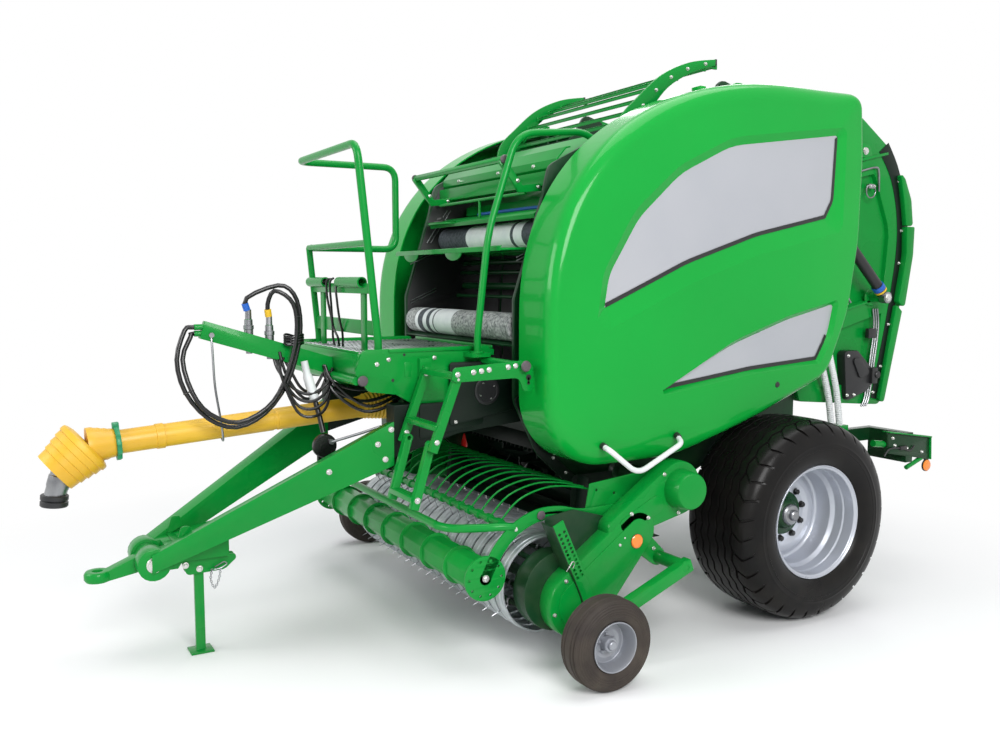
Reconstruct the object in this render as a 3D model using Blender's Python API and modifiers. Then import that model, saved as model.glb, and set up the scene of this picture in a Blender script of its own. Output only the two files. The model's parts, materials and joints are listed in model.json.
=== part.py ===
"""Round baler with a variable chamber, pick-up, drawbar and lifting tailgate.

Metres, +Z up. The drawbar points to -Y and the tailgate to +Y. +X is the machine's left.
Places along Y are measured from the wheel axle, and the datum empty carries them to the frame
whose origin lies on the floor under the middle of the machine.
"""
import math

import bpy
import bmesh
from mathutils import Matrix, Vector

# Driving dimensions.
AXLE_Y = 1.123               # wheel axle behind the origin
CHAMBER_HALF = 0.635         # half of the bale chamber between its side plates
SIDE_THICK = 0.025           # chamber side plate with its folded edge
GATE_GAP = 0.008             # between the chamber side and the tailgate side
SEAT = 0.0003                # gap that touching pieces keep
RUN = 0.006                  # running clearance of turning pieces

TYRE_R, TYRE_WIDTH = 0.533, 0.50
TYRE_X = CHAMBER_HALF + 0.395
BEAD_R = 0.288
DISC_X = TYRE_X - 0.04       # wheel disc, seated on the hub flange
HUB_R, HUB_FLANGE_R = 0.075, 0.12

GAUGE_R, GAUGE_WIDTH, GAUGE_X = 0.208, 0.16, 1.385
GAUGE_BEAD_R = 0.108

SHELL_X, SHELL_IN_X = CHAMBER_HALF + 0.425, CHAMBER_HALF + 0.12
SHELL_WALL = 0.010
SHELL_ROUND = 0.06           # radius between the shell's side face and its rim
SHELL_FRONT, SHELL_REAR = -1.53, 0.53
SHELL_TOP = 2.81
SHELL_POWER = 2.3            # exponent of the superellipse at the front top
SHELL_HINGE = (CHAMBER_HALF + 0.10, 2.765)   # X and Z of the door hinge line

ROTOR = (-0.83, 0.78)        # Y and Z of the feed rotor, about which the pick-up lifts
ROTOR_R, ROTOR_TUBE_R = 0.25, 0.11
REEL = (-1.48, 0.345)        # Y and Z of the pick-up reel
REEL_TIP_R, BAND_R, REEL_BAR_R = 0.285, 0.235, 0.165
PICKUP_HALF = 1.02           # half of the pick-up between its side plates
TINE_R = 0.0035
BAND_WIDTH = 0.0745

GUARD_PIVOT = (-1.13, 0.69)  # Y and Z of the wind guard's pivot
GUARD_ROLL = (-1.855, 0.455)
GUARD_ROLL_R, GUARD_DISC_R = 0.082, 0.092


GATE_HINGE = (-0.14, 2.80)
RAM_X = CHAMBER_HALF + 0.165
RAM_BASE = (0.16, 2.50)
RAM_EYE = (1.02, 1.69)
RAM_R, ROD_R = 0.04, 0.02

NOSE = (-3.13, 0.48)         # Y and Z of the drawbar's pivot
EYE_Y, EYE_Z = -3.36, 0.425
STAND = (-2.915, 0.415)      # Y and Z of the stand's pivot
PTO_BACK, PTO_FRONT = (-1.90, 1.145), (-3.34, 1.04)

PLATFORM_Z, PLATFORM_FRONT, PLATFORM_REAR = 1.45, -2.25, -1.52
PLATFORM_LEFT, PLATFORM_RIGHT = 0.49, -0.45
RAIL_TOP, RAIL_MIDDLE, RAIL_REAR = 2.43, 1.97, -1.66
LADDER_IN, LADDER_OUT = 0.535, 0.90
NET_LOW, NET_HIGH = (-1.44, 1.56), (-1.22, 2.035)
NET_R, NET_HALF = 0.073, CHAMBER_HALF - 0.02

WHEEL_STEPS, GAUGE_STEPS = 28, 18
SPINDLE_R = 0.042
PIVOT_R = 0.055              # bearing round the rotor's shaft, about which the pick-up lifts
ROTOR_SHAFT_R = 0.04
DRAWBAR_BACK = -2.08
PTO_BELL, PTO_MOUTH = (-3.40, 1.03), (-3.52, 0.93)
GATE_RIM_X, RAM_PLATE_X = CHAMBER_HALF + 0.055, CHAMBER_HALF + 0.065
RAM_PIN_R = 0.017
RAM_BARREL = 0.62
SHELL_LUGS = (-0.44, -0.27)
LADDER_TOP, LADDER_MIDDLE = (-1.92, 1.38), (-2.055, 1.03)
LADDER_HINGE, LADDER_BOTTOM = (-2.045, 1.055), (-2.13, 0.77)
LADDER_RAIL = 0.036
FEED_FLOOR_R = 0.275         # curved floor under the rotor
HOSE_R = 0.011
HOSE_ARM_TIP = (0.125, -2.88, 1.565)
HOSE_COUPLERS = ((-2.66, 1.52), (-2.56, 1.49))
HOSE_COUPLER_UP = 0.09
STARTER = (-1.00, 1.13)
REEL_DRUM, REEL_SHAFT_R, REEL_BARS = 0.075, 0.028, 4
BANDS, BAND_PITCH = 20, 0.0925
GATHER_BACK = -1.178
GUARD_HOOP, GUARD_COMB = (-1.985, 0.665), (-1.72, 0.67)
GAUGE_KNUCKLE, GAUGE_ARM_X = (-0.90, 0.43), 1.245
GAUGE_PLACE = (-1.455, GAUGE_R)

MATERIALS = {}


def material(name, colour, roughness, metallic=0.0):
    """A painted, rubber or metal finish, made once."""
    if name not in MATERIALS:
        made = bpy.data.materials.new(name)
        made.use_nodes = True
        shader = made.node_tree.nodes["Principled BSDF"]
        shader.inputs["Base Color"].default_value = (*colour, 1.0)
        shader.inputs["Roughness"].default_value = roughness
        shader.inputs["Metallic"].default_value = metallic
        made.diffuse_color = (*colour, 1.0)
        MATERIALS[name] = made
    return MATERIALS[name]


def green():
    return material("green_paint", (0.02, 0.36, 0.06), 0.32)


def dark_green():
    return material("dark_green_paint", (0.01, 0.14, 0.04), 0.4)


def steel():
    return material("bare_steel", (0.55, 0.56, 0.57), 0.35, 0.9)


def silver():
    return material("wheel_silver", (0.62, 0.64, 0.68), 0.35, 0.3)


def rubber():
    return material("tyre_rubber", (0.02, 0.02, 0.02), 0.75)


def black():
    return material("black_plastic", (0.02, 0.02, 0.022), 0.5)


def yellow():
    return material("yellow_plastic", (0.85, 0.55, 0.03), 0.45)


def white_net():
    return material("white_net", (0.85, 0.86, 0.86), 0.6)


# Shapes. Each returns a loose mesh object in the machine's coordinates.

def loose(name, bm):
    mesh = bpy.data.meshes.new(name)
    bm.to_mesh(mesh)
    bm.free()
    obj = bpy.data.objects.new(name, mesh)
    bpy.context.scene.collection.objects.link(obj)
    return obj


def box(low, high):
    """A box between two corners."""
    low, high = Vector(low), Vector(high)
    size = high - low
    bm = bmesh.new()
    place = Matrix.Translation((low + high) / 2) @ Matrix.Diagonal((*size, 1.0))
    bmesh.ops.create_cube(bm, size=1.0, matrix=place)
    return loose("box", bm)


def along(start, end):
    """The matrix that carries a shape on the Z axis to the line between two points."""
    start, end = Vector(start), Vector(end)
    turn = (end - start).to_track_quat("Z", "Y").to_matrix().to_4x4()
    return Matrix.Translation((start + end) / 2) @ turn


def cone(start, end, r_start, r_end, sides=20, turn=0.0):
    """A cone or cylinder between two points."""
    bm = bmesh.new()
    length = (Vector(end) - Vector(start)).length
    bmesh.ops.create_cone(bm, cap_ends=True, segments=sides, radius1=r_start, radius2=r_end,
                          depth=length, matrix=along(start, end) @ Matrix.Rotation(turn, 4, "Z"))
    return loose("cone", bm)


def rod(start, end, radius, sides=10):
    return cone(start, end, radius, radius, sides)


def hole(start, end, radius, sides=16):
    """A cutter round a pin of that radius, whose flats face and clear the pin's own corners."""
    bore = bore_radius(radius, sides)
    return cone(start, end, bore, bore, sides, math.pi / sides)


def bore_radius(radius, sides):
    """The corner radius of a bore with that many sides, whose flats clear a pin's own corners."""
    return (radius + 0.0004) / math.cos(math.pi / sides)


def strut(start, end, width, height):
    """A box beam between two points of one YZ or XY plane; width lies along X, height across."""
    start, end = Vector(start), Vector(end)
    axis = (end - start).normalized()
    side = Vector((1, 0, 0)) if abs(axis.x) < 0.9 else Vector((0, 1, 0))
    side = (side - axis * side.dot(axis)).normalized()
    up = side.cross(axis)
    turn = Matrix((side, axis, up)).transposed().to_4x4()
    size = Matrix.Diagonal((width, (end - start).length, height, 1.0))
    bm = bmesh.new()
    bmesh.ops.create_cube(bm, size=1.0, matrix=Matrix.Translation((start + end) / 2) @ turn @ size)
    return loose("strut", bm)


def taper(start, end, width, height_start, height_end):
    """A box beam whose height changes from one end to the other, upright in its own plane."""
    start, end = Vector(start), Vector(end)
    flat = Vector((end.x - start.x, end.y - start.y, 0)).normalized()
    side = Vector((flat.y, -flat.x, 0)) * (width / 2)
    bm = bmesh.new()
    rings = []
    for point, height in ((start, height_start), (end, height_end)):
        up = Vector((0, 0, height / 2))
        rings.append([bm.verts.new(point + a + b) for a, b in
                      ((side, -up), (side, up), (-side, up), (-side, -up))])
    for a, b in zip(range(4), (1, 2, 3, 0)):
        bm.faces.new((rings[0][a], rings[0][b], rings[1][b], rings[1][a]))
    bm.faces.new(rings[0][::-1])
    bm.faces.new(rings[1])
    bmesh.ops.recalc_face_normals(bm, faces=bm.faces)
    return loose("taper", bm)


def mesh_of(curve_object):
    """The curve's evaluated mesh, welded, as a loose mesh object; the curve is removed."""
    graph = bpy.context.evaluated_depsgraph_get()
    mesh = bpy.data.meshes.new_from_object(curve_object.evaluated_get(graph))
    bm = bmesh.new()
    bm.from_mesh(mesh)
    bmesh.ops.transform(bm, matrix=curve_object.matrix_world, verts=bm.verts)
    bmesh.ops.remove_doubles(bm, verts=bm.verts, dist=0.00005)
    bmesh.ops.recalc_face_normals(bm, faces=bm.faces)
    bpy.data.meshes.remove(mesh)
    bpy.data.objects.remove(curve_object)
    return loose("from_curve", bm)


def curve_object(splines, cyclic, dimensions):
    data = bpy.data.curves.new("curve", "CURVE")
    data.dimensions = dimensions
    for points in splines:
        spline = data.splines.new("POLY")
        spline.points.add(len(points) - 1)
        for target, point in zip(spline.points, points):
            target.co = (*point, 1.0)
        spline.use_cyclic_u = cyclic
    obj = bpy.data.objects.new("curve", data)
    bpy.context.scene.collection.objects.link(obj)
    return obj


def plate(outline, x_low, x_high, holes=(), round_edge=0.0, shrink=0.0):
    """An outline of (Y, Z) points, extruded between two places on X, with holes of the same kind."""
    splines = [[(y, z, 0) for y, z in loop] for loop in (outline, *holes)]
    obj = curve_object(splines, True, "2D")
    obj.data.fill_mode = "BOTH"
    obj.data.extrude = (x_high - x_low) / 2 - round_edge
    obj.data.bevel_depth = round_edge
    obj.data.bevel_resolution = 1
    obj.data.offset = -shrink - round_edge
    # The curve's own X and Y become the machine's Y and Z.
    obj.matrix_world = Matrix(((0, 0, 1, (x_low + x_high) / 2), (1, 0, 0, 0), (0, 1, 0, 0), (0, 0, 0, 1)))
    bpy.context.view_layer.update()
    return mesh_of(obj)


def tube(points, radius, sides=6):
    """A round tube along a list of points."""
    obj = curve_object([[tuple(p) for p in points]], False, "3D")
    obj.data.bevel_depth = radius
    obj.data.bevel_resolution = (sides - 4) // 2
    obj.data.use_fill_caps = True
    bpy.context.view_layer.update()
    return mesh_of(obj)


def turned(profile, centre, steps=32):
    """A closed loop of (X, radius) points turned about the line along X through centre (Y, Z)."""
    mesh = bpy.data.meshes.new("profile")
    points = [(r, 0, x) for x, r in profile]
    pairs = [(i, (i + 1) % len(points)) for i in range(len(points))]
    edges = [(i, j) for i, j in pairs if points[i][0] > 1e-6 or points[j][0] > 1e-6]
    mesh.from_pydata(points, edges, [])
    obj = bpy.data.objects.new("turned", mesh)
    bpy.context.scene.collection.objects.link(obj)
    screw = obj.modifiers.new("turn", "SCREW")
    screw.steps = screw.render_steps = steps
    screw.use_merge_vertices = True
    screw.merge_threshold = 0.00005
    # The profile's own Z, about which it turns, becomes the machine's X.
    obj.matrix_world = Matrix(((0, 0, 1, 0), (1, 0, 0, centre[0]), (0, 1, 0, centre[1]), (0, 0, 0, 1)))
    bpy.context.view_layer.update()
    return mesh_of(obj)


def ring_arc(centre, radius, first, last, count):
    """Points on an arc in (Y, Z), angles in degrees, 0 towards +Y and 90 up."""
    return [(centre[0] + radius * math.cos(math.radians(first + (last - first) * i / count)),
             centre[1] + radius * math.sin(math.radians(first + (last - first) * i / count)))
            for i in range(count + 1)]


def circle(centre, radius, sides=16):
    return ring_arc(centre, radius, 0, 360, sides)[:-1]


def rounded(corners, step=30):
    """An outline from (Y, Z, radius) corners, each rounded by an arc with a point every so many degrees."""
    out = []
    total = len(corners)
    for i, (y, z, radius) in enumerate(corners):
        here = Vector((y, z))
        before, after = Vector(corners[i - 1][:2]) - here, Vector(corners[(i + 1) % total][:2]) - here
        turn = math.pi - before.angle(after)
        reach = min(radius * math.tan(turn / 2), 0.49 * before.length, 0.49 * after.length)
        if reach < 1e-4:
            out.append((y, z))
            continue
        start, end = here + before.normalized() * reach, here + after.normalized() * reach
        bisector = (before.normalized() + after.normalized()).normalized()
        centre = here + bisector * (reach / math.tan(turn / 2) / math.cos(turn / 2))
        first = math.degrees(math.atan2(*(start - centre).yx))
        swing = (math.degrees(math.atan2(*(end - centre).yx)) - first + 180) % 360 - 180
        count = max(1, round(abs(swing) / step))
        out += ring_arc(centre, (start - centre).length, first, first + swing, count)
    return out


def ribbon(path, half):
    """The outline of a strip of that half width along a (Y, Z) path."""
    left, right = [], []
    for i, point in enumerate(path):
        before, after = path[max(i - 1, 0)], path[min(i + 1, len(path) - 1)]
        direction = (Vector(after) - Vector(before)).normalized()
        normal = Vector((-direction.y, direction.x)) * half
        left.append(tuple(Vector(point) + normal))
        right.append(tuple(Vector(point) - normal))
    return left + right[::-1]


def bow(points, steps=3):
    """More points on a smooth curve through the given ones."""
    vectors = [Vector(p) for p in points]
    out = [vectors[0]]
    for i in range(len(vectors) - 1):
        a, b = vectors[max(i - 1, 0)], vectors[i]
        c, d = vectors[i + 1], vectors[min(i + 2, len(vectors) - 1)]
        for k in range(1, steps + 1):
            t = k / steps
            out.append(0.5 * ((2 * b) + (c - a) * t + (2 * a - 5 * b + 4 * c - d) * t * t
                              + (3 * b - a - 3 * c + d) * t ** 3))
    return [tuple(v) for v in out]


def hull_of_circles(a, r_a, b, r_b, count=8):
    """The outline of a belt round two circles in (Y, Z)."""
    va, vb = Vector(a), Vector(b)
    gap = (vb - va).length
    heading = math.degrees(math.atan2(vb.y - va.y, vb.x - va.x))
    lean = math.degrees(math.acos((r_a - r_b) / gap))
    return (ring_arc(a, r_a, heading + lean, heading + 360 - lean, count)
            + ring_arc(b, r_b, heading - lean, heading + lean, count))


# Bodies and nodes.

PARTS = bpy.data.collections.new("round_baler")


def joint_frame(name, y, z, parent, x=0.0):
    """An empty on a joint's axis, which carries the pieces that move there."""
    empty = bpy.data.objects.new(name, None)
    PARTS.objects.link(empty)
    empty.location = Vector((x, y, z)) - (parent.place if parent else Vector((0, -AXLE_Y, 0)))
    frame = Frame(empty, Vector((x, y, z)))
    if parent:
        empty.parent = parent.empty
    return frame


class Frame:
    """An empty and its place in the machine's coordinates."""

    def __init__(self, empty, place):
        self.empty = empty
        self.place = place


def node(name, shapes, finish, frame, cuts=()):
    """One solid from overlapping shapes less the cuts, placed on its frame."""
    base = shapes[0]
    held = []
    for operation, others in (("UNION", shapes[1:]), ("DIFFERENCE", cuts)):
        if not others:
            continue
        group = bpy.data.collections.new(f"{name}_{operation}")
        for other in others:
            group.objects.link(other)
        held.append(group)
        modifier = base.modifiers.new(operation, "BOOLEAN")
        modifier.operand_type = "COLLECTION"
        modifier.collection = group
        modifier.operation = operation
        modifier.solver = "EXACT"
    graph = bpy.context.evaluated_depsgraph_get()
    mesh = bpy.data.meshes.new_from_object(base.evaluated_get(graph))
    for other in (*shapes, *cuts):
        bpy.data.objects.remove(other)
    for group in held:
        bpy.data.collections.remove(group)
    mesh.name = name
    mesh.transform(Matrix.Translation(-frame.place))
    mesh.materials.clear()
    mesh.materials.append(finish)
    mesh.shade_smooth()
    mesh.set_sharp_from_angle(angle=math.radians(35))
    obj = bpy.data.objects.new(name, mesh)
    PARTS.objects.link(obj)
    obj.parent = frame.empty
    return obj


def both(side, shapes_of):
    """Shapes of one side: side is 1 for the left and -1 for the right."""
    shapes = shapes_of()
    if side < 0:
        for obj in shapes:
            bm = bmesh.new()
            bm.from_mesh(obj.data)
            bmesh.ops.transform(bm, matrix=Matrix.Diagonal((-1, 1, 1, 1)), verts=bm.verts)
            bmesh.ops.reverse_faces(bm, faces=bm.faces)
            bm.to_mesh(obj.data)
            bm.free()
    return shapes


SIDES = (("left", 1), ("right", -1))


# Running gear.

def tyre_profile(radius, width, middle, bead):
    """A tyre's section as a closed loop in (X, radius)."""
    half = width / 2
    rows = [(0.42, radius), (0.82, 0.965 * radius), (0.99, 0.80 * radius), (0.98, bead + 0.16 * radius),
            (0.84, bead + 0.02 * radius), (0.84, bead)]
    return ([(middle + f * half, r) for f, r in rows]
            + [(middle - f * half, r) for f, r in rows[::-1]])


def rim_profile(middle, half, bead, wall, disc, bore, dish):
    """A well rim with its disc as a closed loop in (X, radius)."""
    flange, seat, well = 1.045 * bead, bead - SEAT, 0.90 * bead
    low, high = middle - half, middle + half
    return [
        (low, flange), (low + wall, seat), (middle - 0.30 * half, well), (middle + 0.35 * half, well),
        (high - wall, seat), (high, flange), (high, bead - wall), (middle + 0.35 * half, well - wall),
        (disc + wall, well - wall), (disc + wall + dish, 0.60 * bead), (disc + wall, bore), (disc, bore),
        (disc, well - wall), (low, bead - wall)]


def build_wheels(root):
    centre = (0, TYRE_R)
    for label, side in SIDES:
        frame = joint_frame(f"wheel_{label}_axis", 0, TYRE_R, root, side * TYRE_X)
        profile = tyre_profile(TYRE_R, TYRE_WIDTH, TYRE_X, BEAD_R)
        node(f"tyre_{label}", both(side, lambda: [turned(profile, centre, WHEEL_STEPS)]), rubber(), frame)
        bore = bore_radius(SPINDLE_R, 16)
        rim = rim_profile(TYRE_X, 0.42 * TYRE_WIDTH + 0.012, BEAD_R, 0.011, DISC_X, bore + 0.01, 0.02)

        def rim_shapes():
            hub = turned([(DISC_X - 0.07, bore), (DISC_X - 0.07, HUB_FLANGE_R),
                          (DISC_X + 0.022, HUB_FLANGE_R), (DISC_X + 0.022, HUB_R), (DISC_X + 0.09, HUB_R - 0.01),
                          (DISC_X + 0.10, 0.03), (DISC_X + 0.10, 0.0), (DISC_X - 0.02, 0.0),
                          (DISC_X - 0.02, bore)], centre, 16)
            return [turned(rim, centre, WHEEL_STEPS), hub]

        node(f"rim_{label}", both(side, rim_shapes), silver(), frame)


def build_axle(root):
    shapes = [box((-0.72, -0.055, TYRE_R - 0.055), (0.72, 0.055, TYRE_R + 0.055))]
    for _, side in SIDES:
        shapes.append(rod((side * 0.70, 0, TYRE_R), (side * (DISC_X - 0.03), 0, TYRE_R), SPINDLE_R, 24))
        shapes += both(side, lambda: [box((0.56, -0.14, TYRE_R + 0.04), (CHAMBER_HALF - SEAT, 0.14, 0.86))])
    node("axle", shapes, green(), root)


# Chamber and chassis.



SIDE_OUTLINE = (  # Y, Z, corner radius of the fixed side plate
    (-1.50, 1.70, 0.05), (-1.50, 1.20, 0.08), (-1.36, 0.92, 0.10), (-1.12, 0.70, 0.12), (-0.62, 0.60, 0.05),
    (-0.20, 0.80, 0.05), (0.42, 0.80, 0.02), (0.42, 1.10, 0.01), (0.17, 1.75, 0.15), (0.10, 2.45, 0.15),
    (-0.035, 2.74, 0.01), (-0.06, 2.84, 0.03), (-0.20, 2.88, 0.04), (-0.30, 2.72, 0.05), (-0.94, 2.55, 0.10),
    (-1.30, 2.36, 0.06), (-1.34, 2.20, 0.10))


def shifted(points, step):
    return [(y + step, z, *rest) for y, z, *rest in points]


def build_chamber(root):
    inner, outer = CHAMBER_HALF, CHAMBER_HALF + SIDE_THICK
    ribs = (((-1.30, 1.80), (0.02, 1.80)), ((-1.05, 2.30), (-0.25, 2.50)), ((-0.60, 0.75), (-0.60, 2.52)))
    for label, side in SIDES:

        def side_shapes():
            shapes = [plate(rounded(SIDE_OUTLINE), inner, outer)]
            for start, end in ribs:
                shapes.append(strut((outer + 0.008, *start), (outer + 0.008, *end), 0.026, 0.05))
            # The tailgate's hinge pin, and the pivot tube that carries the pick-up.
            shapes.append(rod((outer - 0.02, *GATE_HINGE), (GATE_RIM_X + 0.005, *GATE_HINGE), 0.028, 16))
            shapes.append(rod((outer - 0.01, *ROTOR), (PICKUP_HALF + 0.09, *ROTOR), PIVOT_R, 16))
            shapes.append(cone((outer - 0.005, *ROTOR), (outer + 0.03, *ROTOR), 0.10, 0.09, 16))
            # The ram's bracket, outside the tailgate's rim, and its pin.
            shapes.append(box((outer - 0.005, -0.30, 2.44), (RAM_PLATE_X + 0.012, -0.16, 2.56)))
            shapes.append(plate(hull_of_circles((-0.23, 2.50), 0.06, RAM_BASE, 0.05), RAM_PLATE_X,
                                RAM_PLATE_X + 0.012))
            shapes.append(rod((RAM_PLATE_X + 0.005, *RAM_BASE), (RAM_X + 0.025, *RAM_BASE), RAM_PIN_R, 16))
            # Hinge pin of the side shell between its brackets.
            hinge_x, hinge_z = SHELL_HINGE
            for y in SHELL_LUGS:
                for edge in (y - 0.042, y + 0.028):
                    shapes.append(box((outer - 0.005, edge, hinge_z - 0.16), (hinge_x + 0.009, edge + 0.014, hinge_z + 0.009)))
                shapes.append(rod((hinge_x, y - 0.04, hinge_z), (hinge_x, y + 0.04, hinge_z), 0.008, 12))
            # Rear frame with the lamp plate.
            shapes.append(box((inner + 0.001, 0.36, 0.80), (outer + 0.03, 1.12, 0.88)))
            shapes.append(box((outer + 0.02, 1.06, 0.70), (0.96, 1.12, 0.88)))
            shapes.append(plate([(0.88, 0.90), (1.27, 0.84), (1.28, 0.70), (0.90, 0.77)], 0.93, 0.96))
            return shapes

        bores = both(side, lambda: [hole((inner - 0.1, *ROTOR), (outer + 0.1, *ROTOR), ROTOR_SHAFT_R)])
        node(f"chamber_side_{label}", both(side, side_shapes), green(), root, bores)

    # Frame in front of the chamber, which carries drawbar, gearbox and platform.
    shapes = [box((-inner + SEAT, -1.30, 1.00), (inner - SEAT, -1.20, 1.20))]
    beam = [(DRAWBAR_BACK, 0.95), (-1.74, 1.04), (-1.21, 1.09), (-1.21, 1.20), (DRAWBAR_BACK, 1.20)]
    for _, side in SIDES:
        shapes += both(side, lambda: [plate(beam, 0.42, 0.52)])
    node("front_frame", shapes, green(), root)
    floor = ribbon(ring_arc(ROTOR, FEED_FLOOR_R, 198, 342, 8), 0.005)
    node("feed_floor", [plate(floor, -inner + SEAT, inner - SEAT)], dark_green(), root)


def build_drawbar(root):
    for label, side in SIDES:

        def beam_shapes():
            return [taper((0.125, -3.13, 0.487), (0.485, -2.03, 1.035), 0.085, 0.085, 0.215),
                    plate(circle(NOSE, 0.075, 20), 0.055, 0.15),
                    plate([(-3.12, 0.44), (-3.02, 0.44), (-3.00, 0.47), (-2.78, 0.47), (-2.78, 0.60), (-3.10, 0.54)],
                          SEAT / 2, 0.12)]

        back = both(side, lambda: [box((0, DRAWBAR_BACK - SEAT, 0), (1, 0, 2)),
                                   box((-0.1, NOSE[0] - 0.12, 0.3), (0.0555, NOSE[0] + 0.062, 0.7))])
        node(f"drawbar_{label}", both(side, beam_shapes), green(), root, back)

    shapes = [plate(circle(NOSE, 0.06, 20), -0.055 + SEAT, 0.055 - SEAT),
              taper((0, NOSE[0], NOSE[1]), (0, EYE_Y + 0.04, EYE_Z), 0.07, 0.09, 0.045)]
    eye = turned([(-0.024, 0.024), (-0.024, 0.052), (-0.012, 0.06), (0.012, 0.06), (0.024, 0.052),
                  (0.024, 0.024)], (0, 0), 20)
    eye.data.transform(Matrix.Translation((0, EYE_Y, EYE_Z)) @ Matrix.Rotation(math.radians(90), 4, "Y"))
    bore = rod((0, EYE_Y, EYE_Z - 0.1), (0, EYE_Y, EYE_Z + 0.1), 0.024, 20)
    node("drawbar_eye", [*shapes, eye], green(), root, [bore])


def build_stand(root):
    y, z = STAND
    outer = 0.085
    bracket = [box((0.03, y - 0.08, 0.455), (outer, y + 0.04, 0.47 - SEAT))]
    for x in (0.031, outer - 0.009):
        bracket.append(plate(rounded([(y - 0.06, z - 0.025, 0.02), (y + 0.12, z - 0.02, 0.03), (y + 0.18, z + 0.03, 0.03),
                                      (y + 0.17, z + 0.052, 0.01), (y - 0.08, z + 0.052, 0.01)]), x, x + 0.008))
    bracket.append(rod((0.02, *STAND), (outer + 0.01, *STAND), 0.008, 12))
    node("stand_bracket", bracket, green(), root)
    frame = joint_frame("stand_axis", y, z, root, 0.058)
    leg = [box((0.0447, y - 0.022, 0.008), (0.0703, y + 0.022, z + 0.028)),
           box((0.005, y - 0.055, 0.0), (0.11, y + 0.055, 0.01))]
    node("stand_leg", leg, green(), frame, [hole((0, *STAND), (0.2, *STAND), 0.008, 12)])


def build_drive(root):
    y, z = PTO_BACK
    node("gearbox", [box((-0.15, y + 0.03, 0.98), (0.15, -1.62, 1.26)),
                     rod((0, y - 0.0, z), (0, y + 0.05, z), 0.09, 24),
                     rod((-0.42 + SEAT, -1.66, 1.12), (0.42 - SEAT, -1.66, 1.12), 0.075, 20)], green(), root)
    back, front = Vector((0, y - SEAT, z)), Vector((0, *PTO_FRONT))
    line = (front - back).normalized()
    bell, mouth = Vector((0, *PTO_BELL)), Vector((0, *PTO_MOUTH))
    down = (mouth - bell).normalized()
    shapes = [rod(back + line * 0.12, front, 0.055, 16), cone(back, back + line * 0.16, 0.085, 0.06, 16),
              cone(front - line * 0.07, bell + line * 0.03, 0.066, 0.09, 16),
              cone(bell - down * 0.03, mouth, 0.135, 0.10, 20),
              cone(mouth - down * 0.05, mouth + Vector((0, -0.005, -0.11)), 0.05, 0.05, 12),
              rod(mouth + Vector((0, -0.005, -0.10)), mouth + Vector((0, -0.01, -0.155)), 0.06, 12)]
    node("pto_shaft", shapes, yellow(), root, [box((-1, y - SEAT, 0), (1, 0, 2))])


# Platform, rails and ladder.

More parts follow.
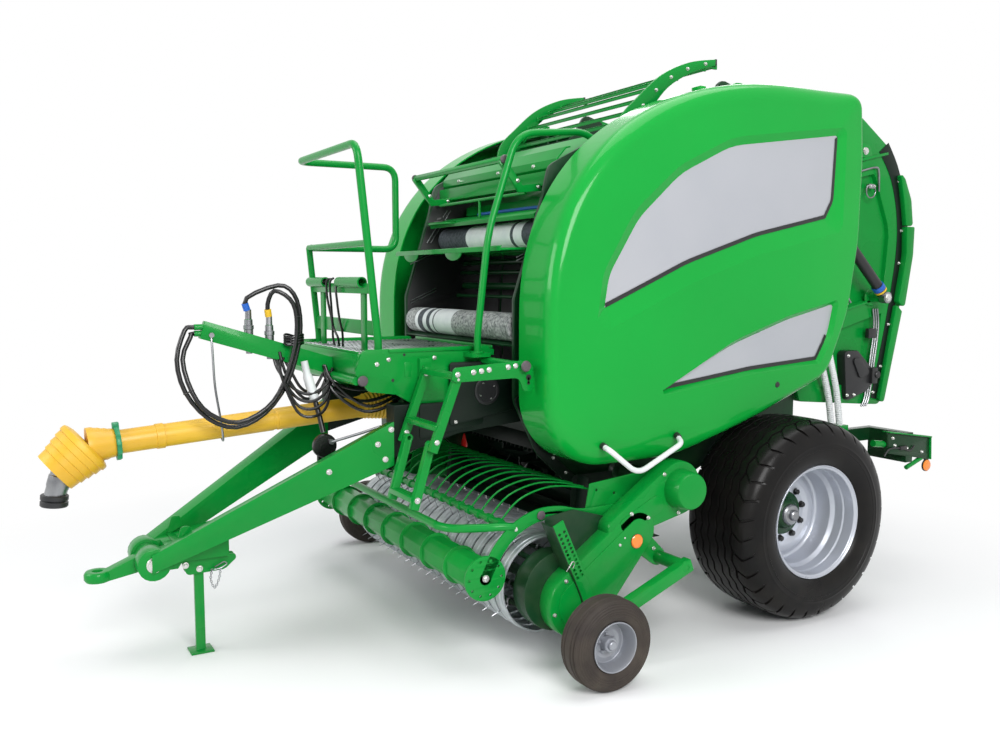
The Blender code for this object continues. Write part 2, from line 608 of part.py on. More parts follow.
def build_platform(root):
    floor_low = PLATFORM_Z - 0.03
    shapes = [box((PLATFORM_RIGHT, PLATFORM_FRONT, floor_low), (PLATFORM_LEFT, PLATFORM_REAR, PLATFORM_Z)),
              box((PLATFORM_RIGHT, PLATFORM_FRONT, 1.32), (PLATFORM_LEFT, PLATFORM_FRONT + 0.012, PLATFORM_Z))]
    cheek = rounded([(-2.27, 1.36, 0.03), (-2.20, 1.27, 0.02), (-2.06, 1.25, 0.02), (-1.98, 1.2003, 0), (-1.60, 1.2003, 0),
                     (-1.55, 1.47, 0.02), (-2.23, 1.47, 0.03)])
    for low, high in ((PLATFORM_LEFT - 0.005, PLATFORM_LEFT + 0.015), (PLATFORM_RIGHT - 0.01, PLATFORM_RIGHT + 0.01)):
        shapes.append(plate(cheek, low, high))
    shapes.append(box((PLATFORM_LEFT, -1.70, 1.42), (0.60, -1.60, 1.44)))
    shapes.append(box((PLATFORM_LEFT, LADDER_TOP[0] - 0.03, 1.33), (LADDER_IN - SEAT, LADDER_TOP[0] + 0.03, 1.42)))
    # The cross tube and the plate that hold the ladder's outer rail.
    hook = rounded([(-1.97, 1.34, 0.02), (-1.96, 1.405, 0.02), (-1.60, 1.425, 0.03), (-1.545, 1.40, 0.02), (-1.545, 1.28, 0.02),
                    (-1.595, 1.28, 0.02), (-1.62, 1.345, 0.03)])
    shapes.append(plate(hook, LADDER_OUT + SEAT, LADDER_OUT + 0.01))
    shapes.append(rod((PLATFORM_LEFT, -1.60, 1.40), (LADDER_OUT + 0.03, -1.60, 1.40), 0.018, 12))
    node("platform", shapes, green(), root)

    base = PLATFORM_Z + SEAT
    left, right = PLATFORM_LEFT - 0.04, PLATFORM_RIGHT + 0.04
    # From the near post over the front, back along the far side and forward again to the far post.
    hoop = [(left, -2.13, base), (left, -2.13, base + 0.04), (left, -2.17, 1.90), (left, -2.215, 2.37), (left - 0.02, -2.22, 2.42),
            (left - 0.07, -2.22, RAIL_TOP), (right + 0.05, -2.22, RAIL_TOP), (right, -2.17, RAIL_TOP),
            (right, RAIL_REAR - 0.07, RAIL_TOP), (right, RAIL_REAR - 0.02, RAIL_TOP - 0.02), (right, RAIL_REAR, RAIL_TOP - 0.07),
            (right, RAIL_REAR, RAIL_MIDDLE + 0.07), (right, RAIL_REAR - 0.02, RAIL_MIDDLE + 0.02),
            (right, RAIL_REAR - 0.07, RAIL_MIDDLE), (right, -2.165, RAIL_MIDDLE)]
    post = [(right, -2.175, RAIL_MIDDLE + 0.012), (right, -2.13, base + 0.04), (right, -2.13, base)]
    shapes = [tube(hoop, 0.019), tube(post, 0.017), tube([(left, -2.175, RAIL_MIDDLE), (right, -2.175, RAIL_MIDDLE)], 0.016),
              box((right - 0.005, -2.165, 1.73), (left, -2.135, 1.78)), box((right, -2.145, 1.53), (left, -2.125, 1.60))]
    shapes += [box((x - 0.03, -2.150, base), (x + 0.03, -2.138, 1.75)) for x in (right + 0.13, left - 0.14)]
    node("front_rail", shapes, green(), root)
    grip = [(0.575, -1.66, 1.44 + SEAT), (0.575, -1.66, 1.50), (0.575, -1.63, 1.90), (0.575, -1.46, 2.42),
            (0.575, -1.38, 2.50), (0.575, -1.10, 2.53), (0.58, -0.95, 2.48), (0.60, -0.90, 2.43),
            (CHAMBER_HALF - SEAT, -0.90, 2.43)]
    node("handrail", [tube(grip, 0.017)], green(), root)


def ladder(top, bottom, x_low, x_high, steps, rail):
    """Two rails between two (Y, Z) places, with steps at heights along them."""
    shapes = [strut((x, *top), (x, *bottom), 0.035, rail) for x in (x_low, x_high)]
    for share in steps:
        y, z = (a + (b - a) * share for a, b in zip(top, bottom))
        shapes.append(box((x_low - 0.001, y - 0.025, z - 0.012), (x_high + 0.001, y + 0.025, z + 0.012)))
    return shapes


def build_ladder(root):
    low, high = LADDER_IN + 0.018, LADDER_OUT - 0.018
    upper = ladder(LADDER_TOP, LADDER_MIDDLE, low, high, (0.05, 0.70), LADDER_RAIL)
    for x in (low, high):
        inward = 0.036 if x == low else -0.036
        upper.append(rod((x, *LADDER_HINGE), (x + inward, *LADDER_HINGE), 0.009, 12))
    node("ladder_upper", upper, green(), root)
    frame = joint_frame("ladder_axis", *LADDER_HINGE, root)
    inset = 0.035 + 0.006
    lower = ladder(LADDER_HINGE, LADDER_BOTTOM, low + inset, high - inset, (0.85,), LADDER_RAIL)
    for x in (low + inset, high - inset):
        lower.append(rod((x - 0.017, *LADDER_HINGE), (x + 0.017, *LADDER_HINGE), 0.02, 16))
    pins = [hole((low - 0.05, *LADDER_HINGE), (low + 0.06, *LADDER_HINGE), 0.009, 12),
            hole((high - 0.06, *LADDER_HINGE), (high + 0.05, *LADDER_HINGE), 0.009, 12)]
    node("ladder_lower", lower, green(), frame, pins)


def build_hoses(root):
    x, y_tip, z_tip = HOSE_ARM_TIP
    arm = [strut(HOSE_ARM_TIP, (x, -2.24, 1.365), 0.05, 0.085)]
    arm += [rod((x, y, z - 0.02), (x, y, z + HOSE_COUPLER_UP), 0.018, 12) for y, z in HOSE_COUPLERS]
    glands = [(x, y_tip - 0.035, z_tip + 0.012 - 0.03 * index) for index in range(len(HOSE_COUPLERS))]
    arm += [rod((x, y_tip + 0.03, z), (x, y, z), 0.014, 12) for x, y, z in glands]
    cut = box((-0.5, PLATFORM_FRONT - SEAT, 1.0), (0.5, 0, 2.0))
    node("hose_arm", arm, green(), root, [cut])
    for index, (y_end, z_end) in enumerate(HOSE_COUPLERS):
        shift = 0.026 * index
        near = 0.17 + shift
        x, y, z = glands[index]
        out, top = y - SEAT, z_end + HOSE_COUPLER_UP + SEAT
        route = [(x, out - 0.015, z), (x + 0.004, -2.958 + shift, z - 0.015),
                 (0.145, -3.00 + shift, 1.43), (near - 0.01, -2.97 + shift, 1.28), (near, -2.87, 1.15 + shift),
                 (near, -2.74, 1.10 + shift), (near, -2.60, 1.16 + shift), (near, -2.49 - shift, 1.30),
                 (near, -2.43 - shift, 1.48), (near, -2.42 - shift, 1.62), (near, -2.45 - shift, 1.73 - shift),
                 (near - 0.02, -2.52 - shift, 1.77 - shift), (0.135, y_end - 0.008, top + 0.10),
                 (x, y_end, top + 0.03)]
        path = [(x, out, z), *bow(route, 3), (x, y_end, top)]
        node(f"hose_{index + 1}", [tube(path, HOSE_R, 8)], rubber(), root)


# Net wrapping and top guard.

def build_net(root):
    inner = CHAMBER_HALF - SEAT
    for name, centre in (("net_roll_lower", NET_LOW), ("net_roll_upper", NET_HIGH)):
        node(name, [turned([(-NET_HALF, 0), (-NET_HALF, 0.04), (-NET_HALF + 0.001, NET_R), (NET_HALF - 0.001, NET_R),
                            (NET_HALF, 0.04), (NET_HALF, 0)], centre, 24)], white_net(), root)
    y, z = NET_HIGH
    tray = []
    for (y, z), ahead, behind in ((NET_HIGH, 0.34, 0.16), (NET_LOW, 0.06, 0.10)):
        low = z - NET_R - 0.005 - SEAT
        tray.append(plate(ribbon([(y - ahead, low - 0.01), (y - 0.02, low), (y + 0.02, low), (y + behind, low + 0.03)],
                                 0.005), -inner, inner))
    node("net_tray_upper", [tray[0]], green(), root)
    node("net_tray_lower", [tray[1]], dark_green(), root)
    bar = [box((-inner, -1.27, 2.27), (inner, -1.21, 2.34)), tube([(-0.52, -1.48, 2.39), (0.52, -1.48, 2.39)], 0.018)]
    for _, side in SIDES:
        bar += both(side, lambda: [plate(ribbon([(-1.49, 2.39), (-1.38, 2.25), (-1.22, 2.27)], 0.02), 0.50, 0.52)])
    node("net_guard", bar, green(), root)

    cheek = [(-0.88, 2.50), (-0.88, 2.58), (-0.72, 2.74), (-0.56, 2.87), (-0.39, 2.95), (-0.21, 2.99), (-0.21, 2.955),
             (-0.40, 2.90), (-0.58, 2.80), (-0.70, 2.66), (-0.76, 2.50)]
    shapes = []
    for _, side in SIDES:
        shapes += both(side, lambda: [plate(cheek, inner - 0.02, inner)])
    for start, end in zip(cheek[1:5], cheek[2:6]):
        for share in (0.3, 0.8):
            y, z = (a + (b - a) * share for a, b in zip(start, end))
            shapes.append(rod((-inner + 0.01, y + 0.012, z - 0.02), (inner - 0.01, y + 0.012, z - 0.02), 0.012, 8))
    node("top_guard", shapes, green(), root)


def build_front_belts(root):
    """Belts and rollers inside the chamber's front, which show above the rotor."""
    inner = CHAMBER_HALF - SEAT
    path = [(-0.98, 1.28), (-1.00, 1.60), (-0.98, 1.95), (-0.84, 2.35)]
    shapes = [plate(ribbon(path, 0.006), x - 0.10, x + 0.10) for x in (-0.48, -0.24, 0.0, 0.24, 0.48)]
    for (y, z), radius in (((-0.94, 1.28), 0.055), ((-0.80, 2.36), 0.055)):
        shapes.append(rod((-inner, y, z), (inner, y, z), radius, 16))
    node("front_belts", shapes, black(), root)
    node("starter_roller", [rod((-inner, *STARTER), (inner, *STARTER), 0.10, 20)], steel(), root)


def build_rotor(root):
    frame = joint_frame("rotor_axis", *ROTOR, root)
    half = CHAMBER_HALF - RUN
    shaft = CHAMBER_HALF + SIDE_THICK
    shapes = [rod((-half, *ROTOR), (half, *ROTOR), ROTOR_TUBE_R, 16),
              rod((-shaft, *ROTOR), (shaft, *ROTOR), ROTOR_SHAFT_R, 16)]
    count, points = 7, 5
    for index in range(count):
        x = -half + 0.05 + (2 * half - 0.1) * index / (count - 1)
        turn = 360 / points * (0.5 - abs(index - (count - 1) / 2) / (count - 1))
        star = []
        for k in range(points):
            angle = turn + 360 * k / points
            star += ring_arc(ROTOR, ROTOR_R, angle, angle + 8, 1) + ring_arc(ROTOR, ROTOR_TUBE_R - 0.01, angle + 20, angle + 60, 1)
        shapes.append(plate(star, x - 0.006, x + 0.006))
    node("feed_rotor", shapes, dark_green(), frame)


# Tailgate.

GATE_OUTLINE = (  # Y, Z, corner radius
    (0.86, 2.78, 0.15), (1.14, 2.60, 0.10), (1.30, 2.38, 0.15), (1.345, 2.12, 0.15), (1.28, 1.48, 0.2),
    (1.14, 1.02, 0.04), (1.00, 1.03, 0.03))


GATE_RIBS = (((0.20, 2.30), (1.16, 2.515), 0.09), ((0.33, 1.45), (1.16, 1.655), 0.11))   # from, to in (Y, Z), height


def build_gate(root):
    frame = joint_frame("tailgate_axis", *GATE_HINGE, root)
    inner, outer = CHAMBER_HALF, CHAMBER_HALF + SIDE_THICK
    front = [(0.01, 2.70, 0.02), *shifted([(0.10, 2.45, 0.15), (0.17, 1.75, 0.15)], GATE_GAP), (0.44, 1.08, 0.02)]
    panel = rounded([*front[::-1], (0.05, 2.78, 0.03), *GATE_OUTLINE])
    window = rounded([(0.75, 2.62, 0.1), (1.02, 2.44, 0.1), (1.17, 2.10, 0.15), (1.12, 1.50, 0.15), (1.02, 1.16, 0.05),
                      (0.60, 1.16, 0.05), (0.34, 1.78, 0.1), (0.26, 2.45, 0.1), (0.20, 2.62, 0.05)])
    ear = rounded([(-0.21, 2.83, 0.06), (-0.19, 2.74, 0.05), (0.05, 2.62, 0.05), (0.30, 2.62, 0.02), (0.30, 2.78, 0.02),
                   (-0.10, 2.87, 0.06)])
    for label, side in SIDES:

        def side_shapes():
            rim = plate(rounded([*front[::-1], (0.05, 2.78, 0.03), *GATE_OUTLINE]), outer - 0.005, GATE_RIM_X, [window])
            middle, depth = (outer - 0.005 + GATE_RIM_X) / 2, GATE_RIM_X - outer + 0.005
            ribs = [strut((middle, *start), (middle, *end), depth, height) for start, end, height in GATE_RIBS]
            return [plate(panel, inner, outer), rim, *ribs, plate(ear, outer + GATE_GAP, GATE_RIM_X),
                    rod((outer - 0.01, *RAM_EYE), (RAM_X - 0.026, *RAM_EYE), 0.03, 16)]

        bore = both(side, lambda: [hole((0.5, *GATE_HINGE), (0.8, *GATE_HINGE), 0.028)])
        node(f"tailgate_side_{label}", both(side, side_shapes), green(), frame, bore)

    half = inner - SEAT
    cross = [box((-half, 1.225, 1.95), (half, 1.285, 2.03)), box((-half, 1.17, 1.50), (half, 1.23, 1.58)),
             box((-half, 1.14, 2.42), (half, 1.20, 2.50)), box((-half, 1.06, 1.10), (half, 1.12, 1.18))]
    for index, shape in enumerate(cross):
        node(f"tailgate_cross_{index + 1}", [shape], green(), frame)
    path = [(0.16, 2.62), (0.60, 2.66), (0.88, 2.60), (1.04, 2.44), (1.13, 2.20), (1.145, 1.95), (1.10, 1.60), (0.925, 1.17)]
    shapes = [plate(ribbon(path, 0.006), x - 0.10, x + 0.10) for x in (-0.48, -0.24, 0.0, 0.24, 0.48)]
    for (y, z), radius in (((0.16, 2.57), 0.05), ((0.90, 2.54), 0.06), ((0.88, 1.18), 0.06)):
        shapes.append(rod((-half, y, z), (half, y, z), radius, 16))
    node("tailgate_belts", shapes, black(), frame)


def build_rams(root):
    for label, side in SIDES:
        barrel = joint_frame(f"ram_{label}_axis", *RAM_BASE, root, side * RAM_X)
        rod_frame = joint_frame(f"ram_{label}_rod_axis", *RAM_BASE, barrel, side * RAM_X)
        base, eye = Vector((RAM_X, *RAM_BASE)), Vector((RAM_X, *RAM_EYE))
        line = (eye - base).normalized()
        end = base + line * RAM_BARREL

        def barrel_shapes():
            return [rod(base + line * 0.03, end, RAM_R, 20),
                    rod(base - Vector((0.024, 0, 0)), base + Vector((0.024, 0, 0)), 0.035, 16)]

        def rod_shapes():
            return [rod(base + line * 0.25, eye - line * 0.02, ROD_R, 16),
                    rod(eye - Vector((0.02, 0, 0)), eye + Vector((0.02, 0, 0)), 0.035, 16)]

        barrel_cuts = both(side, lambda: [hole(base + line * 0.20, end + line * 0.1, ROD_R),
                                          hole(base - Vector((0.1, 0, 0)), base + Vector((0.1, 0, 0)), RAM_PIN_R)])
        node(f"ram_barrel_{label}", both(side, barrel_shapes), green(), barrel, barrel_cuts)
        node(f"ram_rod_{label}", both(side, rod_shapes), steel(), rod_frame)


# Side shells.

def shell_outline():
    """The shell's outline in (Y, Z): a superellipse quarter at the front, then its rear and waist."""
    a, b = -SHELL_FRONT + 0.05, SHELL_TOP - 1.60
    front = []
    for i in range(11):
        angle = math.radians(90 * i / 10)
        front.append((0.05 - a * math.cos(angle) ** (2 / SHELL_POWER), 1.60 + b * math.sin(angle) ** (2 / SHELL_POWER)))
    rest = rounded([(0.52, SHELL_TOP, 0.11), (SHELL_REAR + 0.01, 2.45, 0.5), (0.51, 2.00, 0.6), (0.43, 1.60, 0.5),
                    (0.30, 1.27, 0.20), (-0.20, 1.08, 0.5), (-0.75, 0.91, 0.8), (-1.53, 0.90, 0.32)])
    return front + rest


UPPER_PANEL = (  # Y, Z, corner radius
    (-1.22, 1.64, 0.05), (-1.20, 1.80, 0.10), (-1.03, 2.07, 0.2), (-0.78, 2.30, 0.2), (-0.45, 2.46, 0.2),
    (0.31, 2.57, 0.04), (0.28, 2.22, 0.03), (0.23, 2.14, 0.04), (-0.28, 2.01, 0.2), (-0.74, 1.85, 0.2))

LOWER_PANEL = (
    (-0.84, 1.30, 0.03), (-0.40, 1.49, 0.15), (-0.05, 1.59, 0.1), (0.35, 1.67, 0.03), (0.31, 1.52, 0.05),
    (0.23, 1.38, 0.04), (-0.25, 1.345, 0.2))


def build_shells(root):
    outline = shell_outline()
    hinge_x, hinge_z = SHELL_HINGE
    for label, side in SIDES:
        frame = joint_frame(f"shell_{label}_axis", 0, hinge_z, root, side * hinge_x)

        def shell_shapes():
            shapes = [plate(outline, SHELL_IN_X - 0.25, SHELL_X, round_edge=SHELL_ROUND)]
            return shapes

        skin = plate(outline, SHELL_IN_X - 0.27, SHELL_X - SHELL_WALL, round_edge=SHELL_ROUND - SHELL_WALL, shrink=SHELL_WALL)
        for panel, depth in ((UPPER_PANEL, 0.03), (LOWER_PANEL, 0.02)):
            keep = plate(rounded(panel), SHELL_X - depth - SHELL_WALL, SHELL_X + 0.1, shrink=-SHELL_WALL)
            skin = cut_loose(skin, keep)
        cuts = [skin, box((0, -3, 0), (SHELL_IN_X, 3, 4)), box((0, SHELL_REAR - 0.13, 0), (0.93, 3, 4))]
        for panel, depth in ((UPPER_PANEL, 0.03), (LOWER_PANEL, 0.02)):
            cuts.append(plate(rounded(panel), SHELL_X - depth, SHELL_X + 0.1))
        shapes = shell_shapes()
        body = shapes[0]
        for cutter in cuts:
            body = cut_loose(body, cutter)
        lugs = [box((hinge_x - 0.016, y - 0.02, hinge_z - 0.016), (SHELL_IN_X + 0.03, y + 0.02, hinge_z + 0.034))
                for y in SHELL_LUGS]
        bores = [hole((hinge_x, y - 0.1, hinge_z), (hinge_x, y + 0.1, hinge_z), 0.008, 12) for y in SHELL_LUGS]
        node(f"side_shell_{label}", both(side, lambda: [body, *lugs]), green(), frame, both(side, lambda: bores))


def cut_loose(base, cutter):
    """The base less the cutter, both loose shapes, which are used up."""
    modifier = base.modifiers.new("cut", "BOOLEAN")
    modifier.operation, modifier.object, modifier.solver = "DIFFERENCE", cutter, "EXACT"
    graph = bpy.context.evaluated_depsgraph_get()
    mesh = bpy.data.meshes.new_from_object(base.evaluated_get(graph))
    bpy.data.objects.remove(base)
    bpy.data.objects.remove(cutter)
    obj = bpy.data.objects.new("cut", mesh)
    bpy.context.scene.collection.objects.link(obj)
    return obj


# Pick-up.

def build_pickup(root):
    lift = joint_frame("pickup_axis", *ROTOR, root)
    half = PICKUP_HALF
    front_lobe, upper_lobe, knuckle = (-1.42, 0.30), (-1.09, 0.60), GAUGE_KNUCKLE
    for label, side in SIDES:

        def side_shapes():
            return [plate(hull_of_circles(front_lobe, 0.165, upper_lobe, 0.105, 5), half, half + 0.11, round_edge=0.012),
                    plate(hull_of_circles((-1.20, 0.62), 0.06, ROTOR, 0.135, 5), half + 0.001, half + 0.105, round_edge=0.012),
                    cone((half + 0.09, *ROTOR), (half + 0.20, *ROTOR), 0.095, 0.088, 16),
                    rod((half - REEL_DRUM, *REEL), (half + 0.02, *REEL), 0.19, 20),
                    plate(hull_of_circles((-1.05, 0.56), 0.06, knuckle, 0.045), half + 0.002, half + 0.03),
                    rod((half + 0.01, *knuckle), (GAUGE_ARM_X + 0.02, *knuckle), 0.032, 16),
                    plate(ribbon(ring_arc((-1.02, 0.27), 0.42, 118, 172, 5), 0.028), half + 0.105, half + 0.12),
                    rod((half - 0.03, *GUARD_PIVOT), (half + 0.01, *GUARD_PIVOT), 0.010, 12)]

        bores = both(side, lambda: [hole((0.5, *ROTOR), (half + 0.092, *ROTOR), PIVOT_R),
                                    hole((0.5, *REEL), (half, *REEL), REEL_SHAFT_R)])
        node(f"pickup_side_{label}", both(side, side_shapes), green(), lift, bores)
        arm_end = (GAUGE_ARM_X, GAUGE_PLACE[0], GAUGE_PLACE[1])

        def arm_shapes():
            return [strut((GAUGE_ARM_X, knuckle[0] + 0.03, knuckle[1] + 0.011), arm_end, 0.05, 0.06),
                    rod((GAUGE_ARM_X, *GAUGE_PLACE), (GAUGE_X + 0.02, *GAUGE_PLACE), 0.016, 16)]

        pin = both(side, lambda: [hole((0.9, *knuckle), (GAUGE_ARM_X + 0.0203, *knuckle), 0.032)])
        node(f"gauge_arm_{label}", both(side, arm_shapes), green(), lift, pin)
        spin = joint_frame(f"gauge_wheel_{label}_axis", *GAUGE_PLACE, lift, side * GAUGE_X)
        profile = tyre_profile(GAUGE_R, GAUGE_WIDTH, GAUGE_X, GAUGE_BEAD_R)
        node(f"gauge_tyre_{label}", both(side, lambda: [turned(profile, GAUGE_PLACE, GAUGE_STEPS)]), rubber(), spin)
        gauge_bore = bore_radius(0.016, 10)
        rim = rim_profile(GAUGE_X, 0.42 * GAUGE_WIDTH + 0.006, GAUGE_BEAD_R, 0.006, GAUGE_X - 0.01, gauge_bore + 0.004, 0.004)

        def gauge_rim():
            hub = turned([(GAUGE_X - 0.05, gauge_bore), (GAUGE_X - 0.05, 0.034), (GAUGE_X + 0.045, 0.034),
                          (GAUGE_X + 0.052, 0.026), (GAUGE_X + 0.052, 0.0), (GAUGE_X + 0.03, 0.0),
                          (GAUGE_X + 0.03, gauge_bore)], GAUGE_PLACE, 10)
            return [turned(rim, GAUGE_PLACE, GAUGE_STEPS), hub]

        node(f"gauge_rim_{label}", both(side, gauge_rim), silver(), spin)

    back = GATHER_BACK
    shapes = [box((-half + SEAT, back, 0.16), (half - SEAT, back + 0.018, 0.50))]
    path = ([(back + 0.005, 0.495)] + ring_arc(REEL, BAND_R, 58, 262, 8) + [(back + 0.005, 0.165)])
    for index in range(BANDS):
        x = BAND_PITCH * (index - (BANDS - 1) / 2)
        shapes.append(plate(ribbon(path, 0.002), x - BAND_WIDTH / 2, x + BAND_WIDTH / 2))
    node("pickup_bands", shapes, steel(), lift)

    spin = joint_frame("reel_axis", *REEL, lift)
    reach = half - REEL_DRUM - RUN
    shapes = [rod((-half + 0.02, *REEL), (half - 0.02, *REEL), REEL_SHAFT_R, 16)]
    for x in (-reach + 0.004, 0.0, reach - 0.004):
        shapes.append(plate(circle(REEL, REEL_BAR_R + 0.02, 16), x - 0.004, x + 0.004))
    for k in range(REEL_BARS):
        angle = 360 * (k + 0.35) / REEL_BARS
        (y, z), (y_tip, z_tip) = (ring_arc(REEL, r, angle, angle, 1)[0] for r in (REEL_BAR_R, REEL_TIP_R))
        shapes.append(rod((-reach, y, z), (reach, y, z), 0.013, 6))
        for index in range(BANDS - 1):
            x = BAND_PITCH * (index + 0.5 - (BANDS - 1) / 2)
            shapes.append(cone((x, y, z), (x, y_tip, z_tip), TINE_R, TINE_R * 0.8, 3))
    node("pickup_reel", shapes, steel(), spin)

    guard = joint_frame("wind_guard_axis", *GUARD_PIVOT, lift)
    arm_low, arm_high = half - 0.020, half - 0.008
    roll_end = arm_low - 0.0
    shapes = [rod((-roll_end, *GUARD_ROLL), (roll_end, *GUARD_ROLL), GUARD_ROLL_R, 8)]
    for _, side in SIDES:

        def arm():
            path = [(GUARD_PIVOT[0] + 0.02, GUARD_PIVOT[1] - 0.006), (-1.33, 0.685), (-1.46, 0.712), (-1.58, 0.71), (-1.70, 0.66), (-1.79, 0.57), GUARD_ROLL]
            return [plate(ribbon(path, 0.030), arm_low, arm_high), plate(circle(GUARD_ROLL, GUARD_DISC_R + 0.012, 16), arm_low - 0.001, arm_high)]

        shapes += both(side, arm)
    for x in (-0.5, 0.0, 0.5):
        shapes.append(plate(circle(GUARD_ROLL, GUARD_DISC_R, 14), x - 0.004, x + 0.004))
    y, z = GUARD_HOOP
    shapes.append(tube([(-arm_low - 0.004, -1.70, 0.67), (-0.97, -1.80, z + 0.015), (-0.90, -1.93, z + 0.003), (-0.78, y, z),
                        (0.78, y, z), (0.90, -1.93, z + 0.003), (0.97, -1.80, z + 0.015), (arm_low + 0.004, -1.70, 0.67)], 0.02))
    y, z = GUARD_COMB
    shapes.append(rod((-arm_low - 0.004, y, z), (arm_low + 0.004, y, z), 0.016, 12))
    fingers = [(y, z), (-1.62, 0.765), (-1.47, 0.81), (-1.32, 0.80), (-1.18, 0.74)]
    count = 10
    for index in range(count):
        x = 0.90 * (2 * index / (count - 1) - 1)
        shapes.append(tube([(x, *point) for point in fingers], 0.006, 4))
    node("wind_guard", shapes, green(), guard, [hole((-1.2, *GUARD_PIVOT), (1.2, *GUARD_PIVOT), 0.010, 12)])


def main():
    """Builds the whole machine."""
    for obj in list(bpy.data.objects):
        bpy.data.objects.remove(obj)
    bpy.context.scene.collection.children.link(PARTS)
    root = joint_frame("datum", 0, 0, None)
    root.empty.location = (0, AXLE_Y, 0)
    build_wheels(root)
    build_axle(root)
    build_chamber(root)
    build_drawbar(root)
    build_stand(root)
    build_drive(root)
    build_platform(root)
    build_ladder(root)
    build_hoses(root)
    build_net(root)
    build_front_belts(root)
    build_rotor(root)
    build_gate(root)
    build_rams(root)
    build_shells(root)
    build_pickup(root)


if __name__ == "__main__":
    main()
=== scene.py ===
"""Looks of the round baler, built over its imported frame.

Metres, +Z up, the drawbar points to -Y and +X is the machine's left. Places along Y are measured
from the wheel axle, as in the part's source, and piece() carries them into the frame.
"""
import json
import math

import bmesh
import bpy
from mathutils import Matrix, Vector
from mathutils.geometry import delaunay_2d_cdt


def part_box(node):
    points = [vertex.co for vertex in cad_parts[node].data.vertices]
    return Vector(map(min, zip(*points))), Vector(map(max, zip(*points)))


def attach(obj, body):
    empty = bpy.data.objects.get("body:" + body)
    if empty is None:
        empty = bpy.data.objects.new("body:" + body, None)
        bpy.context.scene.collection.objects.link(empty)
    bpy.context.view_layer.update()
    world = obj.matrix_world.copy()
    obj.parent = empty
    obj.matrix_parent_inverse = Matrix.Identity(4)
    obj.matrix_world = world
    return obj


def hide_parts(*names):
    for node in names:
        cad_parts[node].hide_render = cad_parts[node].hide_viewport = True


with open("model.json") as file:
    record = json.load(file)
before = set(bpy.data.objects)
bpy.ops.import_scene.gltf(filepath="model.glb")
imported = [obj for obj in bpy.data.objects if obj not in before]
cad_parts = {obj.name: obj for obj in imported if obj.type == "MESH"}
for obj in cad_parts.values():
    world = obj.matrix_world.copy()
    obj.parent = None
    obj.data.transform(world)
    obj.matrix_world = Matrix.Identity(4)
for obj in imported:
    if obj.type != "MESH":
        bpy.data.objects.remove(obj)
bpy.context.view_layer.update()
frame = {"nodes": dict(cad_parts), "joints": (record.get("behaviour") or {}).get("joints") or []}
JOINTS = {joint["name"]: joint for joint in frame["joints"]}
AXLE_Y = JOINTS["wheel_left_spin"]["pos_m"][1]


def joint_place(name):
    """Where a joint is, as (X, Y from the axle, Z)."""
    x, y, z = JOINTS[name]["pos_m"]
    return Vector((x, y - AXLE_Y, z))


# Sizes and places from the frame.
TYRE_X, _, TYRE_R = joint_place("wheel_left_spin")
GAUGE_X, GAUGE_Y, GAUGE_R = joint_place("gauge_wheel_left_spin")
REEL = joint_place("reel_spin").yz
ROTOR = joint_place("feed_rotor_spin").yz
GUARD_PIVOT = joint_place("wind_guard_lift").yz
LADDER_HINGE = joint_place("ladder_fold").yz
CHAMBER_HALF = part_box("starter_roller")[1].x
SHELL_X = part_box("side_shell_left")[1].x
FRONT_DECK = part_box("front_rail")[0].z    # the platform's floor
SIDES = (("left", 1), ("right", -1))

# The camera, fitted to the photograph in its own frame of 1000 by 750.
CAMERA_PLACE = (4.6966, -3.8741, 1.7967)
CAMERA_YAW, CAMERA_PITCH = math.radians(60.3991), math.radians(5.6831)
CAMERA_LENS, CAMERA_SENSOR = 34.44, 36.0


def placed(name, data):
    """An object of that data in the scene."""
    obj = bpy.data.objects.new(name, data)
    bpy.context.scene.collection.objects.link(obj)
    return obj


# Camera, light and floor.

def make_camera():
    data = bpy.data.cameras.new("camera")
    data.lens, data.sensor_width = CAMERA_LENS, CAMERA_SENSOR
    camera = placed("camera", data)
    look = Vector((-math.sin(CAMERA_YAW) * math.cos(CAMERA_PITCH),
                   math.cos(CAMERA_YAW) * math.cos(CAMERA_PITCH), -math.sin(CAMERA_PITCH)))
    camera.location = Vector(CAMERA_PLACE) + Vector((0, AXLE_Y, 0))
    camera.rotation_mode = "QUATERNION"
    camera.rotation_quaternion = look.to_track_quat("-Z", "Y")
    bpy.context.scene.camera = camera


SKY_COLOUR, SKY_STRENGTH = (0.90, 0.94, 1.0, 1), 0.34
WHITE = (1, 1, 1, 1)
FLOOR_HALF, FLOOR_COLOUR, FLOOR_ROUGHNESS = 60, (0.88, 0.88, 0.88, 1), 0.9
FLOOR_FADE = (0.5, -1.0)      # slope and start, in metres from the middle, of the fade to the background
LAMPS = (  # name, place, aimed at, width, height, watts
    ("key", (7.6, -1.8, 5.0), (0.3, 0.3, 1.2), 3.6, 3.6, 545),
    ("sky", (0.5, 1.0, 8.0), (0.0, 0.5, 1.0), 6.0, 6.0, 330),
    ("front", (-1.0, -8.0, 4.2), (0.0, -0.5, 1.2), 4.0, 3.0, 260),
    ("back", (-6.0, 6.5, 5.0), (0.0, 0.5, 1.5), 4.0, 4.0, 200),
)


def seen_rays(tree):
    """One for rays from the camera, from gloss and through glass, which see the pale background."""
    ray = tree.nodes.new("ShaderNodeLightPath")
    shiny = math_node(tree, "MAXIMUM", ray.outputs["Is Glossy Ray"], ray.outputs["Is Transmission Ray"])
    return math_node(tree, "MAXIMUM", ray.outputs["Is Camera Ray"], shiny)


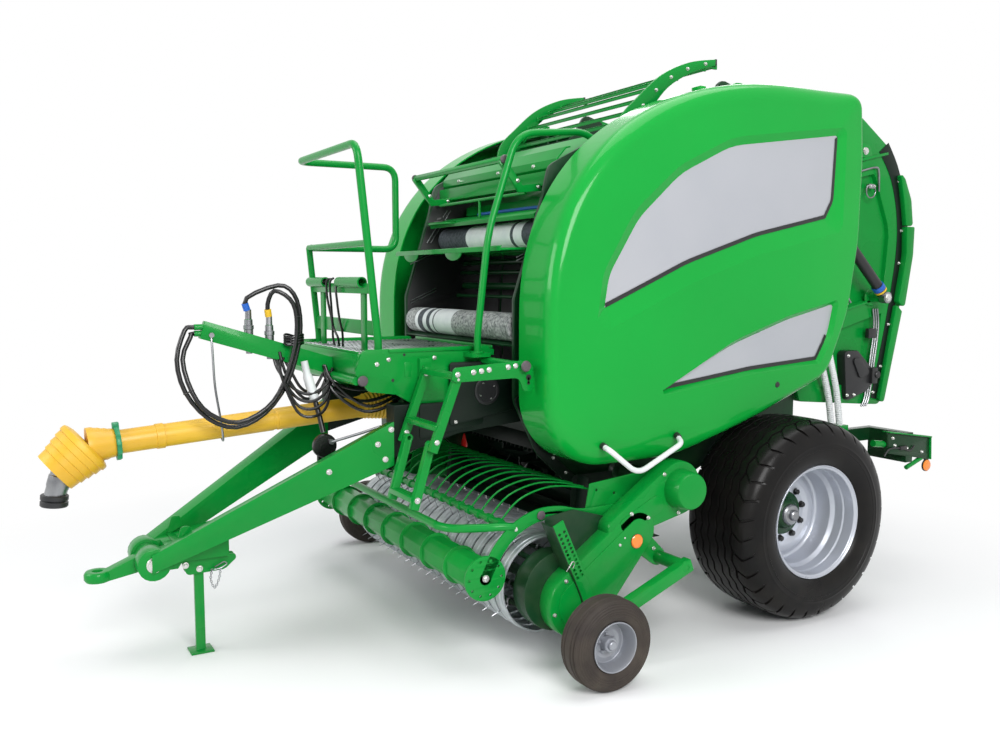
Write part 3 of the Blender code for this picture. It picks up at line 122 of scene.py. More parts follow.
def make_light():
    for name, place, aim, width, height, watts in LAMPS:
        data = bpy.data.lights.new(name, "AREA")
        data.shape, data.size, data.size_y, data.energy = "RECTANGLE", width, height, watts
        lamp = placed(name, data)
        lamp.location = place
        lamp.rotation_mode = "QUATERNION"
        lamp.rotation_quaternion = (Vector(aim) - Vector(place)).to_track_quat("-Z", "Y")
    world = bpy.data.worlds.new("studio")
    bpy.context.scene.world = world
    world.use_nodes = True
    tree = world.node_tree
    nodes, links = tree.nodes, tree.links
    nodes.clear()
    output, light = nodes.new("ShaderNodeOutputWorld"), nodes.new("ShaderNodeBackground")
    white, mix = nodes.new("ShaderNodeBackground"), nodes.new("ShaderNodeMixShader")
    light.inputs["Color"].default_value = SKY_COLOUR
    light.inputs["Strength"].default_value = SKY_STRENGTH
    white.inputs["Color"].default_value = WHITE
    links.new(seen_rays(tree), mix.inputs[0])
    links.new(light.outputs[0], mix.inputs[1])
    links.new(white.outputs[0], mix.inputs[2])
    links.new(mix.outputs[0], output.inputs[0])
    bpy.context.scene.view_settings.view_transform = "Standard"


def make_floor():
    mesh = bpy.data.meshes.new("floor")
    corners = [(x * FLOOR_HALF, y * FLOOR_HALF, 0) for x, y in ((-1, -1), (1, -1), (1, 1), (-1, 1))]
    mesh.from_pydata(corners, [], [(0, 1, 2, 3)])
    floor = placed("floor", mesh)
    material = bpy.data.materials.new("floor")
    material.use_nodes = True
    tree = material.node_tree
    shader = tree.nodes["Principled BSDF"]
    shader.inputs["Base Color"].default_value = FLOOR_COLOUR
    shader.inputs["Roughness"].default_value = FLOOR_ROUGHNESS
    far, mix = tree.nodes.new("ShaderNodeEmission"), tree.nodes.new("ShaderNodeMixShader")
    place, length = tree.nodes.new("ShaderNodeTexCoord"), tree.nodes.new("ShaderNodeVectorMath")
    length.operation = "LENGTH"
    tree.links.new(place.outputs["Object"], length.inputs[0])
    spread = math_node(tree, "MULTIPLY_ADD", length.outputs["Value"], *FLOOR_FADE, clamp=True)
    tree.links.new(math_node(tree, "MULTIPLY", spread, seen_rays(tree)), mix.inputs[0])
    tree.links.new(shader.outputs[0], mix.inputs[1])
    tree.links.new(far.outputs[0], mix.inputs[2])
    tree.links.new(mix.outputs[0], tree.nodes["Material Output"].inputs["Surface"])
    mesh.materials.append(material)


# Node groups that several finishes share.

def node_group(name, inputs, outputs):
    """An empty shader group with its named sockets, and its input and output nodes."""
    tree = bpy.data.node_groups.new(name, "ShaderNodeTree")
    for label, kind, value in inputs:
        socket = tree.interface.new_socket(label, in_out="INPUT", socket_type=f"NodeSocket{kind}")
        if value is not None:
            socket.default_value = value
    for label, kind in outputs:
        tree.interface.new_socket(label, in_out="OUTPUT", socket_type=f"NodeSocket{kind}")
    return tree, tree.nodes.new("NodeGroupInput"), tree.nodes.new("NodeGroupOutput")


def noise(tree, place, scale, detail=3.0):
    node = tree.nodes.new("ShaderNodeTexNoise")
    node.inputs["Detail"].default_value = detail
    tree.links.new(place, node.inputs["Vector"])
    feed(tree, node.inputs["Scale"], scale)
    return node.outputs["Fac"]


def feed(tree, socket, value):
    """Sets a socket to a number or links it to another socket."""
    if isinstance(value, (int, float)):
        socket.default_value = value
    elif value is not None:
        tree.links.new(value, socket)


def math_node(tree, operation, first, second=0.0, third=None, clamp=False):
    node = tree.nodes.new("ShaderNodeMath")
    node.operation, node.use_clamp = operation, clamp
    for socket, value in zip(node.inputs, (first, second, third)):
        feed(tree, socket, value)
    return node.outputs[0]


def blend(tree, share, first, second):
    """A mix of two colours, the second where the share is 1."""
    mix = tree.nodes.new("ShaderNodeMix")
    mix.data_type = "RGBA"
    tree.links.new(share, mix.inputs["Factor"])
    tree.links.new(first, mix.inputs[6])
    tree.links.new(second, mix.inputs[7])
    return mix.outputs[2]


def patches_group():
    """Soft patches between two colours, and a roughness that wanders with them."""
    tree, source, sink = node_group("patches", [("Place", "Vector", None),
                                                ("Colour", "Color", (1, 1, 1, 1)),
                                                ("Shade", "Color", (0, 0, 0, 1)), ("Size", "Float", 4.0),
                                                ("Smooth", "Float", 0.3), ("Rough", "Float", 0.5)],
                                    [("Colour", "Color"), ("Roughness", "Float")])
    mask = noise(tree, source.outputs["Place"], source.outputs["Size"], 5.0)
    sharp = math_node(tree, "MULTIPLY_ADD", mask, 2.4, -0.7, clamp=True)
    colour = blend(tree, sharp, source.outputs["Shade"], source.outputs["Colour"])
    tree.links.new(colour, sink.inputs["Colour"])
    span = math_node(tree, "SUBTRACT", source.outputs["Rough"], source.outputs["Smooth"])
    tree.links.new(math_node(tree, "MULTIPLY_ADD", sharp, span, source.outputs["Smooth"]),
                   sink.inputs["Roughness"])
    return tree


def dust_group():
    """Dust in patches, more of it low down on the machine."""
    tree, source, sink = node_group("dust", [("Place", "Vector", None), ("Colour", "Color", (1, 1, 1, 1)),
                                             ("Dust", "Color", (0.3, 0.26, 0.2, 1)),
                                             ("Amount", "Float", 0.1), ("Height", "Float", 1.0)],
                                    [("Colour", "Color"), ("Mask", "Float")])
    split = tree.nodes.new("ShaderNodeSeparateXYZ")
    tree.links.new(source.outputs["Place"], split.inputs[0])
    low = math_node(tree, "DIVIDE", split.outputs["Z"], source.outputs["Height"], clamp=True)
    low = math_node(tree, "SUBTRACT", 1.15, low, clamp=True)
    spots = noise(tree, source.outputs["Place"], 9.0, 6.0)
    spots = math_node(tree, "MULTIPLY_ADD", spots, 3.0, -1.1, clamp=True)
    mask = math_node(tree, "MULTIPLY", math_node(tree, "MULTIPLY", spots, low), source.outputs["Amount"],
                     clamp=True)
    colour = blend(tree, mask, source.outputs["Colour"], source.outputs["Dust"])
    tree.links.new(colour, sink.inputs["Colour"])
    tree.links.new(mask, sink.inputs["Mask"])
    return tree


def grain_group():
    """A fine bumpy skin, such as orange peel in paint or moulded grain."""
    tree, source, sink = node_group("grain", [("Place", "Vector", None), ("Size", "Float", 200.0),
                                              ("Depth", "Float", 0.0003)], [("Normal", "Vector")])
    bump = tree.nodes.new("ShaderNodeBump")
    bump.inputs["Strength"].default_value = 0.6
    tree.links.new(source.outputs["Depth"], bump.inputs["Distance"])
    tree.links.new(noise(tree, source.outputs["Place"], source.outputs["Size"], 2.0), bump.inputs["Height"])
    tree.links.new(bump.outputs[0], sink.inputs["Normal"])
    return tree


GROUPS = {}


def use_group(material, name, builder, **values):
    """Places a shared group in a material. Values are numbers, colours or links."""
    if name not in GROUPS:
        GROUPS[name] = builder()
    tree = material.node_tree
    node = tree.nodes.new("ShaderNodeGroup")
    node.node_tree = GROUPS[name]
    for label, value in values.items():
        socket = node.inputs[label]
        if isinstance(value, bpy.types.NodeSocket):
            tree.links.new(value, socket)
        else:
            socket.default_value = value
    return node


def rgb(red, green, blue):
    """A colour given as it looks on a screen, from 0 to 255, in linear light."""
    def linear(v):
        v /= 255.0
        return v / 12.92 if v <= 0.04045 else ((v + 0.055) / 1.055) ** 2.4
    return (linear(red), linear(green), linear(blue), 1.0)


FINISHES = {}


def finish(name, colour, shade, size=3.0, smooth=0.3, rough=0.4, grain=(400.0, 0.0002), dust=0.0,
           dust_height=1.2, dust_colour=(150, 138, 118), **sockets):
    """A finish with patches of colour, dust and a fine grain. Its other sockets are set on the shader."""
    material = bpy.data.materials.new(name)
    material.use_nodes = True
    tree = material.node_tree
    shader = tree.nodes["Principled BSDF"]
    place = tree.nodes.new("ShaderNodeTexCoord").outputs["Object"]
    patches = use_group(material, "patches", patches_group, Place=place, Colour=rgb(*colour),
                        Shade=rgb(*shade), Size=size, Smooth=smooth, Rough=rough)
    layer = use_group(material, "dust", dust_group, Place=place, Colour=patches.outputs["Colour"],
                      Dust=rgb(*dust_colour), Amount=dust, Height=dust_height)
    skin = use_group(material, "grain", grain_group, Place=place, Size=grain[0], Depth=grain[1])
    tree.links.new(layer.outputs["Colour"], shader.inputs["Base Color"])
    tree.links.new(patches.outputs["Roughness"], shader.inputs["Roughness"])
    tree.links.new(skin.outputs["Normal"], shader.inputs["Normal"])
    for label, value in sockets.items():
        shader.inputs[label.replace("_", " ")].default_value = value
    FINISHES[name] = material
    return material


def make_finishes():
    """Every finish on the machine, by name."""
    finish("green_paint", (4, 140, 52), (3, 128, 46), 1.4, 0.24, 0.34, (900, 0.00006), 0.05, 0.9,
           Specular_IOR_Level=0.14, Coat_Weight=0.16, Coat_Roughness=0.08)
    finish("shell_green", (8, 156, 54), (6, 146, 50), 0.8, 0.20, 0.26, (700, 0.00004), 0.02, 1.0,
           Specular_IOR_Level=0.12, Coat_Weight=0.26, Coat_Roughness=0.04)
    # Dark green paint. The chamber sides also take it as painted shade.
    finish("dark_green_paint", (5, 58, 26), (4, 46, 20), 2.0, 0.32, 0.44, (600, 0.0001), 0.06,
           Specular_IOR_Level=0.25, Coat_Weight=0.10)
    # painted shade: a near-black green for parts that lie in shade
    finish("shadow_green", (3, 26, 14), (2, 18, 10), 3.0, 0.40, 0.52, (500, 0.0001), 0.04,
           Specular_IOR_Level=0.25)
    finish("grey_panel", (171, 172, 177), (163, 165, 171), 1.5, 0.30, 0.38, (1600, 0.00002), 0.03,
           Metallic=0.12, Coat_Weight=0.6, Coat_Roughness=0.08)
    finish("black_trim", (26, 27, 28), (20, 21, 22), 4.0, 0.35, 0.5, (900, 0.0001), 0.05)
    finish("black_liner", (22, 24, 27), (15, 16, 18), 2.5, 0.45, 0.6, (500, 0.0003), 0.10)
    finish("galvanised", (206, 211, 214), (172, 179, 184), 14.0, 0.28, 0.46, (300, 0.0001), 0.08, 0.8,
           Metallic=0.6)
    finish("bare_steel", (168, 170, 172), (120, 122, 126), 8.0, 0.25, 0.4, (500, 0.0001), 0.10, Metallic=0.95)
    finish("zinc_bolt", (222, 222, 220), (196, 196, 192), 30.0, 0.22, 0.32, (500, 0.00005), Metallic=0.9)
    finish("wheel_silver", (190, 194, 202), (176, 180, 190), 2.0, 0.26, 0.36, (900, 0.00005), 0.14, 0.6,
           Metallic=0.45, Coat_Weight=0.3)
    finish("tyre_rubber", (20, 19, 19), (15, 14, 14), 5.0, 0.26, 0.36, (260, 0.0003), 0.02, 1.2,
           Specular_IOR_Level=0.16)
    finish("gauge_silver", (150, 153, 160), (138, 141, 149), 2.0, 0.30, 0.40, (900, 0.00005), 0.14, 0.5,
           Metallic=0.4)
    finish("gauge_rubber", (54, 47, 43), (42, 36, 33), 7.0, 0.6, 0.75, (300, 0.0004), 0.12, 0.5,
           Specular_IOR_Level=0.30)
    finish("belt_rubber", (34, 34, 36), (24, 24, 26), 6.0, 0.55, 0.7, (240, 0.0004), 0.1)
    finish("hose_rubber", (15, 15, 16), (11, 11, 12), 10.0, 0.24, 0.36, (900, 0.0001))
    finish("yellow_plastic", (228, 182, 46), (213, 163, 32), 3.0, 0.34, 0.48, (300, 0.0002), 0.12, 1.3)
    finish("clip_green", (26, 140, 92), (20, 124, 80), 4.0, 0.35, 0.45, (400, 0.0001))
    finish("black_plastic", (30, 31, 33), (22, 23, 25), 5.0, 0.38, 0.5, (500, 0.0002), 0.08)
    finish("knob_brown", (88, 80, 84), (70, 64, 68), 9.0, 0.4, 0.5, (500, 0.0002))
    finish("white_plastic", (226, 228, 228), (206, 209, 210), 5.0, 0.4, 0.5, (400, 0.0001), 0.08)
    finish("net_white", (246, 247, 248), (230, 232, 236), 18.0, 0.7, 0.82, (520, 0.0012))
    finish("net_dark", (92, 98, 106), (40, 44, 50), 60.0, 0.7, 0.82, (520, 0.0016))
    finish("net_mottled", (206, 208, 206), (70, 74, 78), 70.0, 0.7, 0.82, (520, 0.0014))
    finish("core_blue", (40, 110, 190), (30, 92, 170), 9.0, 0.5, 0.6, (400, 0.0002))
    finish("amber_lens", (246, 140, 24), (236, 122, 16), 12.0, 0.12, 0.2, (300, 0.0002), Coat_Weight=0.8)
    finish("red_lens", (190, 26, 22), (170, 18, 16), 12.0, 0.12, 0.2, (300, 0.0002), Coat_Weight=0.8)
    finish("cap_blue", (32, 96, 190), (26, 84, 172), 9.0, 0.4, 0.5, (400, 0.0001))
    finish("cap_yellow", (232, 190, 40), (220, 176, 30), 9.0, 0.4, 0.5, (400, 0.0001))


# Loose meshes in the machine's coordinates.

def mesh_of(verts, faces):
    mesh = bpy.data.meshes.new("loose")
    mesh.from_pydata([tuple(v) for v in verts], [], faces)
    return mesh


def from_bmesh(bm):
    mesh = bpy.data.meshes.new("loose")
    bm.to_mesh(mesh)
    bm.free()
    return mesh


def baked(obj, *tools):
    """The plain mesh that an object's modifiers make. The object and its tools are removed."""
    graph = bpy.context.evaluated_depsgraph_get()
    mesh = bpy.data.meshes.new_from_object(obj.evaluated_get(graph))
    for loose in (obj, *tools):
        bpy.data.objects.remove(loose)
    return mesh


def merged(mesh, distance=2e-5):
    """The mesh with its faces outwards and, unless the distance is 0, its doubles merged."""
    bm = bmesh.new()
    bm.from_mesh(mesh)
    if distance:
        bmesh.ops.remove_doubles(bm, verts=bm.verts[:], dist=distance)
    bmesh.ops.recalc_face_normals(bm, faces=bm.faces[:])
    return from_bmesh(bm)


def turned_out(mesh, towards):
    """An open sheet whose faces agree and point towards one side on the whole."""
    bm = bmesh.new()
    bm.from_mesh(mesh)
    bmesh.ops.recalc_face_normals(bm, faces=bm.faces[:])
    if sum(face.normal.dot(Vector(towards)) * face.calc_area() for face in bm.faces) < 0:
        bmesh.ops.reverse_faces(bm, faces=bm.faces[:])
    return from_bmesh(bm)


def grid_faces(rows, width, closed=False):
    """Quads between neighbouring rows of points, which may close round."""
    faces = []
    for i in range(rows - 1):
        for k in range(width if closed else width - 1):
            n = (k + 1) % width
            faces.append((i * width + k, i * width + n, (i + 1) * width + n, (i + 1) * width + k))
    return faces


def block(low, high, edge=0.003, segments=2):
    """A box between two corners with eased edges."""
    low, high = Vector(low), Vector(high)
    bm = bmesh.new()
    place = Matrix.Translation((low + high) / 2) @ Matrix.Diagonal((*(high - low), 1.0))
    bmesh.ops.create_cube(bm, size=1.0, matrix=place)
    if edge:
        bmesh.ops.bevel(bm, geom=bm.edges[:], offset=edge, segments=segments, affect="EDGES", profile=0.5)
    return from_bmesh(bm)


def line_frames(points, closed=False):
    """A tangent and two side vectors at each point, which don't twist along the path."""
    count = len(points)
    tangents = []
    for i in range(count):
        before = points[(i - 1) % count] if closed or i else points[i]
        after = points[(i + 1) % count] if closed or i < count - 1 else points[i]
        tangents.append((after - before).normalized())
    side = tangents[0].orthogonal().normalized()
    frames = []
    for tangent in tangents:
        side = (side - tangent * side.dot(tangent)).normalized()
        frames.append((tangent, side, tangent.cross(side)))
    return frames


def sweep(points, radius, sides=12, closed=False):
    """A round bar along points. The radius is one number or one for each point."""
    points = [Vector(p) for p in points]
    radii = [radius] * len(points) if isinstance(radius, (int, float)) else radius
    verts, faces = [], []
    for point, r, (_, side, up) in zip(points, radii, line_frames(points, closed)):
        for k in range(sides):
            angle = 2 * math.pi * k / sides
            verts.append(point + (side * math.cos(angle) + up * math.sin(angle)) * r)
    rings = len(points)
    for i in range(rings if closed else rings - 1):
        for k in range(sides):
            a, b = i * sides + k, i * sides + (k + 1) % sides
            c, d = ((i + 1) % rings) * sides + (k + 1) % sides, ((i + 1) % rings) * sides + k
            faces.append((a, b, c, d))
    if not closed:
        faces.append(tuple(reversed(range(sides))))
        faces.append(tuple(range((rings - 1) * sides, rings * sides)))
    return mesh_of(verts, faces)


def bow(points, steps=6, closed=False):
    """More points on a smooth curve through the given ones."""
    vectors = [Vector(p) for p in points]
    count = len(vectors)
    out = [] if closed else [vectors[0]]
    for i in range(count if closed else count - 1):
        if closed:
            a, b, c, d = (vectors[(i + k) % count] for k in (-1, 0, 1, 2))
        else:
            a, b, c, d = vectors[max(i - 1, 0)], vectors[i], vectors[i + 1], vectors[min(i + 2, count - 1)]
        for k in range(1, steps + 1):
            t = k / steps
            out.append(0.5 * ((2 * b) + (c - a) * t + (2 * a - 5 * b + 4 * c - d) * t * t
                              + (3 * b - a - 3 * c + d) * t ** 3))
    return out


def wire(places, radius, sides=10):
    """A smooth line through its places. The radius is one number or one for each point."""
    return sweep(bow(places, 5), radius, sides)


def bent(points, radius=0.06, steps=6):
    """A path with straight runs and rounded corners, as a bent tube has."""
    vectors = [Vector(p) for p in points]
    out = [vectors[0]]
    for before, corner, after in zip(vectors, vectors[1:], vectors[2:]):
        into, away = (before - corner), (after - corner)
        reach = min(radius, into.length * 0.49, away.length * 0.49)
        start, end = corner + into.normalized() * reach, corner + away.normalized() * reach
        for k in range(steps + 1):
            t = k / steps
            out.append(start * (1 - t) ** 2 + corner * 2 * t * (1 - t) + end * t * t)
    return [*out, vectors[-1]]


def turned(profile, centre, steps=64, closed=True):
    """(X, radius) points turned about the line along X through centre (Y, Z).

    A closed profile is a ring's section. An open one ends on the line.
    """
    y0, z0 = centre
    verts, faces, rows = [], [], []
    for x, r in profile:
        if r < 1e-6:
            rows.append([len(verts)] * steps)
            verts.append((x, y0, z0))
            continue
        rows.append(list(range(len(verts), len(verts) + steps)))
        for k in range(steps):
            angle = 2 * math.pi * k / steps
            verts.append((x, y0 + r * math.cos(angle), z0 + r * math.sin(angle)))
    pairs = list(zip(rows, rows[1:]))
    if closed:
        pairs.append((rows[-1], rows[0]))
    for first, second in pairs:
        for k in range(steps):
            n = (k + 1) % steps
            face = []
            for index in (first[k], second[k], second[n], first[n]):
                if index not in face:
                    face.append(index)
            if len(face) > 2:
                faces.append(tuple(face))
    return merged(mesh_of(verts, faces), 0)


def moved(mesh, x=0.0, y=0.0, z=0.0):
    mesh.transform(Matrix.Translation((x, y, z)))
    return mesh


def lay(mesh, start, towards):
    """Carries a shape made along +X from the origin to a line from start towards another point."""
    start, towards = Vector(start), Vector(towards)
    turn = (towards - start).to_track_quat("X", "Z").to_matrix().to_4x4()
    mesh.transform(Matrix.Translation(start) @ turn)
    return mesh


def spun(profile, start, towards, steps=28, closed=False):
    """A turned shape laid from a place towards another. Its profile is (distance along, radius)."""
    return lay(turned(profile, (0, 0), steps, closed), start, towards)


def arc(centre, radius, first, last, count=8):
    """Points of an arc in (Y, Z): 0 degrees is to the rear, 90 is up."""
    return [(centre[0] + radius * math.cos(math.radians(first + (last - first) * k / count)),
             centre[1] + radius * math.sin(math.radians(first + (last - first) * k / count)))
            for k in range(count + 1)]


def circle(centre, radius, count=32):
    return arc(centre, radius, 0, 360, count)[:-1]


def rounded(corners, step=12):
    """A closed outline from (Y, Z, corner radius)."""
    out = []
    count = len(corners)
    for i, (y, z, radius) in enumerate(corners):
        corner = Vector((y, z))
        before = Vector(corners[i - 1][:2]) - corner
        after = Vector(corners[(i + 1) % count][:2]) - corner
        angle = before.angle(after)
        if radius <= 0 or angle > math.radians(178):
            out.append((y, z))
            continue
        reach = min(radius / math.tan(angle / 2), before.length * 0.49, after.length * 0.49)
        radius = reach * math.tan(angle / 2)
        inwards = (before.normalized() + after.normalized()).normalized()
        middle = corner + inwards * (radius / math.sin(angle / 2))
        start = corner + before.normalized() * reach - middle
        end = corner + after.normalized() * reach - middle
        first = math.atan2(start.y, start.x)
        turn = (math.atan2(end.y, end.x) - first + math.pi) % (2 * math.pi) - math.pi
        pieces = max(1, round(abs(math.degrees(turn)) / step))
        out += [(middle.x + radius * math.cos(first + turn * k / pieces),
                 middle.y + radius * math.sin(first + turn * k / pieces)) for k in range(pieces + 1)]
    return out


def hull(a, r_a, b, r_b, count=16):
    """The outline round two circles, in (Y, Z)."""
    gap = math.dist(a, b)
    heading = math.degrees(math.atan2(b[1] - a[1], b[0] - a[0]))
    lean = math.degrees(math.acos((r_a - r_b) / gap))
    far = arc(b, r_b, heading - lean, heading + lean, count)
    return far + arc(a, r_a, heading + lean, heading + 360 - lean, count)


def ribbon(path, half):
    """The outline of a band of that half width along a path in (Y, Z)."""
    left, right = [], []
    for i, (y, z) in enumerate(path):
        before, after = Vector(path[max(i - 1, 0)]), Vector(path[min(i + 1, len(path) - 1)])
        along = (after - before).normalized()
        left.append((y - along.y * half, z + along.x * half))
        right.append((y + along.y * half, z - along.x * half))
    return left + right[::-1]


PLANES = {"x": Matrix(((0, 0, 1, 0), (1, 0, 0, 0), (0, 1, 0, 0), (0, 0, 0, 1))),
          "y": Matrix(((1, 0, 0, 0), (0, 0, -1, 0), (0, 1, 0, 0), (0, 0, 0, 1))),
          "z": Matrix.Identity(4)}


def plate(outline, low, high, edge=0.002, holes=(), across="x"):
    """A flat plate between two places on one axis, with eased edges and holes.

    The outline is in (Y, Z), (X, Z) or (X, Y).
    """
    curve = bpy.data.curves.new("plate", "CURVE")
    curve.dimensions, curve.fill_mode = "2D", "BOTH"
    for loop in (outline, *holes):
        spline = curve.splines.new("POLY")
        spline.points.add(len(loop) - 1)
        for point, (u, v) in zip(spline.points, loop):
            point.co = (u, v, 0, 1)
        spline.use_cyclic_u = True
    edge = min(edge, (high - low) * 0.45)
    curve.extrude, curve.bevel_depth, curve.offset = (high - low) / 2 - edge, edge, -edge
    curve.bevel_resolution = 1
    mesh = baked(placed("plate", curve))
    middle = (low + high) / 2
    moved(mesh, z=-middle if across == "y" else middle)
    mesh.transform(PLANES[across])
    return merged(mesh, 1e-5)


def pressed(corners, low, high, edge=0.002):
    """A flat plate across X from corners of (Y, Z, corner radius)."""
    return plate(rounded(corners), low, high, edge)


def mirrored(mesh):
    """A copy on the other side of the machine, its faces still outwards."""
    copy = mesh.copy()
    copy.transform(Matrix.Diagonal((-1, 1, 1, 1)))
    copy.flip_normals()
    return copy


def sided(side, meshes):
    return meshes if side > 0 else [mirrored(mesh) for mesh in meshes]


def both(*meshes):
    """Meshes of the left with their mirror images."""
    return [*meshes, *sided(-1, meshes)]


def piece(name, meshes, material, body, replaces=(), sharp=32, slot=None):
    """One piece of the machine from loose meshes, in its frame, riding on a body.

    The slot is not used.
    """
    bm = bmesh.new()
    for mesh in meshes:
        bm.from_mesh(mesh)
    mesh = from_bmesh(bm)
    mesh.transform(Matrix.Translation((0, AXLE_Y, 0)))
    mesh.name = name
    mesh.materials.clear()
    for label in ([material] if isinstance(material, str) else material):
        mesh.materials.append(FINISHES[label])
    mesh.shade_smooth()
    mesh.set_sharp_from_angle(angle=math.radians(sharp))
    obj = placed(name, mesh)
    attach(obj, body)
    if replaces:
        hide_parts(*replaces)


def both_sides(body, *rows):
    """The same pieces on the left and the right, {} being the side in names.

    A row is a name, meshes of the left, a finish and, where needed, the rest of what piece() takes.
    """
    for label, side in SIDES:
        for name, meshes, material, *rest in rows:
            if rest:
                rest[0] = tuple(node.format(label) for node in rest[0])
            piece(name.format(label), sided(side, meshes), material, body.format(label), *rest)


# Geometry node trees that repeat a shape.

def copies_tree():
    """Copies of an object in a row or round a ring, realised and given a material."""
    tree = bpy.data.node_groups.new("copies", "GeometryNodeTree")
    sockets = (("Shape", "NodeSocketObject", None), ("Count", "NodeSocketInt", 2),
               ("Start", "NodeSocketVector", None), ("Step", "NodeSocketVector", None),
               ("Turn", "NodeSocketVector", None), ("Material", "NodeSocketMaterial", None))
    for label, kind, value in sockets:
        socket = tree.interface.new_socket(label, in_out="INPUT", socket_type=kind)
        if value is not None:
            socket.default_value = value
    tree.interface.new_socket("Geometry", in_out="OUTPUT", socket_type="NodeSocketGeometry")
    source, sink = tree.nodes.new("NodeGroupInput"), tree.nodes.new("NodeGroupOutput")
    line, index = tree.nodes.new("GeometryNodeMeshLine"), tree.nodes.new("GeometryNodeInputIndex")
    info, place = tree.nodes.new("GeometryNodeObjectInfo"), tree.nodes.new("GeometryNodeInstanceOnPoints")
    turn, real = tree.nodes.new("ShaderNodeVectorMath"), tree.nodes.new("GeometryNodeRealizeInstances")
    paint = tree.nodes.new("GeometryNodeSetMaterial")
    line.mode, turn.operation = "OFFSET", "SCALE"
    link = tree.links.new
    link(source.outputs["Count"], line.inputs["Count"])
    link(source.outputs["Start"], line.inputs["Start Location"])
    link(source.outputs["Step"], line.inputs["Offset"])
    link(source.outputs["Shape"], info.inputs["Object"])
    link(source.outputs["Turn"], turn.inputs[0])
    link(index.outputs[0], turn.inputs["Scale"])
    link(line.outputs[0], place.inputs["Points"])
    link(info.outputs["Geometry"], place.inputs["Instance"])
    link(turn.outputs[0], place.inputs["Rotation"])
    link(place.outputs[0], real.inputs[0])
    link(real.outputs[0], paint.inputs["Geometry"])
    link(source.outputs["Material"], paint.inputs["Material"])
    link(paint.outputs[0], sink.inputs[0])
    return tree


def bolts_tree():
    """A bolt at each vertex of a mesh, its head along that vertex's "facing" vector."""
    tree = bpy.data.node_groups.new("bolts", "GeometryNodeTree")
    tree.interface.new_socket("Places", in_out="INPUT", socket_type="NodeSocketGeometry")
    for label, kind in (("Bolt", "NodeSocketObject"), ("Size", "NodeSocketFloat"),
                        ("Material", "NodeSocketMaterial")):
        tree.interface.new_socket(label, in_out="INPUT", socket_type=kind)
    tree.interface.new_socket("Geometry", in_out="OUTPUT", socket_type="NodeSocketGeometry")
    source, sink = tree.nodes.new("NodeGroupInput"), tree.nodes.new("NodeGroupOutput")
    facing = tree.nodes.new("GeometryNodeInputNamedAttribute")
    align = tree.nodes.new("FunctionNodeAlignRotationToVector")
    info, place = tree.nodes.new("GeometryNodeObjectInfo"), tree.nodes.new("GeometryNodeInstanceOnPoints")
    real, paint = tree.nodes.new("GeometryNodeRealizeInstances"), tree.nodes.new("GeometryNodeSetMaterial")
    facing.data_type = "FLOAT_VECTOR"
    facing.inputs["Name"].default_value = "facing"
    align.axis = "Z"
    link = tree.links.new
    link(source.outputs["Places"], place.inputs["Points"])
    link(source.outputs["Bolt"], info.inputs["Object"])
    link(info.outputs["Geometry"], place.inputs["Instance"])
    link(facing.outputs["Attribute"], align.inputs["Vector"])
    link(align.outputs[0], place.inputs["Rotation"])
    link(source.outputs["Size"], place.inputs["Scale"])
    link(place.outputs[0], real.inputs[0])
    link(real.outputs[0], paint.inputs["Geometry"])
    link(source.outputs["Material"], paint.inputs["Material"])
    link(paint.outputs[0], sink.inputs[0])
    return tree


TREES = {}


def grown(carrier, tree_name, builder, **values):
    """The plain mesh that a geometry node tree makes of a carrier mesh, its inputs set by name."""
    if tree_name not in TREES:
        TREES[tree_name] = builder()
    tree = TREES[tree_name]
    obj = placed("grown", carrier)
    modifier = obj.modifiers.new("nodes", "NODES")
    modifier.node_group = tree
    shapes = []
    for item in tree.interface.items_tree:
        if item.in_out != "INPUT" or item.name not in values:
            continue
        value = values[item.name]
        if isinstance(value, bpy.types.Mesh):
            value = placed("shape", value)
            shapes.append(value)
        modifier[item.identifier] = value
    return baked(obj, *shapes)


def copies(shape, count, start=(0, 0, 0), step=(0, 0, 0), turn=(0, 0, 0), material="green_paint"):
    """Copies of a mesh. Turn is in degrees for each next copy, about its own place."""
    return grown(bpy.data.meshes.new("line"), "copies", copies_tree, Shape=shape, Count=count,
                 Start=tuple(start), Step=tuple(step), Turn=tuple(math.radians(a) for a in turn),
                 Material=FINISHES[material])


def ring_of(shape, count, centre, material, first=0.0):
    """Copies round the line along X through centre (Y, Z). The shape is modelled about the origin."""
    if first:
        shape = shape.copy()
        shape.transform(Matrix.Rotation(math.radians(first), 4, "X"))
    return copies(shape, count, (0, *centre), (0, 0, 0), (360 / count, 0, 0), material)


WASHER = 0.002               # how thick the washer under a bolt head is


def bolt_head(radius=0.01, height=0.007):
    """A hexagon head on a round washer, standing up from the origin."""
    bm = bmesh.new()
    for sides, foot, top, tall, middle in (
            (16, 1.25, 1.2, WASHER, WASHER / 2), (6, 1.0, 1.0, height, WASHER + height / 2),
            (12, 0.82, 0.6, height * 0.3, WASHER + height * 1.15)):
        bmesh.ops.create_cone(bm, cap_ends=True, segments=sides, radius1=radius * foot, radius2=radius * top,
                              depth=tall, matrix=Matrix.Translation((0, 0, middle)))
    return from_bmesh(bm)


def bolts(places, facing, radius=0.01, material="zinc_bolt"):
    """Bolt heads at places, all facing one way."""
    mesh = mesh_of(places, [])
    attribute = mesh.attributes.new("facing", "FLOAT_VECTOR", "POINT")
    for item in attribute.data:
        item.vector = facing
    return grown(mesh, "bolts", bolts_tree, Bolt=bolt_head(radius), Size=1.0, Material=FINISHES[material])


def side_bolts(x, places, radius):
    """Bolt heads that face outwards on the left at one X, at places in (Y, Z)."""
    return bolts([(x, *place) for place in places], (1, 0, 0), radius)


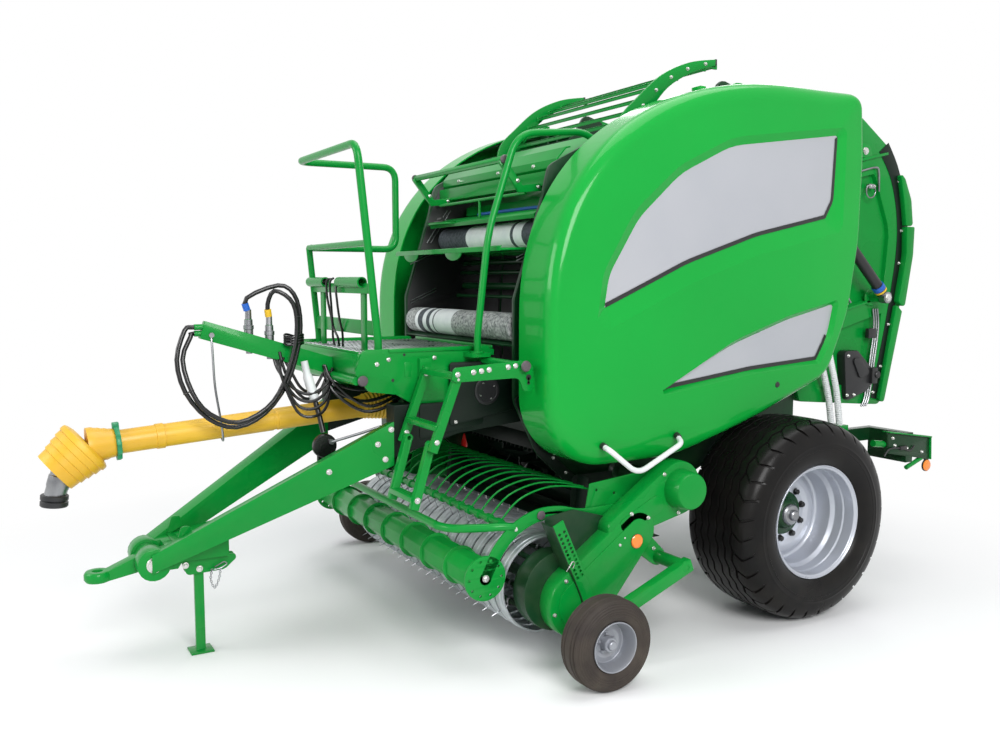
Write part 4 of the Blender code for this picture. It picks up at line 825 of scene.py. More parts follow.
def wheel_nut(radius, height, x, reach, material):
    """A nut on a wheel's disc, at a distance from the wheel's axis, facing +X."""
    nut = merged(copies(bolt_head(radius, height), 1, material=material))
    nut.transform(Matrix.Rotation(math.radians(90), 4, "Y"))
    return moved(nut, x, reach)


# CAD nodes that stay as they are, with eased edges.

SHARP = 38                   # degrees from which a node's edge is a real one
NODE_FINISHES = (  # finish, width of the eased edge, nodes
    ("green_paint", 0.003, ("axle", "drawbar_eye", "drawbar_left", "drawbar_right", "net_guard",
                            "net_tray_upper",
                            "platform", "hose_arm", "ladder_upper", "ladder_lower", "stand_bracket",
                            "stand_leg", "tailgate_side_left", "tailgate_side_right", "tailgate_cross_1",
                            "tailgate_cross_2", "tailgate_cross_3", "tailgate_cross_4", "pickup_side_left",
                            "pickup_side_right", "gauge_arm_left", "gauge_arm_right")),
    # painted shade: the chamber sides get this dark green because they lie in shade
    ("dark_green_paint", 0.002, ("net_tray_lower", "chamber_side_left", "chamber_side_right", "gearbox")),
    # painted shade: the front frame, feed floor and feed rotor are near-black green because they lie in shade
    ("shadow_green", 0.002, ("front_frame", "feed_floor", "feed_rotor")),
    ("belt_rubber", 0.0, ("front_belts", "tailgate_belts")),
    ("bare_steel", 0.0, ("starter_roller", "ram_rod_left", "ram_rod_right")),
    ("black_plastic", 0.0, ("ram_barrel_left", "ram_barrel_right")),
)


def shading_tree():
    """Merges a CAD node's loose triangles and shades it smooth but for its real edges."""
    tree = bpy.data.node_groups.new("shading", "GeometryNodeTree")
    tree.interface.new_socket("Geometry", in_out="INPUT", socket_type="NodeSocketGeometry")
    angle = tree.interface.new_socket("Angle", in_out="INPUT", socket_type="NodeSocketFloat")
    angle.default_value = math.radians(SHARP)
    tree.interface.new_socket("Geometry", in_out="OUTPUT", socket_type="NodeSocketGeometry")
    source, sink = tree.nodes.new("NodeGroupInput"), tree.nodes.new("NodeGroupOutput")
    merge = tree.nodes.new("GeometryNodeMergeByDistance")
    edge = tree.nodes.new("GeometryNodeInputMeshEdgeAngle")
    over = tree.nodes.new("FunctionNodeCompare")
    faces, edges = tree.nodes.new("GeometryNodeSetShadeSmooth"), tree.nodes.new("GeometryNodeSetShadeSmooth")
    merge.inputs["Distance"].default_value = 1e-5
    over.operation, edges.domain = "GREATER_THAN", "EDGE"
    edges.inputs["Shade Smooth"].default_value = False
    link = tree.links.new
    link(source.outputs["Geometry"], merge.inputs["Geometry"])
    link(merge.outputs[0], faces.inputs["Geometry"])
    link(edge.outputs["Unsigned Angle"], over.inputs["A"])
    link(source.outputs["Angle"], over.inputs["B"])
    link(faces.outputs[0], edges.inputs["Geometry"])
    link(over.outputs[0], edges.inputs["Selection"])
    link(edges.outputs[0], sink.inputs[0])
    return tree


def dress_nodes():
    tree = shading_tree()
    for label, edge, names in NODE_FINISHES:
        for name in names:
            node = frame["nodes"][name]
            node.data.materials.clear()
            node.data.materials.append(FINISHES[label])
            if edge:
                weld = node.modifiers.new("weld", "WELD")
                weld.merge_threshold = 1e-5
                bevel = node.modifiers.new("edges", "BEVEL")
                bevel.width, bevel.segments, bevel.limit_method = edge, 2, "ANGLE"
                bevel.angle_limit = math.radians(SHARP)
                bevel.use_clamp_overlap = True
            node.modifiers.new("shading", "NODES").node_group = tree


# Side shells.

SHELL_FRONT, SHELL_REAR, SHELL_TOP, SHELL_POWER = -1.53, 0.53, 2.81, 2.3
SHELL_MIDDLE = Vector((-0.45, 1.78))
SHELL_IN_X = 0.755           # where the rim ends, towards the chamber
SHELL_DEPTH = 0.085          # how far the rounding falls from the face to the rim
SHELL_CROWN = 0.028          # how far the face falls from its middle to the rounding
SHELL_SHOULDER = 1.60        # height at which the front turns into the round top
SHELL_TOP_Y = 0.05           # where the round front meets the top
SHELL_WALL, SHELL_PITCH = 0.008, 0.022
SHEET_PITCH = 0.02
PANEL_DEPTH = 0.026          # how deep the grey panels lie in their recesses
STRIP_WIDTH, STRIP_LIFT = 0.020, 0.003
LOCK = (-0.11, 1.245)
UPPER_PANEL = (  # Y, Z, corner radius
    (-1.225, 1.665, 0.004), (-1.20, 1.82, 0.25), (-1.03, 2.09, 0.4), (-0.78, 2.31, 0.5), (-0.45, 2.465, 0.5),
    (0.305, 2.57, 0.015), (0.285, 2.22, 0.1), (0.225, 2.125, 0.02), (-0.28, 2.02, 0.6), (-0.74, 1.875, 0.6))
UPPER_RECESS = (
    (-1.29, 1.53, 0.006), (-1.25, 1.83, 0.25), (-1.07, 2.125, 0.4), (-0.80, 2.350, 0.5), (-0.46, 2.505, 0.5),
    (0.355, 2.615, 0.03), (0.345, 2.06, 0.05), (-0.28, 1.925, 0.6), (-0.74, 1.775, 0.6))
LOWER_PANEL = (
    (-0.905, 1.255, 0.004), (-0.42, 1.47, 0.6), (-0.05, 1.585, 0.6), (0.320, 1.665, 0.015), (0.28, 1.49, 0.3),
    (0.200, 1.362, 0.02), (-0.30, 1.33, 0.6))
LOWER_RECESS = (
    (-0.955, 1.225, 0.006), (-0.43, 1.492, 0.6), (-0.05, 1.61, 0.6), (0.340, 1.690, 0.02), (0.300, 1.48, 0.3),
    (0.210, 1.342, 0.02), (-0.30, 1.308, 0.6))


def evenly(outline, pitch):
    """The same closed outline with points at an even pitch."""
    points = [Vector(p) for p in outline]
    out, carry = [], 0.0
    for a, b in zip(points, points[1:] + points[:1]):
        length = (b - a).length
        place = carry
        while place < length:
            out.append(a.lerp(b, place / length))
            place += pitch
        carry = place - length
    return out


def finely(outline, pitch):
    """The same closed outline, its corners kept and its long runs divided."""
    points = [Vector(p) for p in outline]
    out = []
    for a, b in zip(points, points[1:] + points[:1]):
        steps = max(1, round((b - a).length / pitch))
        out += [a.lerp(b, k / steps) for k in range(steps)]
    return out


def shell_outline():
    """The shell's outline in (Y, Z): a superellipse quarter at the front, then its rear and waist."""
    a, b = SHELL_TOP_Y - SHELL_FRONT, SHELL_TOP - SHELL_SHOULDER
    front = []
    for i in range(31):
        angle = math.radians(90 * i / 30)
        front.append((SHELL_TOP_Y - a * math.cos(angle) ** (2 / SHELL_POWER),
                      SHELL_SHOULDER + b * math.sin(angle) ** (2 / SHELL_POWER)))
    rest = rounded([(SHELL_TOP_Y, SHELL_TOP, 0), (0.505, SHELL_TOP, 0.09), (SHELL_REAR - 0.005, 2.45, 0.5),
                    (0.505, 2.00, 0.6), (0.43, 1.60, 0.5), (0.30, 1.27, 0.20), (-0.20, 1.08, 0.5),
                    (-0.75, 0.91, 0.8), (SHELL_FRONT, 0.90, 0.34), (SHELL_FRONT, SHELL_SHOULDER, 0)], 6)
    return evenly(front + rest, SHELL_PITCH)


def ramp(value, start, length):
    """0 before a start, 1 beyond a length from it. A negative length runs down."""
    return min(max((value - start) / length, 0.0), 1.0)


def shell_rounding(y, z):
    """How wide the rounding is from the rim to the face. It is wide over the top and low at the front."""
    up, back = ramp(z, 1.7, 0.9), ramp(y, 0.30, 0.15)
    low = ramp(z, 1.25, -0.3) * ramp(y, -0.45, -0.4)
    return (0.055 + 0.055 * up + 0.11 * low) * (1 - 0.55 * back)


class ShellFace:
    """The crowned face of a shell: its outline, its inner ring and its height at any place."""

    def __init__(self):
        self.outline = shell_outline()
        count = len(self.outline)
        self.normals = []
        for i in range(count):
            along = (self.outline[(i + 1) % count] - self.outline[i - 1]).normalized()
            self.normals.append(Vector((along.y, -along.x)))
        widths = [shell_rounding(p.x, p.y) for p in self.outline]
        for _ in range(8):
            widths = [(widths[i - 1] + widths[i] + widths[(i + 1) % count]) / 3 for i in range(count)]
        self.inner = [p + n * width for p, n, width in zip(self.outline, self.normals, widths)]
        for _ in range(3):
            self.inner = [(self.inner[i - 1] + self.inner[i] * 2 + self.inner[(i + 1) % count]) / 4
                          for i in range(count)]
        self.polar = sorted((math.atan2((p - SHELL_MIDDLE).y, (p - SHELL_MIDDLE).x),
                             (p - SHELL_MIDDLE).length) for p in self.inner)

    def reach(self, angle):
        """The inner ring's distance from the middle at an angle."""
        before = self.polar[-1][0] - 2 * math.pi, self.polar[-1][1]
        for after in (*self.polar, (self.polar[0][0] + 2 * math.pi, self.polar[0][1])):
            if after[0] >= angle:
                share = (angle - before[0]) / max(after[0] - before[0], 1e-9)
                return before[1] + (after[1] - before[1]) * share
            before = after
        return before[1]

    def height(self, y, z):
        """X of the face at (Y, Z)."""
        away = Vector((y, z)) - SHELL_MIDDLE
        t = away.length / self.reach(math.atan2(away.y, away.x)) if away.length > 1e-6 else 0.0
        return SHELL_X + 0.004 - SHELL_CROWN * min(t, 1.0) ** 3

    def rings(self):
        """Rings of (X, Y, Z) points from the rim inwards."""
        out = []
        edge = [self.height(p.x, p.y) for p in self.inner]
        for share in (0.0, 0.35, 0.7, 0.92):
            out.append([(SHELL_IN_X + (x - SHELL_DEPTH - SHELL_IN_X) * share, p.x, p.y)
                        for x, p in zip(edge, self.outline)])
        for s in (0.0, 0.015, 0.05, 0.11, 0.19, 0.29, 0.41, 0.55, 0.70, 0.85, 1.0):
            fall = 1 - (1 - (1 - s) ** 2.3) ** (1 / 2.3)
            out.append([(x - SHELL_DEPTH * fall, *a.lerp(b, s))
                        for x, a, b in zip(edge, self.outline, self.inner)])
        for t in (0.985, 0.96, 0.93, 0.90, 0.86, 0.82, 0.78, 0.74, 0.70, 0.65, 0.60, 0.55, 0.50, 0.44, 0.38,
                  0.31, 0.24, 0.16, 0.08):
            ring = []
            for p in self.inner:
                q = SHELL_MIDDLE + (p - SHELL_MIDDLE) * t
                ring.append((self.height(q.x, q.y), q.x, q.y))
            out.append(ring)
        return out

    def skin(self):
        """The open outer skin, faces outwards."""
        rings = self.rings()
        count = len(self.outline)
        verts = [v for ring in rings for v in ring]
        verts.append((self.height(*SHELL_MIDDLE), *SHELL_MIDDLE))
        faces = grid_faces(len(rings), count, closed=True)
        last = (len(rings) - 1) * count
        faces += [(last + k, len(verts) - 1, last + (k + 1) % count) for k in range(count)]
        return turned_out(mesh_of(verts, faces), (1, 0, 0))

    def sheet(self, outline, lift):
        """A triangulated piece of the face inside an outline, at a height over it."""
        points = finely(outline, SHEET_PITCH)
        border = len(points)
        edges = [(i, (i + 1) % border) for i in range(border)]
        y_all, z_all = [p.x for p in points], [p.y for p in points]
        y = min(y_all) + SHEET_PITCH
        while y < max(y_all):
            z = min(z_all) + SHEET_PITCH
            while z < max(z_all):
                points.append(Vector((y, z)))
                z += 2 * SHEET_PITCH
            y += 2 * SHEET_PITCH
        done = delaunay_2d_cdt(points, edges, [], 1, 1e-5)
        verts = [(self.height(p.x, p.y) + lift, p.x, p.y) for p in done[0]]
        faces = [tuple(f) for f in done[2]]
        return turned_out(mesh_of(verts, faces), (1, 0, 0))


def thickened(mesh, wall, inner_material=0):
    """A closed wall from an open skin, grown inwards."""
    obj = placed("thick", mesh)
    solid = obj.modifiers.new("wall", "SOLIDIFY")
    solid.thickness, solid.offset, solid.material_offset = wall, -1.0, inner_material
    return baked(obj)


def cut_away(mesh, cutters):
    """The mesh less closed cutters."""
    obj = placed("base", mesh)
    tools = []
    for cutter in cutters:
        cutter.materials.append(mesh.materials[0])
        tool = placed("cutter", cutter)
        modifier = obj.modifiers.new("cut", "BOOLEAN")
        modifier.operation, modifier.object, modifier.solver = "DIFFERENCE", tool, "MANIFOLD"
        tools.append(tool)
    return baked(obj, *tools)


def nearest_index(points, place):
    return min(range(len(points)), key=lambda i: (points[i] - Vector(place)).length)


def edge_strip(face, outline, first, last):
    """A narrow strip along part of a panel's outline, from near one place to near another."""
    points = finely(outline, SHEET_PITCH)
    a, b = nearest_index(points, first), nearest_index(points, last)
    run = points[b:a + 1] if b <= a else points[b:] + points[:a + 1]
    verts = []
    for i, point in enumerate(run):
        along = (run[min(i + 1, len(run) - 1)] - run[max(i - 1, 0)]).normalized()
        inwards = Vector((along.y, -along.x))
        for p in (point, point + inwards * STRIP_WIDTH):
            verts.append((face.height(p.x, p.y) + STRIP_LIFT - PANEL_DEPTH, p.x, p.y))
    return turned_out(mesh_of(verts, grid_faces(len(run), 2)), (1, 0, 0))


def make_shells():
    face = ShellFace()
    upper, lower = rounded(UPPER_PANEL, 6), rounded(LOWER_PANEL, 6)
    recesses = rounded(UPPER_RECESS, 6), rounded(LOWER_RECESS, 6)
    skin = face.skin()
    for label in ("shell_green", "black_liner"):
        skin.materials.append(FINISHES[label])
    cutters = [plate(outline, SHELL_X - 0.11, SHELL_X + 0.1, 0.0) for outline in recesses]
    cutters.append(block((0.4, SHELL_REAR - 0.12, 0.0), (0.93, 3.0, 4.0), 0.0))    # opens the rear of the rim
    wall = cut_away(thickened(skin, SHELL_WALL, 1), cutters)
    lips = [recess_wall(face, outer, inner, PANEL_DEPTH) for outer, inner in zip(recesses, (upper, lower))]
    lips += [block((0.72, y - 0.02, 2.75), (0.79, y + 0.02, 2.80), 0.004) for y in (-0.44, -0.27)]    # hinges
    grey = [face.sheet(outline, -PANEL_DEPTH) for outline in (upper, lower)]
    strips = [edge_strip(face, upper, UPPER_PANEL[0][:2], UPPER_PANEL[5][:2]),
              edge_strip(face, lower, LOWER_PANEL[0][:2], LOWER_PANEL[4][:2])]
    x = face.height(*LOCK)
    lock = turned([(x - 0.002, 0), (x + 0.004, 0.0), (x + 0.004, 0.014), (x - 0.002, 0.017)], LOCK, 20,
                  closed=False)
    both_sides("side_shell_{}", ("side_shell_{}_skin", [wall], ["shell_green", "black_liner"],
                                 ("side_shell_{}",), 40, "green_paint"),
               ("side_shell_{}_lips", lips, "shell_green"), ("side_shell_{}_panels", grey, "grey_panel"),
               ("side_shell_{}_lines", strips, "black_trim"),
               ("side_shell_{}_lock", [lock], "black_plastic"))


def inside(outline, place):
    """Whether a place is inside a closed outline."""
    hits = 0
    for a, b in zip(outline, outline[1:] + outline[:1]):
        if (a.y > place.y) != (b.y > place.y) and place.x < a.x + (b.x - a.x) * (place.y - a.y) / (b.y - a.y):
            hits += 1
    return hits % 2 == 1


def recess_wall(face, outer, inner, depth):
    """The sloping wall of a recess, from its outline on the face down to the panel."""
    rim, foot = finely(outer, SHEET_PITCH), finely(inner, SHEET_PITCH)
    first = len(rim)
    edges = [(i, (i + 1) % first) for i in range(first)]
    edges += [(first + i, first + (i + 1) % len(foot)) for i in range(len(foot))]
    points, _, faces, *_ = delaunay_2d_cdt([Vector(p) for p in rim + foot], edges, [], 1, 1e-5)
    verts = []
    for p in points:
        sunk = min((p - q).length for q in foot) < 1e-3
        verts.append((face.height(p.x, p.y) - (depth if sunk else 0.0), p.x, p.y))
    kept = [tuple(f) for f in faces if not inside(foot, sum((points[k] for k in f), Vector((0, 0))) / len(f))]
    return turned_out(mesh_of(verts, kept), (1, 0, 0))


# Wheels.

TYRE_SECTION = (  # X from the tyre's middle, radius
    (0.0, 0.533), (0.06, 0.533), (0.11, 0.5315), (0.155, 0.527), (0.188, 0.518), (0.213, 0.502),
    (0.230, 0.478), (0.2405, 0.448), (0.2465, 0.415), (0.248, 0.385), (0.2445, 0.352),
    (0.236, 0.325), (0.224, 0.307), (0.213, 0.298))
TREAD_PITCHES = 32
TREAD_GROOVES = (0.030, 0.082, 0.132)      # along the section, each to both sides
TREAD_WIDTH, TREAD_DEPTH = 0.0085, 0.011
TREAD_EDGE, ZIGZAG = 0.15, 0.0075          # where the ring grooves end, and how far they swing
SHOULDER_END = 0.262                       # where the cross grooves fade out on the sidewall
BEAD_LIFT = 0.0018                         # the moulded ring on the sidewall


class TyreSection:
    """A tyre's section, walked by the distance from the middle of the tread."""

    def __init__(self, rows):
        curve = [Vector(p) for p in bow([(x, r, 0) for x, r in rows], 6)]
        self.points = [Vector((p.x, p.y)) for p in curve]
        self.reach = [0.0]
        for a, b in zip(self.points, self.points[1:]):
            self.reach.append(self.reach[-1] + (b - a).length)

    def at(self, s):
        """The point and the outward normal at a distance."""
        s = min(max(s, 0.0), self.reach[-1])
        i = next((k for k in range(1, len(self.reach)) if self.reach[k] >= s), len(self.reach) - 1)
        a, b = self.points[i - 1], self.points[i]
        share = (s - self.reach[i - 1]) / max(self.reach[i] - self.reach[i - 1], 1e-9)
        along = (b - a).normalized()
        return a.lerp(b, share), Vector((-along.y, along.x))


def tread_rows(end):
    """Places along half of the section, with how deep the ring grooves are at each."""
    rows = []
    half = TREAD_WIDTH / 2
    for groove in TREAD_GROOVES:
        rows += [(groove - half - 0.0022, 0.0), (groove - half, 1.0), (groove + half, 1.0),
                 (groove + half + 0.0022, 0.0)]
    s = TREAD_GROOVES[-1] + 0.018
    while s < SHOULDER_END:
        rows.append((s, 0.0))
        s += 0.012
    rows += [(SHOULDER_END + 0.004, 0.0), (SHOULDER_END + 0.008, 0.0)]
    s = SHOULDER_END + 0.018
    while s < end:
        rows.append((s, 0.0))
        s += 0.008
    return [*rows, (end, 0.0)]


TREAD_COLUMNS = (  # share of the pitch, how deep the cross groove is there
    (0.0, 1.0), (0.055, 1.0), (0.078, 0.0), (0.20, 0.0), (0.33, 0.0), (0.46, 0.0), (0.50, 0.0),
    (0.54, 0.0), (0.67, 0.0), (0.80, 0.0), (0.922, 0.0), (0.945, 1.0))


def tread_segment(section):
    """One pitch of the whole tyre, about the origin.

    It has zigzag ring grooves, and cross grooves over the shoulder.
    """
    half = tread_rows(section.reach[-1])
    rows = [(-s, depth) for s, depth in half[::-1]] + half
    columns = [*TREAD_COLUMNS, (1.0, 1.0)]
    verts = []
    for s, ring in rows:
        away = abs(s)
        zigzag = ZIGZAG if away < TREAD_EDGE else ZIGZAG * max(0.0, 1 - (away - TREAD_EDGE) / 0.03)
        lean = ramp(away, TREAD_GROOVES[-1], 0.055) * 0.42 - ramp(away, 0.187, 0.08) * 0.30
        fade = ramp(away, SHOULDER_END, -0.035) if away > 0.130 else 0.0
        bead = BEAD_LIFT if away > SHOULDER_END + 0.02 and abs(away - SHOULDER_END - 0.050) < 0.0065 else 0.0
        for share, cross in columns:
            wave = 4 * abs(share - 0.5) - 1
            point, normal = section.at(away + zigzag * wave * (1 if s > 0 else -1))
            depth = max(ring if away < TREAD_EDGE else 0.0, cross * fade) * TREAD_DEPTH - bead
            point = point - normal * depth
            angle = 2 * math.pi * (share + lean) / TREAD_PITCHES
            x = point.x if s > 0 else -point.x
            verts.append((x, point.y * math.cos(angle), point.y * math.sin(angle)))
    return mesh_of(verts, grid_faces(len(rows), len(columns)))


def main_tyre():
    """The grown tyre with its closed inside, for the left."""
    section = TyreSection(TYRE_SECTION)
    centre = (0, TYRE_R)
    outer = merged(ring_of(tread_segment(section), TREAD_PITCHES, centre, "tyre_rubber"), 1e-4)
    x, r = TYRE_SECTION[-1]
    half = [(x, r), (x - 0.004, 0.2885), (x - 0.030, 0.2885), (x - 0.03, 0.32)]
    hollow = turned(half + [(-x, r) for x, r in half[::-1]], centre, 96, closed=False)
    moulding = [turned([(0.2465, 0.398), (0.2492, 0.396), (0.2492, 0.391), (0.2470, 0.389)], centre, 96),
                turned([(0.2235, 0.3115), (0.2275, 0.3125), (0.2285, 0.3155), (0.2270, 0.3175)], centre, 96)]
    return [moved(mesh, TYRE_X) for mesh in (outer, hollow, *moulding)]


def main_rim():
    """The deep rim, from its bright lip to the disc, for the left. X is from the tyre's middle."""
    centre = (0, TYRE_R)
    section = rounded([(-0.222, 0.301, 0.004), (-0.206, 0.2875, 0.006), (-0.10, 0.2865, 0.01),
                       (-0.075, 0.262, 0.01), (0.06, 0.262, 0.01), (0.085, 0.2865, 0.01),
                       (0.206, 0.2875, 0.006), (0.212, 0.301, 0.004), (0.222, 0.302, 0.004),
                       (0.224, 0.297, 0.003), (0.217, 0.292, 0.004), (0.212, 0.281, 0.006),
                       (0.150, 0.2805, 0.008), (0.142, 0.2745, 0.006), (0.092, 0.2740, 0.010),
                       (0.072, 0.2555, 0.010), (-0.022, 0.2535, 0.014), (-0.028, 0.236, 0.010),
                       (-0.014, 0.212, 0.014), (-0.016, 0.180, 0.02), (-0.029, 0.155, 0.02),
                       (-0.029, 0.0745, 0.002), (-0.0395, 0.0745, 0.002), (-0.0395, 0.158, 0.02),
                       (-0.027, 0.182, 0.02), (-0.026, 0.206, 0.014), (-0.0395, 0.232, 0.01),
                       (-0.0395, 0.2535, 0.003), (-0.07, 0.2535, 0.01), (-0.095, 0.278, 0.01),
                       (-0.206, 0.279, 0.004), (-0.214, 0.292, 0.003)], 20)
    rim = turned(section, centre, 112)
    nuts = ring_of(wheel_nut(0.0155, 0.016, -0.029, 0.142, "black_trim"), 10, centre, "black_trim", 12)
    flange = turned(rounded([(-0.050, 0.040, 0.002), (-0.050, 0.119, 0.002), (-0.0180, 0.1195, 0.006),
                             (-0.0165, 0.085, 0.01), (0.012, 0.076, 0.012), (0.024, 0.062, 0.008),
                             (0.024, 0.040, 0.002)], 20), centre, 64)
    cap = turned([(0.015, 0.0), (0.015, 0.058), (0.036, 0.056), (0.044, 0.049), (0.046, 0.030),
                  (0.064, 0.028), (0.070, 0.022), (0.071, 0.0)], centre, 48, closed=False)
    stem_foot = Vector((0.055, -0.255 * math.sin(math.radians(58)), -0.255 * math.cos(math.radians(58))))
    stem = [Vector((0, 0, TYRE_R)) + stem_foot * share + Vector((out, 0, 0))
            for share, out in ((1.0, 0.0), (0.93, 0.012), (0.90, 0.030))]
    valve = sweep(bow(stem, 4), 0.0045, 10)
    for mesh in (rim, nuts, valve, flange, cap):
        moved(mesh, TYRE_X)
    return [("wheel_silver", [rim]), ("black_trim", [nuts, valve]), ("dark_green_paint", [flange]),
            ("bare_steel", [cap])]


def gauge_wheel():
    """The small ribbed wheel, for the left. X is from its middle."""
    half = []
    rows = bow([(0.0, 0.208, 0), (0.035, 0.2075, 0), (0.058, 0.200, 0), (0.071, 0.184, 0),
                (0.0775, 0.162, 0), (0.0765, 0.140, 0), (0.070, 0.120, 0), (0.0635, 0.113, 0)], 6)
    for i, p in enumerate(rows):
        out = (0.0022 if i % 3 == 1 else 0.0) if 3 < i < 30 else 0.0
        half.append((p.x, p.y - out) if p.y > 0.195 else (p.x - out, p.y))
    grooves = [(x, r - (0.006 if abs(x - 0.020) < 0.0035 or abs(x - 0.042) < 0.0035 else 0.0))
               for x, r in half]
    outline = [*grooves, (0.0605, 0.1085), (0.045, 0.1085), (-0.045, 0.1085), (-0.0605, 0.1085),
               *((-x, r) for x, r in grooves[:0:-1])]
    tyre = turned(outline, (GAUGE_Y, GAUGE_R), 72)
    rim = turned(rounded([(-0.073, 0.1125, 0.002), (-0.062, 0.1080, 0.003), (-0.02, 0.098, 0.004),
                          (0.02, 0.098, 0.004), (0.062, 0.1080, 0.003), (0.067, 0.1135, 0.002),
                          (0.0735, 0.1135, 0.002), (0.0745, 0.1085, 0.002), (0.060, 0.1035, 0.004),
                          (0.022, 0.0925, 0.005), (-0.002, 0.0905, 0.004), (0.004, 0.066, 0.008),
                          (-0.003, 0.050, 0.006), (-0.003, 0.020, 0.001), (-0.010, 0.020, 0.001),
                          (-0.010, 0.052, 0.006), (-0.004, 0.068, 0.008), (-0.010, 0.0925, 0.003),
                          (-0.060, 0.1025, 0.003)], 24), (GAUGE_Y, GAUGE_R), 64)
    hub = turned([(-0.05, 0.017), (-0.05, 0.034), (0.036, 0.034), (0.040, 0.031), (0.040, 0.022),
                  (0.052, 0.020), (0.055, 0.016), (0.055, 0.0), (-0.01, 0.0), (-0.01, 0.017)],
                 (GAUGE_Y, GAUGE_R), 32, closed=False)
    nut = wheel_nut(0.008, 0.008, -0.003, 0.042, "zinc_bolt")
    nuts = ring_of(nut, 5, (GAUGE_Y, GAUGE_R), "zinc_bolt", 20)
    valve = sweep([(0.01, GAUGE_Y - 0.062, GAUGE_R + 0.062), (0.035, GAUGE_Y - 0.058, GAUGE_R + 0.058)],
                  0.004, 8)
    return [[moved(mesh, GAUGE_X) for mesh in group] for group in ([tyre], [rim, hub, nuts], [valve])]


def make_wheels():
    tyre, ((silver, rim), *others) = main_tyre(), main_rim()
    small_tyre, small_rim, small_valve = gauge_wheel()
    for label, side in SIDES:
        body = f"wheel_{label}"
        piece(f"{body}_tread", sided(side, tyre), "tyre_rubber", body, (f"tyre_{label}",), 24, "tyre_rubber")
        piece(f"{body}_{silver}", sided(side, rim), silver, body, (f"rim_{label}",), 30, silver)
        for finish_name, meshes in others:
            piece(f"{body}_{finish_name}", sided(side, meshes), finish_name, body, (), 30)
        body = f"gauge_wheel_{label}"
        piece(f"{body}_tread", sided(side, small_tyre), "gauge_rubber", body, (f"gauge_tyre_{label}",), 40,
              "tyre_rubber")
        piece(f"{body}_disc", sided(side, small_rim), "gauge_silver", body, (f"gauge_rim_{label}",), 30,
              silver)
        piece(f"{body}_valve", sided(side, small_valve), "black_trim", body)


# Net rolls.

NET_BANDS = (  # roll, from X, to X, radius, finish
    ("upper", -0.612, -0.253, 0.0715, "net_dark"), ("upper", -0.253, 0.255, 0.0725, "net_white"),
    ("upper", 0.255, 0.285, 0.0728, "net_dark"), ("upper", 0.285, 0.375, 0.0725, "net_white"),
    ("upper", 0.375, 0.475, 0.0728, "net_dark"), ("upper", 0.475, 0.570, 0.0725, "net_white"),
    ("upper", 0.570, 0.612, 0.0720, "net_dark"),
    ("lower", -0.612, -0.483, 0.0722, "net_mottled"), ("lower", -0.483, -0.444, 0.0727, "net_white"),
    ("lower", -0.444, -0.379, 0.0727, "net_dark"), ("lower", -0.379, -0.330, 0.0727, "net_white"),
    ("lower", -0.330, -0.287, 0.0727, "net_dark"), ("lower", -0.287, -0.245, 0.0727, "net_white"),
    ("lower", -0.245, -0.232, 0.0727, "net_dark"), ("lower", -0.232, -0.012, 0.0727, "net_white"),
    ("lower", -0.012, 0.612, 0.0722, "net_mottled"))


def make_net():
    centres = {}
    for name in ("upper", "lower"):
        low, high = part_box(f"net_roll_{name}")
        middle = (low + high) / 2
        centres[name] = (middle.y - AXLE_Y, middle.z)
    parts = {}
    for name, start, end, radius, label in NET_BANDS:
        profile = [(start, 0.0), (start, 0.045)]
        count = max(2, round((end - start) / 0.011))
        for k in range(count + 1):
            x = start + (end - start) * k / count
            dip = 0.0012 if k in (0, count) else 0.0004 * math.sin(k * 1.9)
            profile.append((x, radius - dip))
        profile += [(end, 0.045), (end, 0.0)]
        parts.setdefault((name, label), []).append(turned(profile, centres[name], 48, closed=False))
    for name in ("upper", "lower"):
        labels = [label for roll, label in parts if roll == name]
        for label in labels:
            first = label == labels[0]
            piece(f"net_{name}_{label}", parts[name, label], label, "chassis",
                  (f"net_roll_{name}",) if first else (), 30, "net_wrap" if first else None)
        core = turned([(0.600, 0.0), (0.600, 0.038), (0.6145, 0.038), (0.6145, 0.030), (0.612, 0.0)],
                      centres[name], 32, closed=False)
        piece(f"net_{name}_core", both(core), "core_blue", "chassis")


# Drive shaft.

PTO_BACK, PTO_FRONT = Vector((0, -1.90, 1.145)), Vector((0, -3.34, 1.04))
PTO_BELL, PTO_MOUTH = Vector((0, -3.40, 1.03)), Vector((0, -3.52, 0.93))


